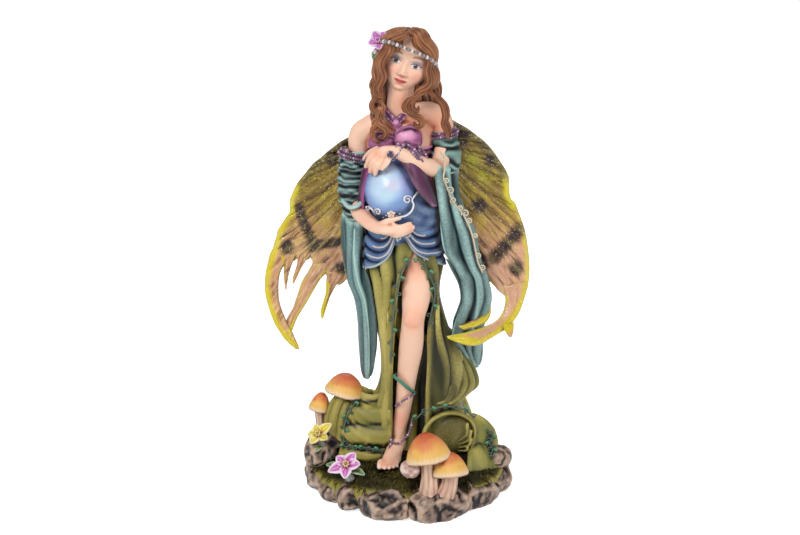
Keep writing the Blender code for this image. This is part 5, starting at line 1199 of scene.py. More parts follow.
def build_belly(size):
    """The round belly under thin cloth, with faint drawn creases. Its deep blue edge is partly its own airbrushed blue
    and partly painted shade; its pale top and its small violet, white and pale cyan spots are painted highlights and
    reflections."""
    heap = Heap()
    ball = egg(BELLY, BELLY_RADII, 84, 110)
    way = unit((ball - BELLY) / BELLY_RADII)
    crease = noise(way * (1, 1, 3.0), 0.35, 4) * 0.10
    ball = ball + way * crease[..., None]
    # How far each point faces a light above the front: the blues below follow it as painted light and shade.
    light = way @ unit(np.array([-0.22, -0.88, 0.42]))
    shade = mix(size.belly_edge, (0.40, 0.56, 0.80), ramp(light, 0.05, 0.62))
    shade = mix(shade, size.belly_highlight, ramp(light + 0.05 * noise(way, 0.5, 2), 0.60, 0.97))
    # Small painted highlights and reflections in violet, white and pale cyan.
    violet = ramp(way @ unit(np.array([0.62, -0.70, 0.35])), 0.88, 1.0)
    shade = mix(shade, (0.62, 0.56, 0.82), violet * 0.55)
    shade = mix(shade, (0.82, 0.80, 0.88), ramp(way @ unit(np.array([0.10, -0.93, 0.38])), 0.96, 1.0) * 0.5)
    shade = mix(shade, (0.84, 0.78, 0.86), ramp(way @ unit(np.array([-0.02, -0.95, 0.30])), 0.955, 1.0) * 0.45)
    shade = mix(shade, (0.66, 0.84, 0.84), ramp(way @ unit(np.array([-0.16, -0.97, 0.02])), 0.94, 1.0) * 0.4)
    # Painted shade on the side turned from the light.
    shade = mix(shade, (0.12, 0.20, 0.42), ramp(-light, -0.25, 0.3) * 0.85)
    heap.skin(ball, np.clip(shade, 0, 1))
    finish = finish_of("belly_paint", wash_and_shade=(0.12, 0.2, 0.42), wash_and_shade_share=0.7, brush=(0.9, 0.94, 1.0), brush_share=0.3,
        mottle=0.08, bump=0.01, coat=0.7)
    return heap.finish("belly", finish, rounds=8)


def build_filigree(size):
    """Silver scrolls in relief on the belly: thin wires that follow its surface, with spirals and a small flower."""
    heap = Heap()
    wires = [
        spiral((407.3, 199.6), 4.6, 0, -1.35, 60),
        spiral((407.0, 217.5), 3.2, 200, 1.1, 40),
        spread([(365.5, 207), (368, 206.5), (371.5, 208.5), (374, 212), (377, 217), (380, 220.5)], 40),
        spiral((377.8, 211.8), 3.4, 190, 1.2, 50),
        spread([(366.5, 209.5), (369, 212), (372, 216.5), (375, 220)], 30),
        spiral((368.6, 208.4), 2.4, 180, 1.0, 30),
    ]
    for rows in wires:
        path = on_belly(rows, 0.35)
        wide = 0.46 * np.clip(np.sin(math.pi * np.linspace(0.08, 0.92, len(path))) ** 0.4, 0.5, 1)
        heap.skin(tube(path, wide, 9), SILVER)
    stem = in_view([(418.5, 191.5, -15.6), (414.5, 196, -17.0), (412, 200, -18.0), (413.5, 205, -18.2),
        (411.5, 211, -19.0), (406, 215.5, -20.4), (400, 217, -21.4)])
    heap.skin(tube(spread(stem, 70), 0.46, 9), SILVER)
    centre = on_belly([(391.2, 213.8)], 0.3)[0]
    for k in range(5):
        way = math.radians(90 + 72 * k)
        heap.skin(egg(centre + (1.15 * math.cos(way), -0.35, 1.15 * math.sin(way)), (0.85, 0.45, 0.75), 9, 12),
            (0.86, 0.74, 0.62))
    heap.skin(egg(centre + (0, -0.7, 0), (0.55, 0.45, 0.55), 9, 12), (0.93, 0.62, 0.52))
    for u, v in ((386.5, 215.5), (396.0, 215.5), (383.5, 217.5), (399.5, 213.8)):
        heap.skin(egg(on_belly([(u, v)], 0.3)[0], (0.55, 0.45, 0.42), 7, 10), SILVER)
    finish = finish_of("silver_paint", wash_and_shade=(0.2, 0.22, 0.28), wash_and_shade_share=0.8, brush=(1, 1, 1), brush_share=0.8,
        mottle=0.1, bump=0.02, coat=0.3, metal=0.35)
    return heap.finish("filigree", finish, rounds=3)


def hip_panel(rows, side):
    """A panel round one side of the hips: at each turn from the front, its three heights and how far out they lie."""
    made = []
    for turn, hem in rows:
        angle = math.radians(turn)
        out, front = math.sin(angle) * side, math.cos(angle)
        top = 148.0
        made.append([
            (-3.6 + out * 15.4, 3.5 - front * 14.0, top),
            (-3.4 + out * 17.2, 3.5 - front * 16.6, 0.35 * hem + 0.65 * top),
            (-3.2 + out * 18.6, 3.7 - front * 18.0, 0.7 * hem + 0.3 * top),
            (-3.0 + out * 19.4, 4.0 - front * 18.4, hem),
        ])
    return np.swapaxes(np.array(made), 0, 1)


def build_hips(size):
    """Two denim-blue panels over the hips, draped in swags that hang between front and side, edged and looped with
    silver."""
    heap = Heap()
    panels = (
        (-1, [(2, 131), (8, 128), (16, 119.5), (30, 114.2), (52, 111.2), (90, 109.5), (130, 109), (183, 109)]),
        (1, [(-2, 131), (6, 127), (18, 120.4), (36, 116.0), (66, 111.6), (95, 109.5), (130, 109), (183, 109)]),
    )
    for side, rows in panels:
        grid = patch(hip_panel(rows, side), 64, 88)
        t = np.linspace(0, 1, 64)[:, None]
        s = np.linspace(0, 1, 88)[None]
        sag = 0.13 * (1 - ((s - 0.26) / 0.3) ** 2) * (s < 0.6)
        swag = 0.5 + 0.5 * np.cos(2 * math.pi * 6.2 * (t - sag))
        normal = facing(grid)
        normal = normal * np.sign((normal * (grid - (-3.2, 4, 130))).sum(axis=-1))[..., None]
        depth = ramp(t, 0.22, 0.5) + 0 * s
        grid = grid + normal * (0.9 * (swag**0.7 - 0.3) * depth + 0.35 * noise(grid, 5.0))[..., None]
        # Darker in the swags' troughs and lighter on their crests: painted shade and highlight.
        shade = mix((0.09, 0.15, 0.30), size.hip_colour, ramp(swag, 0.1, 0.7))
        shade = mix(shade, (0.38, 0.53, 0.74), ramp(swag * depth, 0.75, 1.0) * 0.5)
        shade = mix(shade, (0.25, 0.40, 0.66), (1 - depth) * 0.8)
        heap.sheet(grid, 1.5, shade, lip=0.8)
        edge = grid[-1, :69] + normal[-1, :69] * 0.55
        heap.skin(tube(straight(edge, 110), 0.62, 8, UP), (0.70, 0.72, 0.68))
        for level, first, last in ((0.50, 6, 38), (0.63, 7, 46), (0.79, 8, 51)):
            share = np.linspace(first, last, 60)
            drop = level + 0.15 * (1 - ((share / 87 - 0.27) / 0.3) ** 2)
            row = np.clip(drop * 63, 0, 61)
            low, col = row.astype(int), share.astype(int)
            path = grid[low, col] * (1 - (row - low))[:, None] + grid[low + 1, col] * (row - low)[:, None] + normal[low,
                col] * 1.1
            heap.skin(tube(spread(path[::5], 60), 0.42, 7, UP), (0.86, 0.78, 0.72))
    lap = egg((-2.4, -1.5, 138), (17.2, 15.0, 21.6), 60, 84)
    crease = 0.5 + 0.5 * np.sin(1.15 * lap[..., 2] + 0.5 * lap[..., 0] + 1.4 * noise(lap, 7.0))
    lap = lap + unit(lap - (-2.4, -1.5, 138)) * (0.22 * crease + 0.25 * noise(lap, 4.0))[..., None]
    heap.skin(lap, lambda points: mix((0.13, 0.22, 0.42), (0.24, 0.39, 0.63), ramp(noise(points
        * (1, 1, 0.4), 5.0), -0.4, 0.6)))
    for middle in ((403.5, 228.5), (408.5, 235.5), (399, 238.5)):
        heap.skin(tube(curl(middle, -17.6, 2.6, 120, 1.1, 30), 0.42, 8), SILVER)
    finish = finish_of("denim_paint", wash_and_shade=(0.03, 0.05, 0.13), wash_and_shade_share=1.3, brush=(0.70, 0.80, 0.90),
        brush_share=0.4, mottle=0.2, bump=0.06)
    return heap.finish("hip_panels", finish, rounds=6)


def skirt_paint(points):
    """Olive cloth with golden lights in long streaks. It is darkened as painted shade: dark brown in the recess to the
    right of the leg, darker green towards the back, and darker at the top under the hip panels."""
    green = mix((0.50, 0.46, 0.18), (0.30, 0.32, 0.13), ramp(noise(points * (1, 1, 0.3), 12.0, 5), -0.3, 0.7))
    green = mix(green, (0.72, 0.65, 0.34), ramp(noise(points * (1.4, 1.4, 0.22), 6.0, 9), 0.0, 0.7) * 0.8)
    x, y, z = (points[..., k] for k in range(3))
    # Painted shade in the recess to the right of the leg.
    leg = ramp(x, 2, 12) * ramp(z, 34, 50) * (1 - 0.5 * ramp(x, 21, 31))
    green = mix(green, (0.17, 0.17, 0.07), leg * (0.92 - 0.3 * ramp(noise(points * (1, 1, 0.3), 5.0, 3), 0.2, 0.8)))
    # Painted shade towards the back.
    green = mix(green, (0.20, 0.31, 0.19), ramp(y, -3.0, 6.0) * 0.55)
    # Painted shade at the top, under the hip panels.
    return mix(green, (0.22, 0.29, 0.12), ramp(z, 104, 118) * 0.5)


def facing_front(grid):
    """A grid's normals, each turned to the front of the figure."""
    normal = facing(grid)
    return normal * np.sign(-normal[..., 1] + 1e-9)[..., None]


def brighter_skirt(colour, share):
    """The skirt's paint, blended everywhere with a lighter colour by this share."""
    return lambda points: mix(skirt_paint(points), colour, share * np.ones(points.shape[:-1]))


def folded(grid, depth, count, phase=0.0):
    """A grid of cloth pushed along its normals into this many folds across its columns."""
    s = np.linspace(0, 1, grid.shape[1])[None]
    wander = 0.16 * noise(grid * (0.3, 0.3, 1), 22.0, 6) + 0.05 * np.sin(7 * s + 2)
    wave = 0.5 + 0.5 * np.cos(2 * math.pi * (count * (s + wander) + phase))
    small = noise(grid * (1, 1, 0.12), 2.6, 9)
    return grid + facing_front(grid) * (depth * (wave**FOLD_SHARPNESS - 0.5) + 0.14 * depth * small)[..., None]


def build_skirt(size):
    """The skirt: a folded fall behind the leg, a panel on each side of the slit, the train, the ruffle and the rolled
    hem."""
    heap = Heap()
    rings, sides = 80, 150
    fall = ovals([(6, 12, 15, 26, 18), (6, 12, 31, 22, 16), (6, 11, 49, 16.5, 13.5), (6.6, 8.5, 69, 17.5, 12.5),
        (1.6, 6.5, 80, 14.4, 12), (-1.0, 6, 92, 12.8, 11.8), (-2.6, 5, 109, 15.2, 11.5), (-3, 4.5, 129, 16.6, 10.5)],
         rings, sides)
    turn = np.arange(sides) * 2 * math.pi / sides
    level = fall[..., 2]
    depth = 0.8 + 1.9 * np.clip((117 - level) / 98, 0, 1)
    sway = 0.02 * (level - GROUND)
    push = depth * (np.sin(9 * turn + sway) + 0.45 * np.sin(17 * turn - 2 * sway)) * (0.35 + 0.65 * ramp(np.sin(turn),
        -0.5, 0.2))
    heap.skin(swollen(fall, push), skirt_paint)
    left = patch([
        [(2.6, -9.0, 130), (-4, -9.6, 130), (-11, -8.0, 130), (-15, -3, 130), (-17, 3, 130)],
        [(2.4, -11.4, 121), (-4, -12.0, 121), (-11, -10.0, 121), (-16.4, -4.4, 121), (-18, 2, 121)],
        [(-1.6, -13.3, 112), (-6, -12.4, 112), (-12, -11.0, 111), (-17, -4.6, 111), (-18.6, 2, 111)],
        [(-4.4, -13.6, 103), (-8, -11.4, 103), (-12, -11.6, 103), (-16.4, -4.4, 103), (-18, 3, 103)],
        [(-6.0, -13.2, 89), (-9, -10.2, 89), (-11.4, -10.6, 89), (-14.4, -3.4, 89), (-15.6, 4, 89)],
        [(-7.4, -12.0, 70), (-9.6, -8.6, 70), (-10.6, -8.4, 70), (-11.4, -1.2, 70), (-11.6, 5, 70)],
        [(-8.0, -11.2, 54), (-9.4, -8.4, 54), (-10.4, -7.8, 54), (-11.2, -0.4, 54), (-11.4, 6, 54)],
        [(-7.6, -11.4, 44), (-10.6, -10.0, 43), (-12.4, -8.6, 42), (-14.8, -3.4, 43), (-15.8, 5, 44)],
        [(-7.2, -11.4, 32), (-11, -11.4, 31), (-15, -10.6, 30), (-21, -7, 31), (-26, 0, 34)],
        [(-7.0, -11.0, 18), (-11, -12.8, 18), (-16, -12.8, 18), (-23, -10.4, 18), (-29, -5, 18)],
    ], 92, 46)
    heap.sheet(folded(left, 1.9, 2.9), 1.8, skirt_paint, lip=1.2)
    right = patch([
        [(2.0, -8.0, 128), (5, -8.4, 128), (8.0, -5.6, 128), (10.4, 0, 128), (11, 6, 128)],
        [(2.6, -10.8, 120), (6.4, -10.6, 120), (9.5, -7, 120), (12.0, -1, 120), (13, 5, 120)],
        [(7.6, -13.6, 111), (10.4, -11.6, 111), (12.6, -8.6, 111), (14.4, -2, 111), (15, 4, 111)],
        [(10.6, -12.8, 102), (11.6, -10.6, 102), (12.6, -8.4, 102), (13.2, -2, 102), (13.6, 5, 102)],
        [(12.2, -11.4, 94), (12.8, -9.2, 94), (12.9, -8, 94), (13.4, -1, 94), (13.8, 6, 94)],
        [(9.6, -12.0, 82), (13, -8.8, 81), (15, -8.6, 80), (17.4, -1, 80), (18.2, 6, 80)],
        [(9.2, -11.0, 66), (14.4, -8.4, 63), (19.6, -8.6, 62), (24.6, -2, 61), (25.4, 6, 60)],
        [(8.4, -11.0, 50), (14.6, -9.4, 47), (19.2, -9.0, 46), (23.8, -4, 46), (25.6, 4, 46)],
        [(8.6, -11.4, 34), (15, -10.4, 32), (21, -9.0, 31), (27, -3.6, 31), (29.6, 4, 31)],
        [(9.0, -11.4, 19), (15, -10.4, 18), (21, -9.0, 18), (27.6, -3.6, 18), (30.6, 4, 18)],
    ], 92, 46)
    heap.sheet(folded(right, 1.7, 2.1, 0.3), 1.8, skirt_paint, lip=1.2)
    train = patch([
        [(-8.6, -5, 55), (-11.4, -4, 49), (-16.4, -3, 46.4), (-22, -1, 47), (-28, 1.4, 49)],
        [(-8.0, -9.4, 46), (-12.4, -8.8, 42), (-18, -7.4, 40.6), (-23, -5.4, 42), (-26.4, -3.6, 45)],
        [(-7.6, -11.6, 37), (-13.6, -11.4, 34.5), (-20, -10.4, 34), (-25, -8.6, 36), (-28.6, -7.0, 39)],
        [(-7.8, -12.6, 29), (-13.8, -13.4, 27), (-20.6, -12.8, 27), (-26.6, -10.8, 29), (-31, -8.6, 33)],
        [(-8.4, -13.2, 23), (-14, -14.8, 22), (-21, -14.6, 22), (-27, -12.4, 24), (-31.4, -9.6, 27.6)],
        [(-9.4, -13.6, 18.6), (-14, -16.2, 18.2), (-21, -16, 18), (-27.6, -13.6, 18), (-32.6, -10.6, 18.4)],
    ], 66, 56)
    t = np.linspace(0, 1, 66)[:, None]
    s = np.linspace(0, 1, 56)[None]
    drape = 0.5 + 0.5 * np.cos(2 * math.pi * (3.3 * t + 0.9 * s - 1.2 * s * s + 0.05 * noise(train, 9.0)))
    fine = 0.5 + 0.5 * np.cos(2 * math.pi * (11 * t + 1.6 * s))
    train = train + facing_front(train) * (1.25 * (drape**0.8 - 0.4) + 0.12 * fine)[..., None]
    heap.sheet(train, 1.8, brighter_skirt((0.78, 0.72, 0.36), 0.35), lip=1.2)
    flap = patch([
        [(-16, 5, 45), (-20, 3, 48), (-24, 1.6, 50.4), (-27, 1, 50.0)],
        [(-22, -1, 42), (-26, -1.4, 45), (-30, -1.6, 47.6), (-33, -0.6, 46.6)],
        [(-26, -5, 37), (-30, -5, 40), (-34, -4.0, 42), (-37.4, -2.0, 41.6)],
        [(-28.6, -8, 31), (-32, -8, 33.4), (-36, -6.4, 35.6), (-39.4, -4.0, 35.6)],
        [(-30, -9.6, 24), (-33, -9.4, 26), (-36, -8.0, 28), (-38.8, -6, 30)],
    ], 50, 40)
    heap.sheet(folded(flap, 1.0, 2.4, 0.2), 2.0, brighter_skirt((0.66, 0.60, 0.32), 0.35), lip=1.2)
    ruffle = patch([
        [(17, -2, 70), (20, 0, 67), (24, 4, 64), (28, 8, 62)],
        [(18, -5, 62), (23, -3.4, 60), (28, 1, 58), (32, 6.4, 56)],
        [(19, -8, 54), (24, -5.6, 52.6), (29.6, -1.6, 51.4), (33.6, 4, 50)],
        [(17, -9.6, 47), (21, -8.4, 47), (26.0, -4.4, 46.8), (30.0, 2, 47)],
        [(12, -11, 43.6), (16, -10.6, 44.6), (21, -7.6, 44), (24.6, -3, 43.6)],
    ], 54, 54)
    heap.sheet(folded(ruffle, 1.3, 3.4, 0.1), 1.8, skirt_paint, lip=1.2)
    turn = np.radians(np.array((-40, -5, 30, 65, 100, 135, 170, 205)))
    roll = patch(np.stack([
        np.stack([19.4 + 12.4 * np.cos(turn), -14.6 + 3.0 * np.cos(turn), 30.6 + 11.2 * np.sin(turn)], axis=1),
        np.stack([20.2 + 10.6 * np.cos(turn), -7 + 2 * np.cos(turn), 29.6 + 9.6 * np.sin(turn)], axis=1),
        np.stack([21.0 + 6.0 * np.cos(turn), 2 + 2 * np.cos(turn), 28 + 7 * np.sin(turn)], axis=1),
    ]), 36, 90)
    depth = np.linspace(0, 1, 36)[:, None]
    lit = skirt_paint(roll)
    # The roll darkens towards its inside: painted shade.
    heap.sheet(roll, 2.2, mix(lit, (0.16, 0.18, 0.09), ramp(depth + 0 * roll[..., 0], 0.10, 0.55)),
        back=mix(lit, (0.78, 0.76, 0.42), 0.4 + 0 * roll[..., 0]), lip=1.3)
    # A dark egg fills the roll's hollow: painted shade where there is only shadow.
    hollow = egg((20, -8.4, 29.4), (10.6, 5.6, 9.8), 40, 60)
    heap.skin(hollow, lambda points: mix((0.05, 0.06, 0.03), (0.20, 0.25, 0.11), ramp(rough(points
        * (1, 1, 0.5), 3.0, 2), 0.1, 0.9)))
    for k in range(4):
        way = math.radians(-35 + 24 * k)
        rim = np.array([19.6 + 10.4 * math.cos(way), -14.0, 30.2 + 9.6 * math.sin(way)])
        deep = np.array([22.6 + 1.6 * math.cos(way), -14.2, 22.6 + 1.6 * k])
        heap.skin(tube(spread([rim, (rim + deep) / 2 + (1.6, -0.3, -0.8), deep], 20), np.linspace(0.8, 0.25, 20), 7),
            (0.24, 0.27, 0.11))
    back_fall = ovals([(-19, 6.6, 15, 16.4, 9.8), (-19.5, 6.6, 23, 15.4, 9.0), (-19.5, 7.2, 31, 14.4, 7.6),
        (-19, 7.6, 38, 12.2, 5.6), (-19.5, 8.0, 44, 8.0, 3.0)], 44, 110)
    turn = np.arange(110) * 2 * math.pi / 110
    ribs = 0.7 * np.sin(11 * turn + 0.12 * back_fall[..., 2]) * ramp(back_fall[..., 1], -2, 3)
    heap.skin(swollen(back_fall, ribs), skirt_paint)
    end = patch([
        [(25, -3, 36), (27.6, -8, 30), (28.6, -13, 24), (27.6, -20, 18), (27.0, -24, 12)],
        [(31, 0, 36), (33, -5, 31), (34.4, -10, 25), (33.6, -17, 18), (32.8, -21, 11)],
        [(36.6, 2, 32), (38, -2, 28), (39.4, -7, 22.6), (38.6, -13, 16), (37.6, -17, 11)],
        [(40.6, 2, 27), (42.0, -1, 24), (43.2, -4.4, 20.4), (42.6, -9.6, 15), (41.4, -13, 11)],
    ], 46, 56)
    heap.sheet(folded(end, 1.4, 2.2, 0.4), 2.6, brighter_skirt((0.80, 0.78, 0.46), 0.3), lip=1.3)
    finish = finish_of("skirt_paint", wash_and_shade=(0.05, 0.06, 0.02), wash_and_shade_share=1.5, brush=(0.82, 0.76, 0.44),
        brush_share=0.45, mottle=0.12, bump=0.04)
    return heap.finish("skirt", finish, rounds=9)


def sleeve_paint(points):
    """Teal cloth in streaky clouds, paler and greyer in some of them, turning dark navy towards the bottom."""
    teal = mix((0.03, 0.16, 0.21), (0.08, 0.29, 0.32), ramp(noise(points * (1, 1, 0.25), 7.0, 3), -0.5, 0.6))
    teal = mix(teal, (0.30, 0.48, 0.47), ramp(noise(points * (1.3, 1.3, 0.2), 4.0, 7), 0.3, 0.95) * 0.45)
    return mix(teal, (0.06, 0.13, 0.20), 0.75 * (1 - ramp(points[..., 2] + 5 * noise(points, 9.0, 2), 66, 92)))


def build_sleeves(size):
    """The sleeves: gathered cloth round each upper arm, and long open falls with pale edges."""
    heap = Heap()
    rings, sides = 80, 90
    puff = ovals([(-23.4, -3.0, 133.4, 4.6, 4.6), (-23.8, -1.0, 135.5, 6.0, 5.6), (-24.6, 1.5, 140, 7.0, 6.6),
        (-25.0, 3.2, 148, 7.5, 6.8), (-24.8, 4.4, 155, 7.2, 6.6), (-24.4, 4.8, 160, 7.2, 6.2),
         (-23.6, 5, 163.6, 5.4, 5.0)], rings, sides)
    turn = np.arange(sides) * 2 * math.pi / sides
    level = puff[..., 2]
    crimp = np.sin(1.15 * level + 2.2 * np.sin(turn + 0.4) + 3.2 * noise(puff,
        5.0)) + 0.6 * np.sin(2.9 * level - 3.2 * np.sin(turn) + 2.5 * noise(puff, 3.0, 2))
    puff = swollen(puff, 0.42 * crimp * ramp(level, 134, 138) * (1 - ramp(level, 158, 162)))
    # Pale on the crests of the gathers and dark in their troughs: painted highlight and shade.
    heap.skin(puff,
        mix(mix((0.10, 0.15, 0.16), (0.25, 0.34, 0.34), ramp(crimp, -0.9, 0.5)), (0.66, 0.72, 0.70),
            ramp(crimp, 0.8, 1.5) * 0.75))
    cuff = in_view([(343, 201, -2), (349, 207, -8), (357, 206, -10), (364, 200, -8)])
    heap.skin(tube(spread(cuff, 40), 1.0, 12, UP), (0.74, 0.80, 0.78))
    right = patch(in_view([
        [(345, 204, 6), (344, 214, -2), (350, 220, -6), (357, 222, -7), (364, 222, -8)],
        [(343.5, 238, 6), (345.5, 238, -3), (350, 238, -6.4), (356, 240, -7), (362, 244, -5)],
        [(344.6, 256, 6), (347, 256, -3), (351, 256, -6.4), (355.5, 256, -7), (362, 260, -4)],
        [(348.4, 281, 6.5), (351, 281, -2.6), (355, 281, -5.4), (360, 281, -6), (370, 282, -4)],
        [(355.4, 300, 6.5), (358, 300, -2), (362, 300, -4.6), (366, 300, -5), (374, 300, -4)],
        [(359.6, 322, 6), (361.6, 322, -1), (365, 322, -3.4), (369, 322, -4), (377, 322, -4)],
        [(360.6, 346, 6), (362.6, 346, 0), (366, 346, -2.6), (370, 346, -3), (377, 345, -3)],
        [(362.4, 366, 5), (364, 368, 1), (366.4, 370, -1), (369.4, 368, -1.6), (374, 362, -1.6)],
        [(366.4, 377, 4), (366.8, 378, 2), (367.4, 378.4, 1), (368.4, 377.6, 0.6), (370, 374, 0.4)],
    ]), 120, 46)
    s = np.linspace(0, 1, 46)[None]
    right = folded(right, 1.1, 2.6, 0.15)
    pale = np.exp(-(((s - 0.70) / 0.03) ** 2)) + np.exp(-((s / 0.03) ** 2))
    shade = mix(sleeve_paint(right), (0.60, 0.76, 0.72), ramp(pale + 0 * right[..., 0], 0.25, 0.8) * 0.85)
    # Past the pale edge the fall darkens towards the body: painted shade on its inner side.
    shade = mix(shade, (0.07, 0.13, 0.16), ramp(s + 0 * right[..., 0], 0.76, 0.95) * 0.8)
    heap.sheet(right, 1.9, shade, lip=1.1)
    ridge = right[6:112:5, 31] + (0, -0.8, 0)
    heap.skin(tube(spread(ridge, 140), 0.62, 9), (0.66, 0.80, 0.76))

    band = ovals([(17.0, 0.0, 154.5, 5.0, 5.4), (17.2, 1.0, 157.5, 6.4, 6.2), (17.2, 2.6, 161.5, 6.9, 6.4),
        (16.8, 4.0, 166, 6.6, 6.2), (16.2, 4.6, 170.5, 6.2, 5.8), (15.8, 4.8, 173.4, 5.0, 5.0)], 60, 90)
    level = band[..., 2]
    crimp = np.sin(1.2 * level + 2.2 * np.sin(turn + 2.0) + 3.0 * noise(band, 5.0))
    band = swollen(band, 0.5 * crimp * (1 - ramp(level, 166, 170)))
    # Pale on the crests of the gathers and dark in their troughs: painted highlight and shade.
    heap.skin(band,
        mix(mix((0.12, 0.18, 0.18), (0.30, 0.42, 0.40), ramp(crimp, -0.8, 0.5)), (0.58, 0.66, 0.62),
            ramp(crimp, 0.5, 1.1) * 0.6))
    left = patch(in_view([
        [(432, 161, -9), (436, 163, -10), (441, 166, -9), (448, 166, -5), (456, 164, 2), (458, 162, 6)],
        [(437, 184, -10), (440, 186, -11), (446, 188, -9), (450, 190, -6), (455, 186, 0), (457, 182, 5)],
        [(439.4, 206, -9.6), (443, 208, -10.6), (450, 211, -7), (457, 212, -5.6), (462, 213, -2), (465, 214, 3)],
        [(440.6, 228, -9), (446, 230, -9.6), (454, 232, -6), (463, 232, -5), (470, 229, -2), (472, 228, 3)],
        [(444, 250, -8), (450, 252, -8.6), (459, 252, -5), (468, 252, -4), (474.6, 250, -1), (477, 250, 4)],
        [(453, 266, -7), (459, 268, -7.6), (466, 268, -4), (473, 267, -3), (478.4, 264, 0), (480, 264, 5)],
        [(461, 280, -6.4), (465, 281, -6.6), (472, 281, -3.4), (479, 280, -2), (484, 279, 1), (486, 279, 6)],
        [(463, 298, -5.6), (467, 299, -6), (473, 299, -2.6), (481, 298, -1), (488, 297, 2), (489.6, 297, 7)],
        [(459, 312, -4.6), (464, 313, -5), (471, 313, -1.6), (478, 313, 0), (485, 312, 3), (487, 312, 8)],
        [(454, 326, -3), (460, 327, -3), (467, 327, 0), (474, 327, 2), (481, 327, 4), (483, 327, 9)],
        [(452.6, 338, 0), (458, 340, 0), (465, 341, 3), (472, 342, 5), (480, 342, 6), (482, 342, 10)],
        [(460, 348, 5), (464, 351, 5), (469, 355, 8), (474, 358, 10), (479, 358, 10), (481, 357, 12)],
        [(470, 362, 9), (471.6, 364, 9.6), (473.6, 366, 11), (475.6, 367, 12), (477.6, 366, 12.4), (479, 364, 13)],
    ]), 112, 52)
    left = folded(left, 1.5, 3.0, 0.55)
    s = np.linspace(0, 1, 52)[None]
    pale = np.exp(-((s / 0.035) ** 2)) + np.exp(-(((s - 0.52) / 0.03) ** 2))
    shade = mix(sleeve_paint(left), (0.62, 0.78, 0.74), ramp(pale + 0 * left[..., 0], 0.3, 0.8) * 0.8)
    # Two long dark bands down the fall: painted shade in its deepest folds.
    deep = np.exp(-(((s - 0.26) / 0.10) ** 2)) + 0.7 * np.exp(-(((s - 0.74) / 0.08) ** 2))
    shade = mix(shade, (0.05, 0.12, 0.14), np.clip(deep, 0, 1) * 0.65 + 0 * left[..., 0])
    shade = mix(shade, (0.08, 0.14, 0.24), 1 - ramp(left[..., 2], 64, 76))
    heap.sheet(left, 2.0, shade, lip=1.1)
    heap.skin(tube(spread(left[3:104:4, 1] + (0, -0.5, 0), 100), 0.55, 9), (0.66, 0.80, 0.77))
    inner = patch(in_view([
        [(446, 258, -2), (452, 262, 0), (458, 262, 3)],
        [(452, 271, -2), (458, 273, 0), (464, 273, 3)],
        [(458.4, 284, -1), (463, 284, 1), (468, 284, 4)],
        [(460.6, 298, 0), (465, 299, 2), (470, 299, 5)],
        [(457.4, 309, 1), (463, 310, 3), (468, 310, 6)],
        [(453.4, 320, 2), (459, 321, 4), (465, 321, 7)],
        [(452, 334, 3), (458, 335, 5), (464, 335, 8)],
    ]), 60, 26)
    # The inner side is the sleeve's own paint at six tenths: painted shade.
    heap.sheet(inner, 1.8, lambda points: sleeve_paint(points) * 0.62, lip=1.0)
    finish = finish_of("sleeve_paint", wash_and_shade=(0.01, 0.04, 0.05), wash_and_shade_share=1.5, brush=(0.70, 0.84, 0.82),
        brush_share=0.6, mottle=0.12, bump=0.02)
    return heap.finish("sleeves", finish, rounds=8)


def bracelet(heap, rows, radius, colours, base=None, wide=1.0):
    """Beads threaded on a thin cord, or two rows of them along the edges of a ribbon."""
    path = spread(rows, 60)
    if base is None:
        heap.skin(tube(path, radius * 0.55, 8), (0.30, 0.12, 0.28))
        heap.beads(path, radius, colours)
        return
    heap.skin(tube(path, wide, 14, flat=0.45), base)
    side = unit(np.cross(np.gradient(path, axis=0), FRONT))
    for shift in (-0.62, 0.62):
        heap.beads(path + side * shift * wide + FRONT * wide * 0.42, radius, colours)


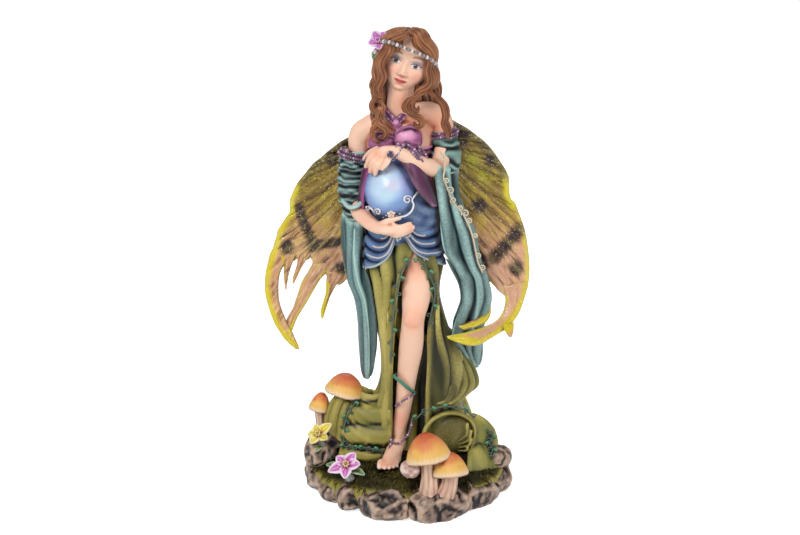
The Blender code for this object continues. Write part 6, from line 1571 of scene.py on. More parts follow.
def build_trims(size):
    """Beaded bands and strings, the ribbon round the leg, the green vines along the cloth and the scrolls down the
    long sleeve."""
    heap = Heap()
    violet = [(0.42, 0.13, 0.38), (0.82, 0.66, 0.80), (0.50, 0.20, 0.46), (0.28, 0.08, 0.26)]
    for centre, radii, lean in (((-24.6, 4.7, 161.2), (7.5, 6.7, 2.7), 14), ((16.2, 4.6, 171.2), (6.7, 6.2, 2.7), -14)):
        ring = egg(np.zeros(3), radii, 30, 110)
        ring = lean_about_y(ring, lean) + centre
        heap.skin(ring, lambda points: mix((0.24, 0.05, 0.20), (0.50, 0.13, 0.36), ramp(noise(points, 2.0), -0.5, 0.5)))
        turn = np.linspace(0, 2 * math.pi, 120)
        for level in (-1.5, 0.0, 1.5):
            grow = math.sqrt(1 - (level / 2.9) ** 2)
            loop = np.stack([(radii[0] * grow + 0.25) * np.cos(turn), (radii[1] * grow + 0.25) * np.sin(turn),
                np.full(120, level * 1.05)], axis=1)
            heap.beads(lean_about_y(loop, lean) + centre, 0.62, violet)
    bracelet(heap, in_view([(399, 143, -16), (396, 147, -19.5), (392, 153, -21.4), (389, 159, -20.4)]), 0.72, violet)
    bracelet(heap, in_view([(404, 144, -15), (401, 149, -19.4), (397, 155, -21.4), (393, 160, -20)]), 0.72, violet)
    gem = in_view([(390.5, 154.5, -22.6)])[0]
    heap.skin(egg(gem, (1.0, 0.8, 1.2), 14, 18), (0.08, 0.10, 0.24))
    heap.beads(gem + np.stack([1.35 * np.cos(np.linspace(0, 6.28, 30)), np.full(30, -0.1),
        1.5 * np.sin(np.linspace(0, 6.28, 30))], axis=1), 0.36, violet)
    bracelet(heap, in_view([(407, 146, -13), (413, 150, -17.6), (419, 158, -17.6), (425, 172, -12.6)]), 0.62, violet,
        (0.46, 0.17, 0.42), 1.25)
    bracelet(heap, in_view([(419, 150, -11), (420.6, 154, -15), (417, 160, -17.6), (411, 166, -16)]), 0.55, violet)
    bracelet(heap, in_view([(418, 146, -9.6), (424, 152, -13), (428, 160, -13), (429, 170, -9)]), 0.6, violet)
    crown = in_view([(379.6, 43, -3), (382, 41.4, -8), (387, 41.4, -11.6), (394, 43.4, -13.2), (402, 46.6, -12.6),
        (410, 49.8, -12.4), (418, 53.0, -12.8), (425, 56, -12.8), (431, 59.4, -10.4), (435, 63, -6.6), (436.6, 66, -2)])
    heap.skin(tube(spread(crown, 80) + (0, -0.9, 0), 0.6, 8), (0.25, 0.18, 0.20))
    heap.beads(spread(crown, 120) + (0, -0.9, 0), 0.95,
        [(0.86, 0.82, 0.80), (0.30, 0.18, 0.20), (0.80, 0.70, 0.66), (0.40, 0.24, 0.26)])

    ribbon = in_view([(396, 374, -9), (394.6, 376.5, -12.6), (400, 381, -14.6), (407, 387, -14.4), (413, 391.5, -12),
        (415.5, 392.5, -8)])
    heap.skin(tube(spread(ribbon, 70), 0.85, 12, FRONT, 0.5), (0.14, 0.48, 0.36))
    bracelet(heap,
        in_view([(414.6, 393, -8.6), (411, 396.4, -13), (404, 400.4, -14.2), (397.4, 404.6, -12),
            (395.4, 406, -8)]), 0.62, violet)
    bracelet(heap,
        in_view([(390.4, 419, -7), (389.4, 425, -11), (389, 433, -12.8), (391.4, 440.6, -14.6), (396, 443.6, -15.4),
            (402.4, 441, -14.8), (408, 434.4, -13), (411, 427, -11), (412.2, 419, -7)]), 0.66, violet)
    bracelet(heap, in_view([(391, 442, -15.4), (389.4, 449, -17.4), (386.4, 457, -20.4), (383.6, 463, -23.4)]), 0.6,
        violet)

    green = (0.05, 0.27, 0.14)
    vines = [
        [(411, 259, -15.4), (404, 267, -16), (399.4, 279, -15.8), (397.2, 292, -15.6), (394.4, 306, -15.2),
         (392.6, 322, -14.6), (391.6, 342, -13.8), (390.2, 362, -13)],
        [(417, 259, -15), (424, 266, -14.8), (430, 276, -13.8), (434.4, 288, -12.6), (434.6, 298, -12),
         (431.4, 312, -12.6), (428, 328, -12.8)],
        [(352, 392, -1.4), (355.6, 400, -5.2), (350.4, 410, -8.4), (345.4, 421, -10), (344.4, 433, -11),
         (343.6, 446, -12.4)],
        [(343.6, 446, -12.6), (352, 447.6, -14.8), (362, 447.6, -16), (372, 449, -17.2), (381, 451, -17)],
        [(416, 419, -16.6), (424, 411.6, -17.4), (434, 408.4, -17.6), (446, 406.4, -17.4), (457, 407.6, -16.6),
         (467, 411, -15.6), (474, 418, -14.8)],
        [(486, 429, -4.6), (492, 436, -6.4), (489.6, 443, -9), (492.4, 450, -10.6), (488.6, 459, -14)],
    ]
    for rows in vines:
        path = spread(in_view(rows), 110)
        heap.skin(tube(path, 0.42, 7), green)
        bumps = path[4::9]
        for k, place in enumerate(bumps):
            way = 1 if k % 2 else -1
            u, v = picture_place(place)
            heap.skin(tube(curl((u + 2.5 * way, v + 0.6), place[1] - 0.5, 2.4, 180 if way > 0 else 0, 0.9 * way), 0.3,
                6), green)
            if k % 3 == 0:
                heap.skin(egg(place + (1.5 * way, -0.7, 0.9), (1.15, 0.5, 0.7), 9, 12, 30 * way), (0.20, 0.55, 0.30))
    scroll = [(441, 152, -9.6), (444.4, 158, -10), (444.6, 168, -10.4), (443.4, 178, -11), (446.4, 186, -10.6),
        (451, 198, -9), (456, 206, -7.6), (463, 214, -6.4), (469, 226, -5.6), (473, 238, -4.6), (475.4, 250, -3.6),
         (477.8, 262, -2.6), (482, 272, -1.4)]
    heap.skin(tube(spread(in_view(scroll), 130), 0.45, 8), CREAM)
    for u, v, y, reach, start in ((441.4, 157, -10.6, 2.6, 0), (446.4, 181, -11.4, 2.4, 180),
        (450.4, 190.6, -10.4, 3.2, 200), (453.4, 200.4, -9, 2.6, 120), (460.4, 208.4, -7.6, 2.4, 200),
                                 (465.4, 213.4, -6.8, 3.4, 160), (469.4, 221, -6, 2.4, 200),
                                  (475.4, 236, -4.6, 2.2, 180), (478.4, 256, -3.2, 2.4, 200),
                                   (482.6, 268, -1.6, 2.6, 180)):
        heap.skin(tube(curl((u, v), y, reach * 1.25, start, 1.2), 0.36, 7), CREAM)
    finish = finish_of("trim_paint", wash_and_shade=(0.08, 0.04, 0.08), wash_and_shade_share=0.9, brush=(1, 1, 1), brush_share=0.16,
        mottle=0.08, bump=0.03, coat=0.4)
    return heap.finish("trims", finish, rounds=3)


def build_hair_flower(size):
    """The pink flower over the figure's right temple, with a bud and a leaf below it."""
    heap = Heap()
    tips = [(-17.6, -6, 214.2), (-15.4, -5, 219.4), (-10.2, -5.4, 219.2), (-8.4, -8.4, 214.8), (-12.8, -8.4, 211.6)]
    bloom(heap, (-12.6, -6.6, 215.4), tips, (-0.35, -0.85, 0.35), 2.5, (0.80, 0.42, 0.76), (0.92, 0.78, 0.92),
        (0.72, 0.26, 0.62), 0.8, (0.90, 0.62, 0.84))
    leaf(heap, (-13, -4.6, 212), (-15.6, -4.6, 207), (-0.4, -0.9, 0.1), 1.5, (0.30, 0.40, 0.22))
    heap.skin(egg((-14.6, -5.4, 210.6), (1.1, 1.0, 1.6), 14, 16, 20), (0.90, 0.72, 0.80))
    finish = finish_of("hair_flower_paint", wash_and_shade=(0.45, 0.10, 0.28), wash_and_shade_share=0.5, brush=(1, 1, 1), brush_share=0.4,
        mottle=0.05, bump=0.03)
    return heap.finish("hair_flower", finish, rounds=3)


# Wings

RIGHT_EDGE = [
    (394, 132, 8), (378, 127, 9.5), (353, 135, 12), (340, 142, 14), (327, 152, 15.5), (320, 158.5, 16),
     (312.5, 164, 17), (303, 176, 17.5), (298, 182, 18), (294.5, 188, 18),
    (292, 194, 18), (289.5, 200, 18), (289.8, 212, 18), (285.5, 218, 18), (281.5, 224, 17.5), (277.5, 230, 17.5),
     (276.5, 236, 17), (274.5, 242, 17), (273, 248, 16), (270, 255, 16),
    (269, 264, 15), (276, 268, 15), (284, 266, 15), (290, 263, 15), (296, 257, 15), (301, 262, 15), (306, 261, 15),
     (310, 256, 15), (313, 263, 15), (320, 271, 14.5), (325, 272, 14),
    (328, 279, 14), (335, 281, 14), (338, 285.5, 13.6), (342, 284, 13.5), (347, 279, 13.5), (352, 272, 14),
     (360, 264, 14.4), (372, 256, 13.6), (384, 240, 11), (392, 220, 8),
]
LEFT_EDGE = [
    (408, 122, 8), (428, 114, 10), (449.5, 118, 12), (456, 122, 12.5), (467, 128, 14), (475, 134, 15), (483, 140, 15.5),
     (489, 146, 16), (494, 152, 16.5), (498, 158, 17), (502, 164, 17.5),
    (506, 170, 18), (509, 177, 18), (509.6, 194, 18), (511, 199, 18), (515.4, 203, 18), (518.5, 212, 17.5),
     (521, 218, 17), (523, 224, 16.5), (525, 230, 16), (526.6, 238, 15.5), (528, 248, 14),
    (529, 256, 13), (529.6, 268, 12), (529, 280, 10), (527.6, 289, 9.5), (517, 297, 9), (506, 297, 9), (499, 290.5, 10),
     (494, 284.5, 10.5), (490.6, 281, 11), (486, 285, 11), (476, 284, 11.5),
    (466, 276, 13), (456, 268, 13.5), (446, 254, 12), (430, 236, 9), (420, 220, 8),
]
RIGHT_TAILS = [
    [(273, 289, 248, 16.4), (270, 288, 254, 16), (268, 286, 262, 15), (266, 281, 271, 14.2), (265, 279, 280, 13),
     (265, 278.6, 290, 11.8), (266.4, 279.2, 299, 10.6), (269, 281.4, 308, 9.4), (272, 285, 317, 8.2),
     (276, 289, 326, 7), (280, 292.6, 332, 6), (284, 295, 338, 5.2), (290, 298, 344, 4.4), (296, 299.6, 349, 3.8)],
    [(283, 298, 252, 15.4), (284, 294, 260, 15), (284, 291, 267, 14.4), (284, 289, 274, 13.8), (284.4, 287.6, 281, 13),
     (285.6, 286.4, 290, 12)],
    [(297, 310, 252, 15.4), (297.6, 306.4, 260, 15), (296.6, 302.6, 266, 14.4), (294.8, 299.4, 272, 13.8),
     (293, 296.6, 278, 13.2), (292.6, 293.6, 283.6, 12.6)],
    [(313, 332, 262, 15), (308.6, 328, 271, 14.4), (304, 321.6, 278, 13.6), (301, 317.4, 284, 13),
     (299, 314, 290, 12.4), (297, 310.4, 296, 11.6), (295, 307, 302, 10.8), (293, 303.4, 308, 10),
     (289.4, 299.6, 314, 9.2), (286.6, 296.4, 320, 8.6), (285.6, 294, 326, 8), (286.6, 292, 331, 7.4)],
    [(327, 347, 270, 14.4), (326.6, 343, 278, 13.8), (326, 336.4, 285, 13.2), (326, 333, 291, 12.6),
     (324.8, 330, 297, 12), (323, 328, 303, 11.4), (321.2, 326, 309, 10.8), (320.8, 324.4, 314, 10.4),
      (321.6, 323, 318.6, 10)],
]
LEFT_TAIL = [
    ((501, 285, 10), (528.4, 280, 10)), ((504, 292, 9), (527, 290, 9)), ((505.4, 299, 8), (524.4, 298.4, 8)),
     ((504.6, 306, 7), (522, 306, 7)), ((502.6, 312.6, 5.8), (519, 313, 5.8)),
    ((498.6, 318.4, 4.8), (514, 321, 4.4)), ((494.4, 322, 3), (509, 327.6, 2)), ((489, 324.8, 0.6), (500, 333, -0.6)),
     ((482, 327.4, -3), (491, 338.4, -4)), ((474, 330, -7), (481, 344, -8)),
    ((465.4, 332.4, -11), (470, 346, -12)), ((456, 334.4, -14), (459, 343, -14.6)),
     ((447, 336, -16.6), (447.6, 338.2, -16.6)),
]
SECOND_TAIL = [
    ((470, 272, 12.6), (489, 278, 11.4)), ((474, 285, 11), (489, 286, 10.4)), ((477, 296, 9), (490, 296, 8.4)),
     ((478.6, 306, 6.6), (491, 306, 6)), ((477.4, 313, 3.6), (490.4, 315, 3)),
    ((473, 319, 0), (486, 322, -0.6)), ((466, 323, -3.4), (476.6, 327, -4)), ((458, 326, -6.4), (464, 330, -7)),
]


def wing_paint(points, side):
    """Yellow-green above and pinkish taupe below, streaked along the ribs, with dark spots and bars and a bright
    yellow rim."""
    u, v = picture_place(points)
    root = (398, 138) if side < 0 else (410, 138)
    angle = np.arctan2(v - root[1], (u - root[0]) * side)
    reach = np.hypot(u - root[0], v - root[1])
    streak = noise(np.stack([angle * 60, reach * 0.06, 0 * reach], axis=-1), 1.0, 3)
    thread = noise(np.stack([angle * 150, reach * 0.12, 0 * reach], axis=-1), 1.0, 8)
    shade = mix((0.56, 0.46, 0.16), (0.82, 0.60, 0.48), ramp(v + 16 * streak, 190, 256))
    shade = mix(shade, (0.74, 0.66, 0.13), ramp(streak + 0.7 * thread, 0.15, 0.9) * (0.85 - 0.45 * ramp(v, 200, 290)))
    shade = mix(shade, (0.40, 0.24, 0.15), ramp(-streak - 0.6 * thread, 0.15, 1.0) * 0.7)
    shade = mix(shade, (0.93, 0.80, 0.66), ramp(thread, 0.25, 0.8) * ramp(v, 205, 270) * 0.75)
    dark = (0.15, 0.05, 0.07)
    if side < 0:
        top = line_distance(u, v,
            [(378, 127), (353, 135), (340, 142), (327, 152), (312.5, 164), (303, 176), (296, 187)])
        rim = line_distance(u, v,
            [(289, 212), (284, 220), (277, 231), (273, 248), (267, 264), (263, 285), (266, 302), (275, 328),
             (296, 350)])
        tab = line_distance(u, v, [(294, 188), (289, 200), (290, 212)])
        spots = [(332, 158, 7), (287, 247, 6.4), (341, 268, 5.6), (314, 245, 6.6)]
        bars = [([(299.4, 209), (305.5, 227), (314, 245)], 5.0), ([(314, 245), (328, 243.6), (346, 240)], 4.8)]
        yellow = [([(283, 255), (284, 290)], 1.2), ([(327, 285), (321.4, 318)], 3.0),
            ([(326, 272), (310, 298), (290, 331)], 2.4), ([(304, 276), (297, 296)], 1.2)]
    else:
        top = line_distance(u, v,
            [(428, 114), (449.5, 118), (467, 128), (483, 140), (494, 152), (502, 164), (509, 177)])
        rim = line_distance(u, v,
            [(520, 208), (527, 230), (532, 256), (531, 280), (525, 302), (516, 318), (500, 334), (482, 345),
             (447, 338)])
        tab = line_distance(u, v, [(508, 180), (509.5, 196), (514, 204)])
        spots = [(460, 136, 9), (492, 159, 7.4), (479, 206, 7), (516, 269, 6.4), (480, 259, 6)]
        bars = [([(521, 228), (510, 240), (494, 258)], 6.4), ([(476, 250), (484, 266)], 5.0)]
        yellow = [([(489, 284), (491, 310), (480, 324), (462, 329)], 4.0),
            ([(506, 298), (500, 316), (478, 329), (452, 335)], 2.6)]
        shade = mix(shade, (0.70, 0.74, 0.16), np.exp(-(((u - 473) / 6) ** 2) - ((v - 160) / 9) ** 2) * 0.7)
        shade = mix(shade, (0.70, 0.72, 0.16), np.exp(-(((u - 483) / 6) ** 2) - ((v - 176) / 8) ** 2) * 0.7)
        shade = mix(shade, (0.86, 0.66, 0.58), ramp(v, 232, 268) * 0.55)
    broken = 1 + 0.14 * streak + 0.12 * thread
    shade = mix(shade, (0.86, 0.79, 0.08), (1 - ramp(rim * broken, 2.4, 8.6)) * ramp(v, 204, 226) * 0.95)
    shade = mix(shade, (0.85, 0.80, 0.10), (1 - ramp(tab * broken, 2.6, 8.0)) * 0.95)
    for rows, wide in yellow:
        shade = mix(shade, (0.86, 0.80, 0.12), (1 - ramp(line_distance(u, v, rows), wide * 0.5, wide * 1.4)) * 0.9)
    shade = mix(shade, (0.19, 0.16, 0.06), (1 - ramp(top * broken, 1.5, 10.0)) * (1 - ramp(v, 168, 190)) * 0.95)
    shade = mix(shade, (0.24, 0.15, 0.10), (1 - ramp(reach * broken, 42, 66)) * 0.55)
    for x, y, wide in spots:
        shade = mix(shade, dark, (1 - ramp(np.hypot(u - x, v - y) * broken, wide * 0.7, wide * 1.45)) * 0.97)
    for rows, wide in bars:
        shade = mix(shade, dark, (1 - ramp(line_distance(u, v, rows) * broken, wide * 0.55, wide * 1.35)) * 0.96)
    return np.clip(shade, 0, 1)


def ribbed(grid, side):
    """A wing's surface raised into ribs that fan out from its root, with finer veins between them."""
    u, v = picture_place(grid)
    root = (398, 138) if side < 0 else (410, 138)
    angle = np.arctan2(v - root[1], (u - root[0]) * side)
    reach = np.hypot(u - root[0], v - root[1])
    bend = 0.03 * np.sin(reach / 23.0)
    rib = np.cos(38 * (angle + bend)) * 0.5 + 0.5
    vein = noise(np.stack([(angle + bend) * 42, reach * 0.05, 0 * reach], axis=-1), 1.0, 5)
    fine = noise(np.stack([(angle + bend) * 110, reach * 0.12, 0 * reach], axis=-1), 1.0, 11)
    push = (0.42 * rib**2 + 0.30 * vein + 0.14 * fine) * ramp(reach, 20, 70)
    return grid + np.array([0.0, -1.0, 0.1]) * push[..., None]


def build_wing(size, side):
    """One wing: a membrane stretched from its root to a ragged edge, and tails that run on from it, each a strip
    between two edges."""
    heap = Heap()
    edge = straight(in_view(RIGHT_EDGE if side < 0 else LEFT_EDGE), 160)
    share = np.linspace(0, 1, 160)[:, None]
    root = np.array([(-5.0, 7.0, 167.0) if side < 0 else (-1.0, 7.0, 169.0)]) * (1 - share) + np.array([(-5.0, 7.0,
        147.0) if side < 0 else (-1.0, 7.0, 149.0)]) * share
    t = (np.linspace(0, 1, 54) ** 0.9)[:, None, None]
    grid = root[None] * (1 - t) + edge[None] * t
    grid = grid + np.array([0.0, 1.0, 0.0]) * (4.6 * np.sin(math.pi * np.minimum(t, 1.0) ** 0.8))
    grid = ribbed(grid, side)
    heap.sheet(grid, 2.0, lambda points: wing_paint(points, side), lip=1.6)
    tails = []
    if side < 0:
        for rows in RIGHT_TAILS:
            tails.append([((a, v, y), (b, v, y)) for a, b, v, y in rows])
    else:
        tails = [LEFT_TAIL, SECOND_TAIL]
    for rows in tails:
        ends = in_view(np.array(rows, float))
        count = 9 * len(rows)
        both = spread(ends, count)
        s = np.linspace(0, 1, 16)[None, :, None]
        strip = both[:, :1] * (1 - s) + both[:, 1:] * s
        wide = np.linalg.norm(both[:, 1] - both[:, 0], axis=1)[:, None, None]
        strip = strip + np.array([0.0, -1.0,
            0.0]) * (0.10 * wide * np.sin(math.pi * s) + 0.12 * np.sin(6 * math.pi * s) * np.minimum(wide / 5, 1))
        heap.sheet(strip, 2.1, lambda points: wing_paint(points, side), lip=1.3)
    if side > 0:
        drop = patch(in_view([[(502, 324, 1.4), (508, 324, 1.6), (514, 323, 1.8)],
            [(505, 331, -2.4), (509, 331, -2.4), (513.4, 331, -2.4)],
             [(508.6, 336.6, -5), (510.4, 337, -5), (512, 336.6, -5)]]), 24, 14)
        heap.sheet(drop, 1.8, lambda points: wing_paint(points, side), lip=1.0)
    name = "wing_paint_right" if side < 0 else "wing_paint_left"
    return heap.finish("right_wing_skin" if side < 0 else "left_wing_skin", glitter_finish(name), "wing_paint", 5)


def glitter_group():
    """Specks of glitter set in varnish: small cells, a few of which shine, as a mask that is brighter on some of
    them."""
    group = bpy.data.node_groups.new("wing_glitter", "ShaderNodeTree")
    for label, start in (("Size", 2600.0), ("Amount", 0.055)):
        made = group.interface.new_socket(label, in_out="INPUT", socket_type="NodeSocketFloat")
        made.default_value = start
    group.interface.new_socket("Speck", in_out="OUTPUT", socket_type="NodeSocketFloat")
    nodes = group.nodes
    given = nodes.new("NodeGroupInput")
    out = nodes.new("NodeGroupOutput")
    place = nodes.new("ShaderNodeTexCoord")
    cells = nodes.new("ShaderNodeTexVoronoi")
    wire(group, place.outputs["Object"], cells.inputs["Vector"])
    wire(group, given.outputs["Size"], cells.inputs["Scale"])
    split = nodes.new("ShaderNodeSeparateColor")
    wire(group, cells.outputs["Color"], split.inputs[0])
    chosen = worked(group, "LESS_THAN", split.outputs[0], given.outputs["Amount"])
    wire(group, worked(group, "MULTIPLY", chosen, split.outputs[1]), out.inputs["Speck"])
    return group


def glitter_finish(name):
    """The wings' finish: the painted resin with glitter over it."""
    material = finish_of(name, wash_and_shade=(0.12, 0.06, 0.04), wash_and_shade_share=1.0, brush=(0.90, 0.82, 0.50), brush_share=0.3,
        mottle=0.15, bump=0.06, coat=0.2)
    tree = material.node_tree
    shader = tree.nodes["Principled BSDF"]
    specks = tree.nodes.new("ShaderNodeGroup")
    specks.node_tree = bpy.data.node_groups.get("wing_glitter") or glitter_group()
    ground = shader.inputs["Base Color"].links[0].from_socket
    lift = tree.nodes.new("ShaderNodeMix")
    lift.data_type = "RGBA"
    lift.blend_type = "SCREEN"
    wire(tree, specks.outputs["Speck"], lift.inputs[0])
    wire(tree, ground, lift.inputs[6])
    lift.inputs[7].default_value = (0.62, 0.54, 0.26, 1)
    wire(tree, lift.outputs[2], shader.inputs["Base Color"])
    wire(tree, specks.outputs["Speck"], shader.inputs["Metallic"])
    return material


# Shadows, stage and the add-on


def settle_shadows(pieces):
    """Painted shade for narrow places: every piece's points fill cells of a coarse lattice, and a point is darkened as
    if in shadow where the cells just in front of it are full."""
    places = [points_of(piece.data) for piece in pieces]
    everything = np.concatenate(places)
    low = everything.min(axis=0) - 6 * SHADOW_CELL
    shape = np.ceil((everything.max(axis=0) - low) / SHADOW_CELL + 12).astype(int)
    full = np.zeros(shape, np.float32)
    at = ((everything - low) / SHADOW_CELL).astype(int)
    full[at[:, 0], at[:, 1], at[:, 2]] = 1
    for axis in range(3):
        full = (np.roll(full, 1, axis) + full * 2 + np.roll(full, -1, axis)) / 4
    for piece, points in zip(pieces, places):
        normal = normals_of(piece.data)
        dim = np.zeros(len(points))
        for reach, weight in SHADOW_REACHES:
            probe = ((points + normal * reach - low) / SHADOW_CELL).astype(int)
            probe = np.clip(probe, 0, shape - 1)
            dim += weight * full[probe[:, 0], probe[:, 1], probe[:, 2]]
        shadow = piece.data.attributes.new("Shadow", "FLOAT", "POINT")
        shadow.data.foreach_set("value", np.clip(dim * SHADOW_STRENGTH, 0, SHADOW_MOST).astype(np.float32))


def plain_surface(name, colour):
    """A pale matte surface that the camera and reflections see a little brighter, so that it stays near white."""
    material = bpy.data.materials.new(name)
    material.use_nodes = True
    tree = material.node_tree
    shader = tree.nodes["Principled BSDF"]
    shader.inputs["Base Color"].default_value = (*colour, 1)
    shader.inputs["Roughness"].default_value = 0.9
    rays = tree.nodes.new("ShaderNodeLightPath")
    seen = worked(tree, "MAXIMUM", rays.outputs["Is Camera Ray"], rays.outputs["Is Glossy Ray"])
    seen = worked(tree, "MAXIMUM", seen, rays.outputs["Is Transmission Ray"])
    shader.inputs["Emission Color"].default_value = (1, 1, 1, 1)
    wire(tree, worked(tree, "MULTIPLY", seen, FLOOR_GLOW), shader.inputs["Emission Strength"])
    return material


def area_light(name, place, aim, side, power):
    """A round soft lamp of this width, aimed at a point."""
    data = bpy.data.lights.new(name, "AREA")
    data.shape = "DISK"
    data.size = side
    data.energy = power
    lamp = linked(name, data)
    from_aim = np.asarray(place, float) - np.asarray(aim, float)
    lamp.location = place
    turn = math.atan2(from_aim[0], -from_aim[1])
    tilt = math.acos(from_aim[2] / np.linalg.norm(from_aim))
    lamp.rotation_euler = (tilt, 0, turn)
    return lamp


def build_stage(stage):
    """Floor, camera, lamps and an even pale world."""
    mesh = bpy.data.meshes.new("floor")
    turn = np.linspace(0, 2 * math.pi, 96, endpoint=False)
    mesh.from_pydata(np.stack([FLOOR_RADIUS * np.cos(turn), FLOOR_RADIUS * np.sin(turn), 0 * turn], axis=1).tolist(),
        [], [list(range(96))])
    mesh.materials.append(plain_surface("floor_paint", (0.86, 0.86, 0.86)))
    floor = linked("floor", mesh)
    data = bpy.data.cameras.new("camera")
    data.sensor_width = SENSOR_WIDTH
    data.lens = stage.lens
    data.clip_start = 0.01
    camera = linked("camera", data)
    camera.location = [side * MM for side in CAMERA_PLACE]
    camera.rotation_euler = (math.pi / 2 - CAMERA_PITCH, 0, 0)
    bpy.context.scene.camera = camera
    area_light("key", (-0.45, -0.75, 0.85), (0, 0, 0.11), 0.6, stage.key)
    area_light("fill", (0.7, -0.6, 0.45), (0, 0, 0.11), 0.8, stage.fill)
    area_light("rim", (0.1, 0.8, 0.8), (0, 0, 0.12), 0.6, stage.rim)
    world = bpy.data.worlds.new("world")
    bpy.context.scene.world = world
    world.use_nodes = True
    back = world.node_tree.nodes["Background"]
    rays = world.node_tree.nodes.new("ShaderNodeLightPath")
    seen = worked(world.node_tree, "MAXIMUM", rays.outputs["Is Camera Ray"], rays.outputs["Is Transmission Ray"])
    share = world.node_tree.nodes.new("ShaderNodeMapRange")
    share.inputs["To Min"].default_value = stage.ambient
    share.inputs["To Max"].default_value = 1.0
    wire(world.node_tree, seen, share.inputs["Value"])
    back.inputs["Color"].default_value = (1, 1, 1, 1)
    wire(world.node_tree, share.outputs["Result"], back.inputs["Strength"])
    bpy.context.scene.view_settings.view_transform = "Standard"


def colour_prop(label, about, start):
    """A colour setting, written as it is displayed."""
    return bpy.props.FloatVectorProperty(name=label, description=about, default=start, size=3, min=0, max=1,
        subtype="COLOR_GAMMA")


class FigurineBase(bpy.types.PropertyGroup):
    """Sizes of the rocky base."""

    width: bpy.props.FloatProperty(name="Width", description="Width of the base's oval in millimetres", default=101.0,
        min=50, max=200)
    depth: bpy.props.FloatProperty(name="Depth", description="Depth of the base's oval in millimetres", default=88.0,
        min=50, max=200)
    blades: bpy.props.IntProperty(name="Blades of moss", description="How many blades of moss stand on the base",
        default=2200, min=0, max=6000)


class FigurinePaint(bpy.types.PropertyGroup):
    """Colours of the figure's paints."""

    skin_colour: colour_prop("Skin", "Ground colour of the skin", (0.99, 0.81, 0.70))
    bodice_colour: colour_prop("Bodice", "Lighter colour of the bodice", (0.52, 0.20, 0.40))
    # Also the painted shade in the bodice's ruches and under its cups.
    bodice_dark: colour_prop("Bodice hollows", "Darker colour of the bodice", (0.24, 0.06, 0.19))
    # The belly's blue edge, deepened as painted shade away from the light, and its painted highlight.
    belly_edge: colour_prop("Belly edge", "Blue round the edge of the belly", (0.26, 0.42, 0.70))
    belly_highlight: colour_prop("Belly light", "Pale blue at the top of the belly", (0.76, 0.86, 0.96))
    hip_colour: colour_prop("Hip panels", "Denim blue of the hip panels", (0.19, 0.33, 0.55))


class FigurineStage(bpy.types.PropertyGroup):
    """Camera and lamps."""

    lens: bpy.props.FloatProperty(name="Lens", description="Focal length of the camera", default=CAMERA_LENS, min=10,
        max=300, unit="CAMERA")
    key: bpy.props.FloatProperty(name="Key lamp", description="Power of the lamp at the left front", default=6.8, min=0,
        unit="POWER")
    fill: bpy.props.FloatProperty(name="Fill lamp", description="Power of the lamp at the right front", default=2.6,
        min=0, unit="POWER")
    rim: bpy.props.FloatProperty(name="Back lamp", description="Power of the lamp behind", default=3.0, min=0,
        unit="POWER")
    ambient: bpy.props.FloatProperty(name="Even light", description="Strength of the world's even light", default=0.36,
        min=0, max=2)


class FIGURINE_OT_stage(bpy.types.Operator):
    """Adds the floor, the camera and the lamps"""

    bl_idname = "figurine.stage"
    bl_label = "Stage"

    def execute(self, context):
        build_stage(context.scene.figurine_stage)
        return {"FINISHED"}


class FIGURINE_OT_base(bpy.types.Operator):
    """Adds the boulders, the moss, the mushrooms and the flowers of the base"""

    bl_idname = "figurine.base"
    bl_label = "Base"

    def execute(self, context):
        size = context.scene.figurine_base
        for build in (build_boulders, build_moss, build_mushrooms, build_flowers):
            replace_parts(build(size), "figure")
        return {"FINISHED"}


class FIGURINE_OT_body(bpy.types.Operator):
    """Adds the skin, the head and the belly"""

    bl_idname = "figurine.body"
    bl_label = "Body"

    def execute(self, context):
        size = context.scene.figurine_paint
        for build in (build_skin, build_head, build_belly, build_filigree):
            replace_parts(build(size), "figure")
        return {"FINISHED"}


class FIGURINE_OT_hair(bpy.types.Operator):
    """Adds the hair and its flower"""

    bl_idname = "figurine.hair"
    bl_label = "Hair"

    def execute(self, context):
        size = context.scene.figurine_paint
        for build in (build_hair, build_hair_flower):
            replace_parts(build(size), "figure")
        return {"FINISHED"}


class FIGURINE_OT_dress(bpy.types.Operator):
    """Adds the bodice, the hip panels, the skirt and the sleeves"""

    bl_idname = "figurine.dress"
    bl_label = "Dress"

    def execute(self, context):
        size = context.scene.figurine_paint
        for build in (build_bodice, build_hips, build_skirt, build_sleeves):
            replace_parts(build(size), "figure")
        return {"FINISHED"}


class FIGURINE_OT_trims(bpy.types.Operator):
    """Adds the beads, ribbons, vines and scrolls"""

    bl_idname = "figurine.trims"
    bl_label = "Trims"

    def execute(self, context):
        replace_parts(build_trims(context.scene.figurine_paint), "figure")
        return {"FINISHED"}


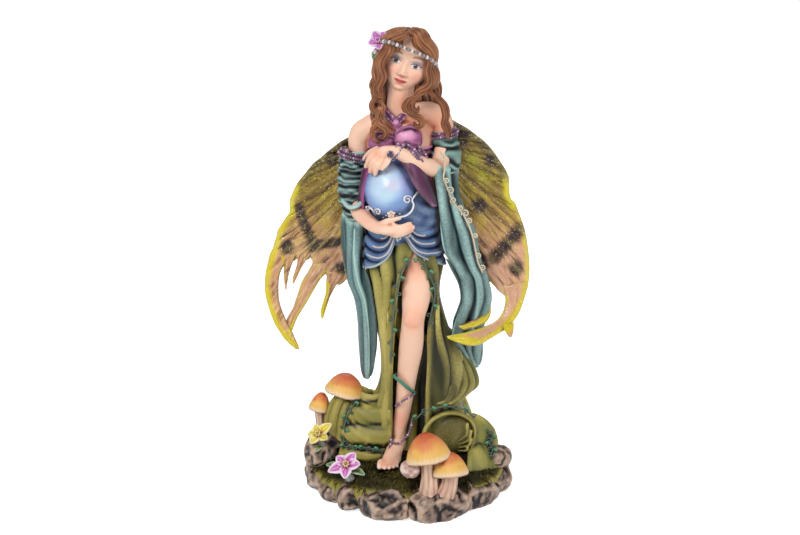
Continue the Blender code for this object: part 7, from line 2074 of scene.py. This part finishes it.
class FIGURINE_OT_wings(bpy.types.Operator):
    """Adds the two wings"""

    bl_idname = "figurine.wings"
    bl_label = "Wings"

    def execute(self, context):
        size = context.scene.figurine_paint
        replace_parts(build_wing(size, -1), "right_wing")
        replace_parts(build_wing(size, 1), "left_wing")
        return {"FINISHED"}


class FIGURINE_OT_shadows(bpy.types.Operator):
    """Lays painted shade, in each finish's wash colour, in the narrow places between the pieces"""

    bl_idname = "figurine.shadows"
    bl_label = "Shadow wash"

    def execute(self, context):
        settle_shadows(MADE)
        return {"FINISHED"}


STEPS = (FIGURINE_OT_stage, FIGURINE_OT_base, FIGURINE_OT_body, FIGURINE_OT_hair, FIGURINE_OT_dress, FIGURINE_OT_trims,
    FIGURINE_OT_wings, FIGURINE_OT_shadows)


class FIGURINE_PT_panel(bpy.types.Panel):
    """Lists the figurine's sizes and steps in the sidebar."""

    bl_label = "Fairy Figurine"
    bl_idname = "FIGURINE_PT_panel"
    bl_space_type = "VIEW_3D"
    bl_region_type = "UI"
    bl_category = "Figurine"

    def draw(self, context):
        for settings in (context.scene.figurine_base, context.scene.figurine_paint, context.scene.figurine_stage):
            box = self.layout.box()
            for name in settings.__annotations__:
                box.prop(settings, name)
        for step in STEPS:
            self.layout.operator(step.bl_idname)


CLASSES = (FigurineBase, FigurinePaint, FigurineStage, *STEPS, FIGURINE_PT_panel)


def register():
    """Registers the classes and their settings."""
    for made in CLASSES:
        bpy.utils.register_class(made)
    bpy.types.Scene.figurine_base = bpy.props.PointerProperty(type=FigurineBase)
    bpy.types.Scene.figurine_paint = bpy.props.PointerProperty(type=FigurinePaint)
    bpy.types.Scene.figurine_stage = bpy.props.PointerProperty(type=FigurineStage)


def unregister():
    """Removes the settings and the classes."""
    del bpy.types.Scene.figurine_stage
    del bpy.types.Scene.figurine_paint
    del bpy.types.Scene.figurine_base
    for made in reversed(CLASSES):
        bpy.utils.unregister_class(made)


def main():
    """Builds the whole scene through its operators."""
    register()
    for step in STEPS:
        group, name = step.bl_idname.split(".")
        getattr(getattr(bpy.ops, group), name)()


if __name__ == "__main__":
    main()
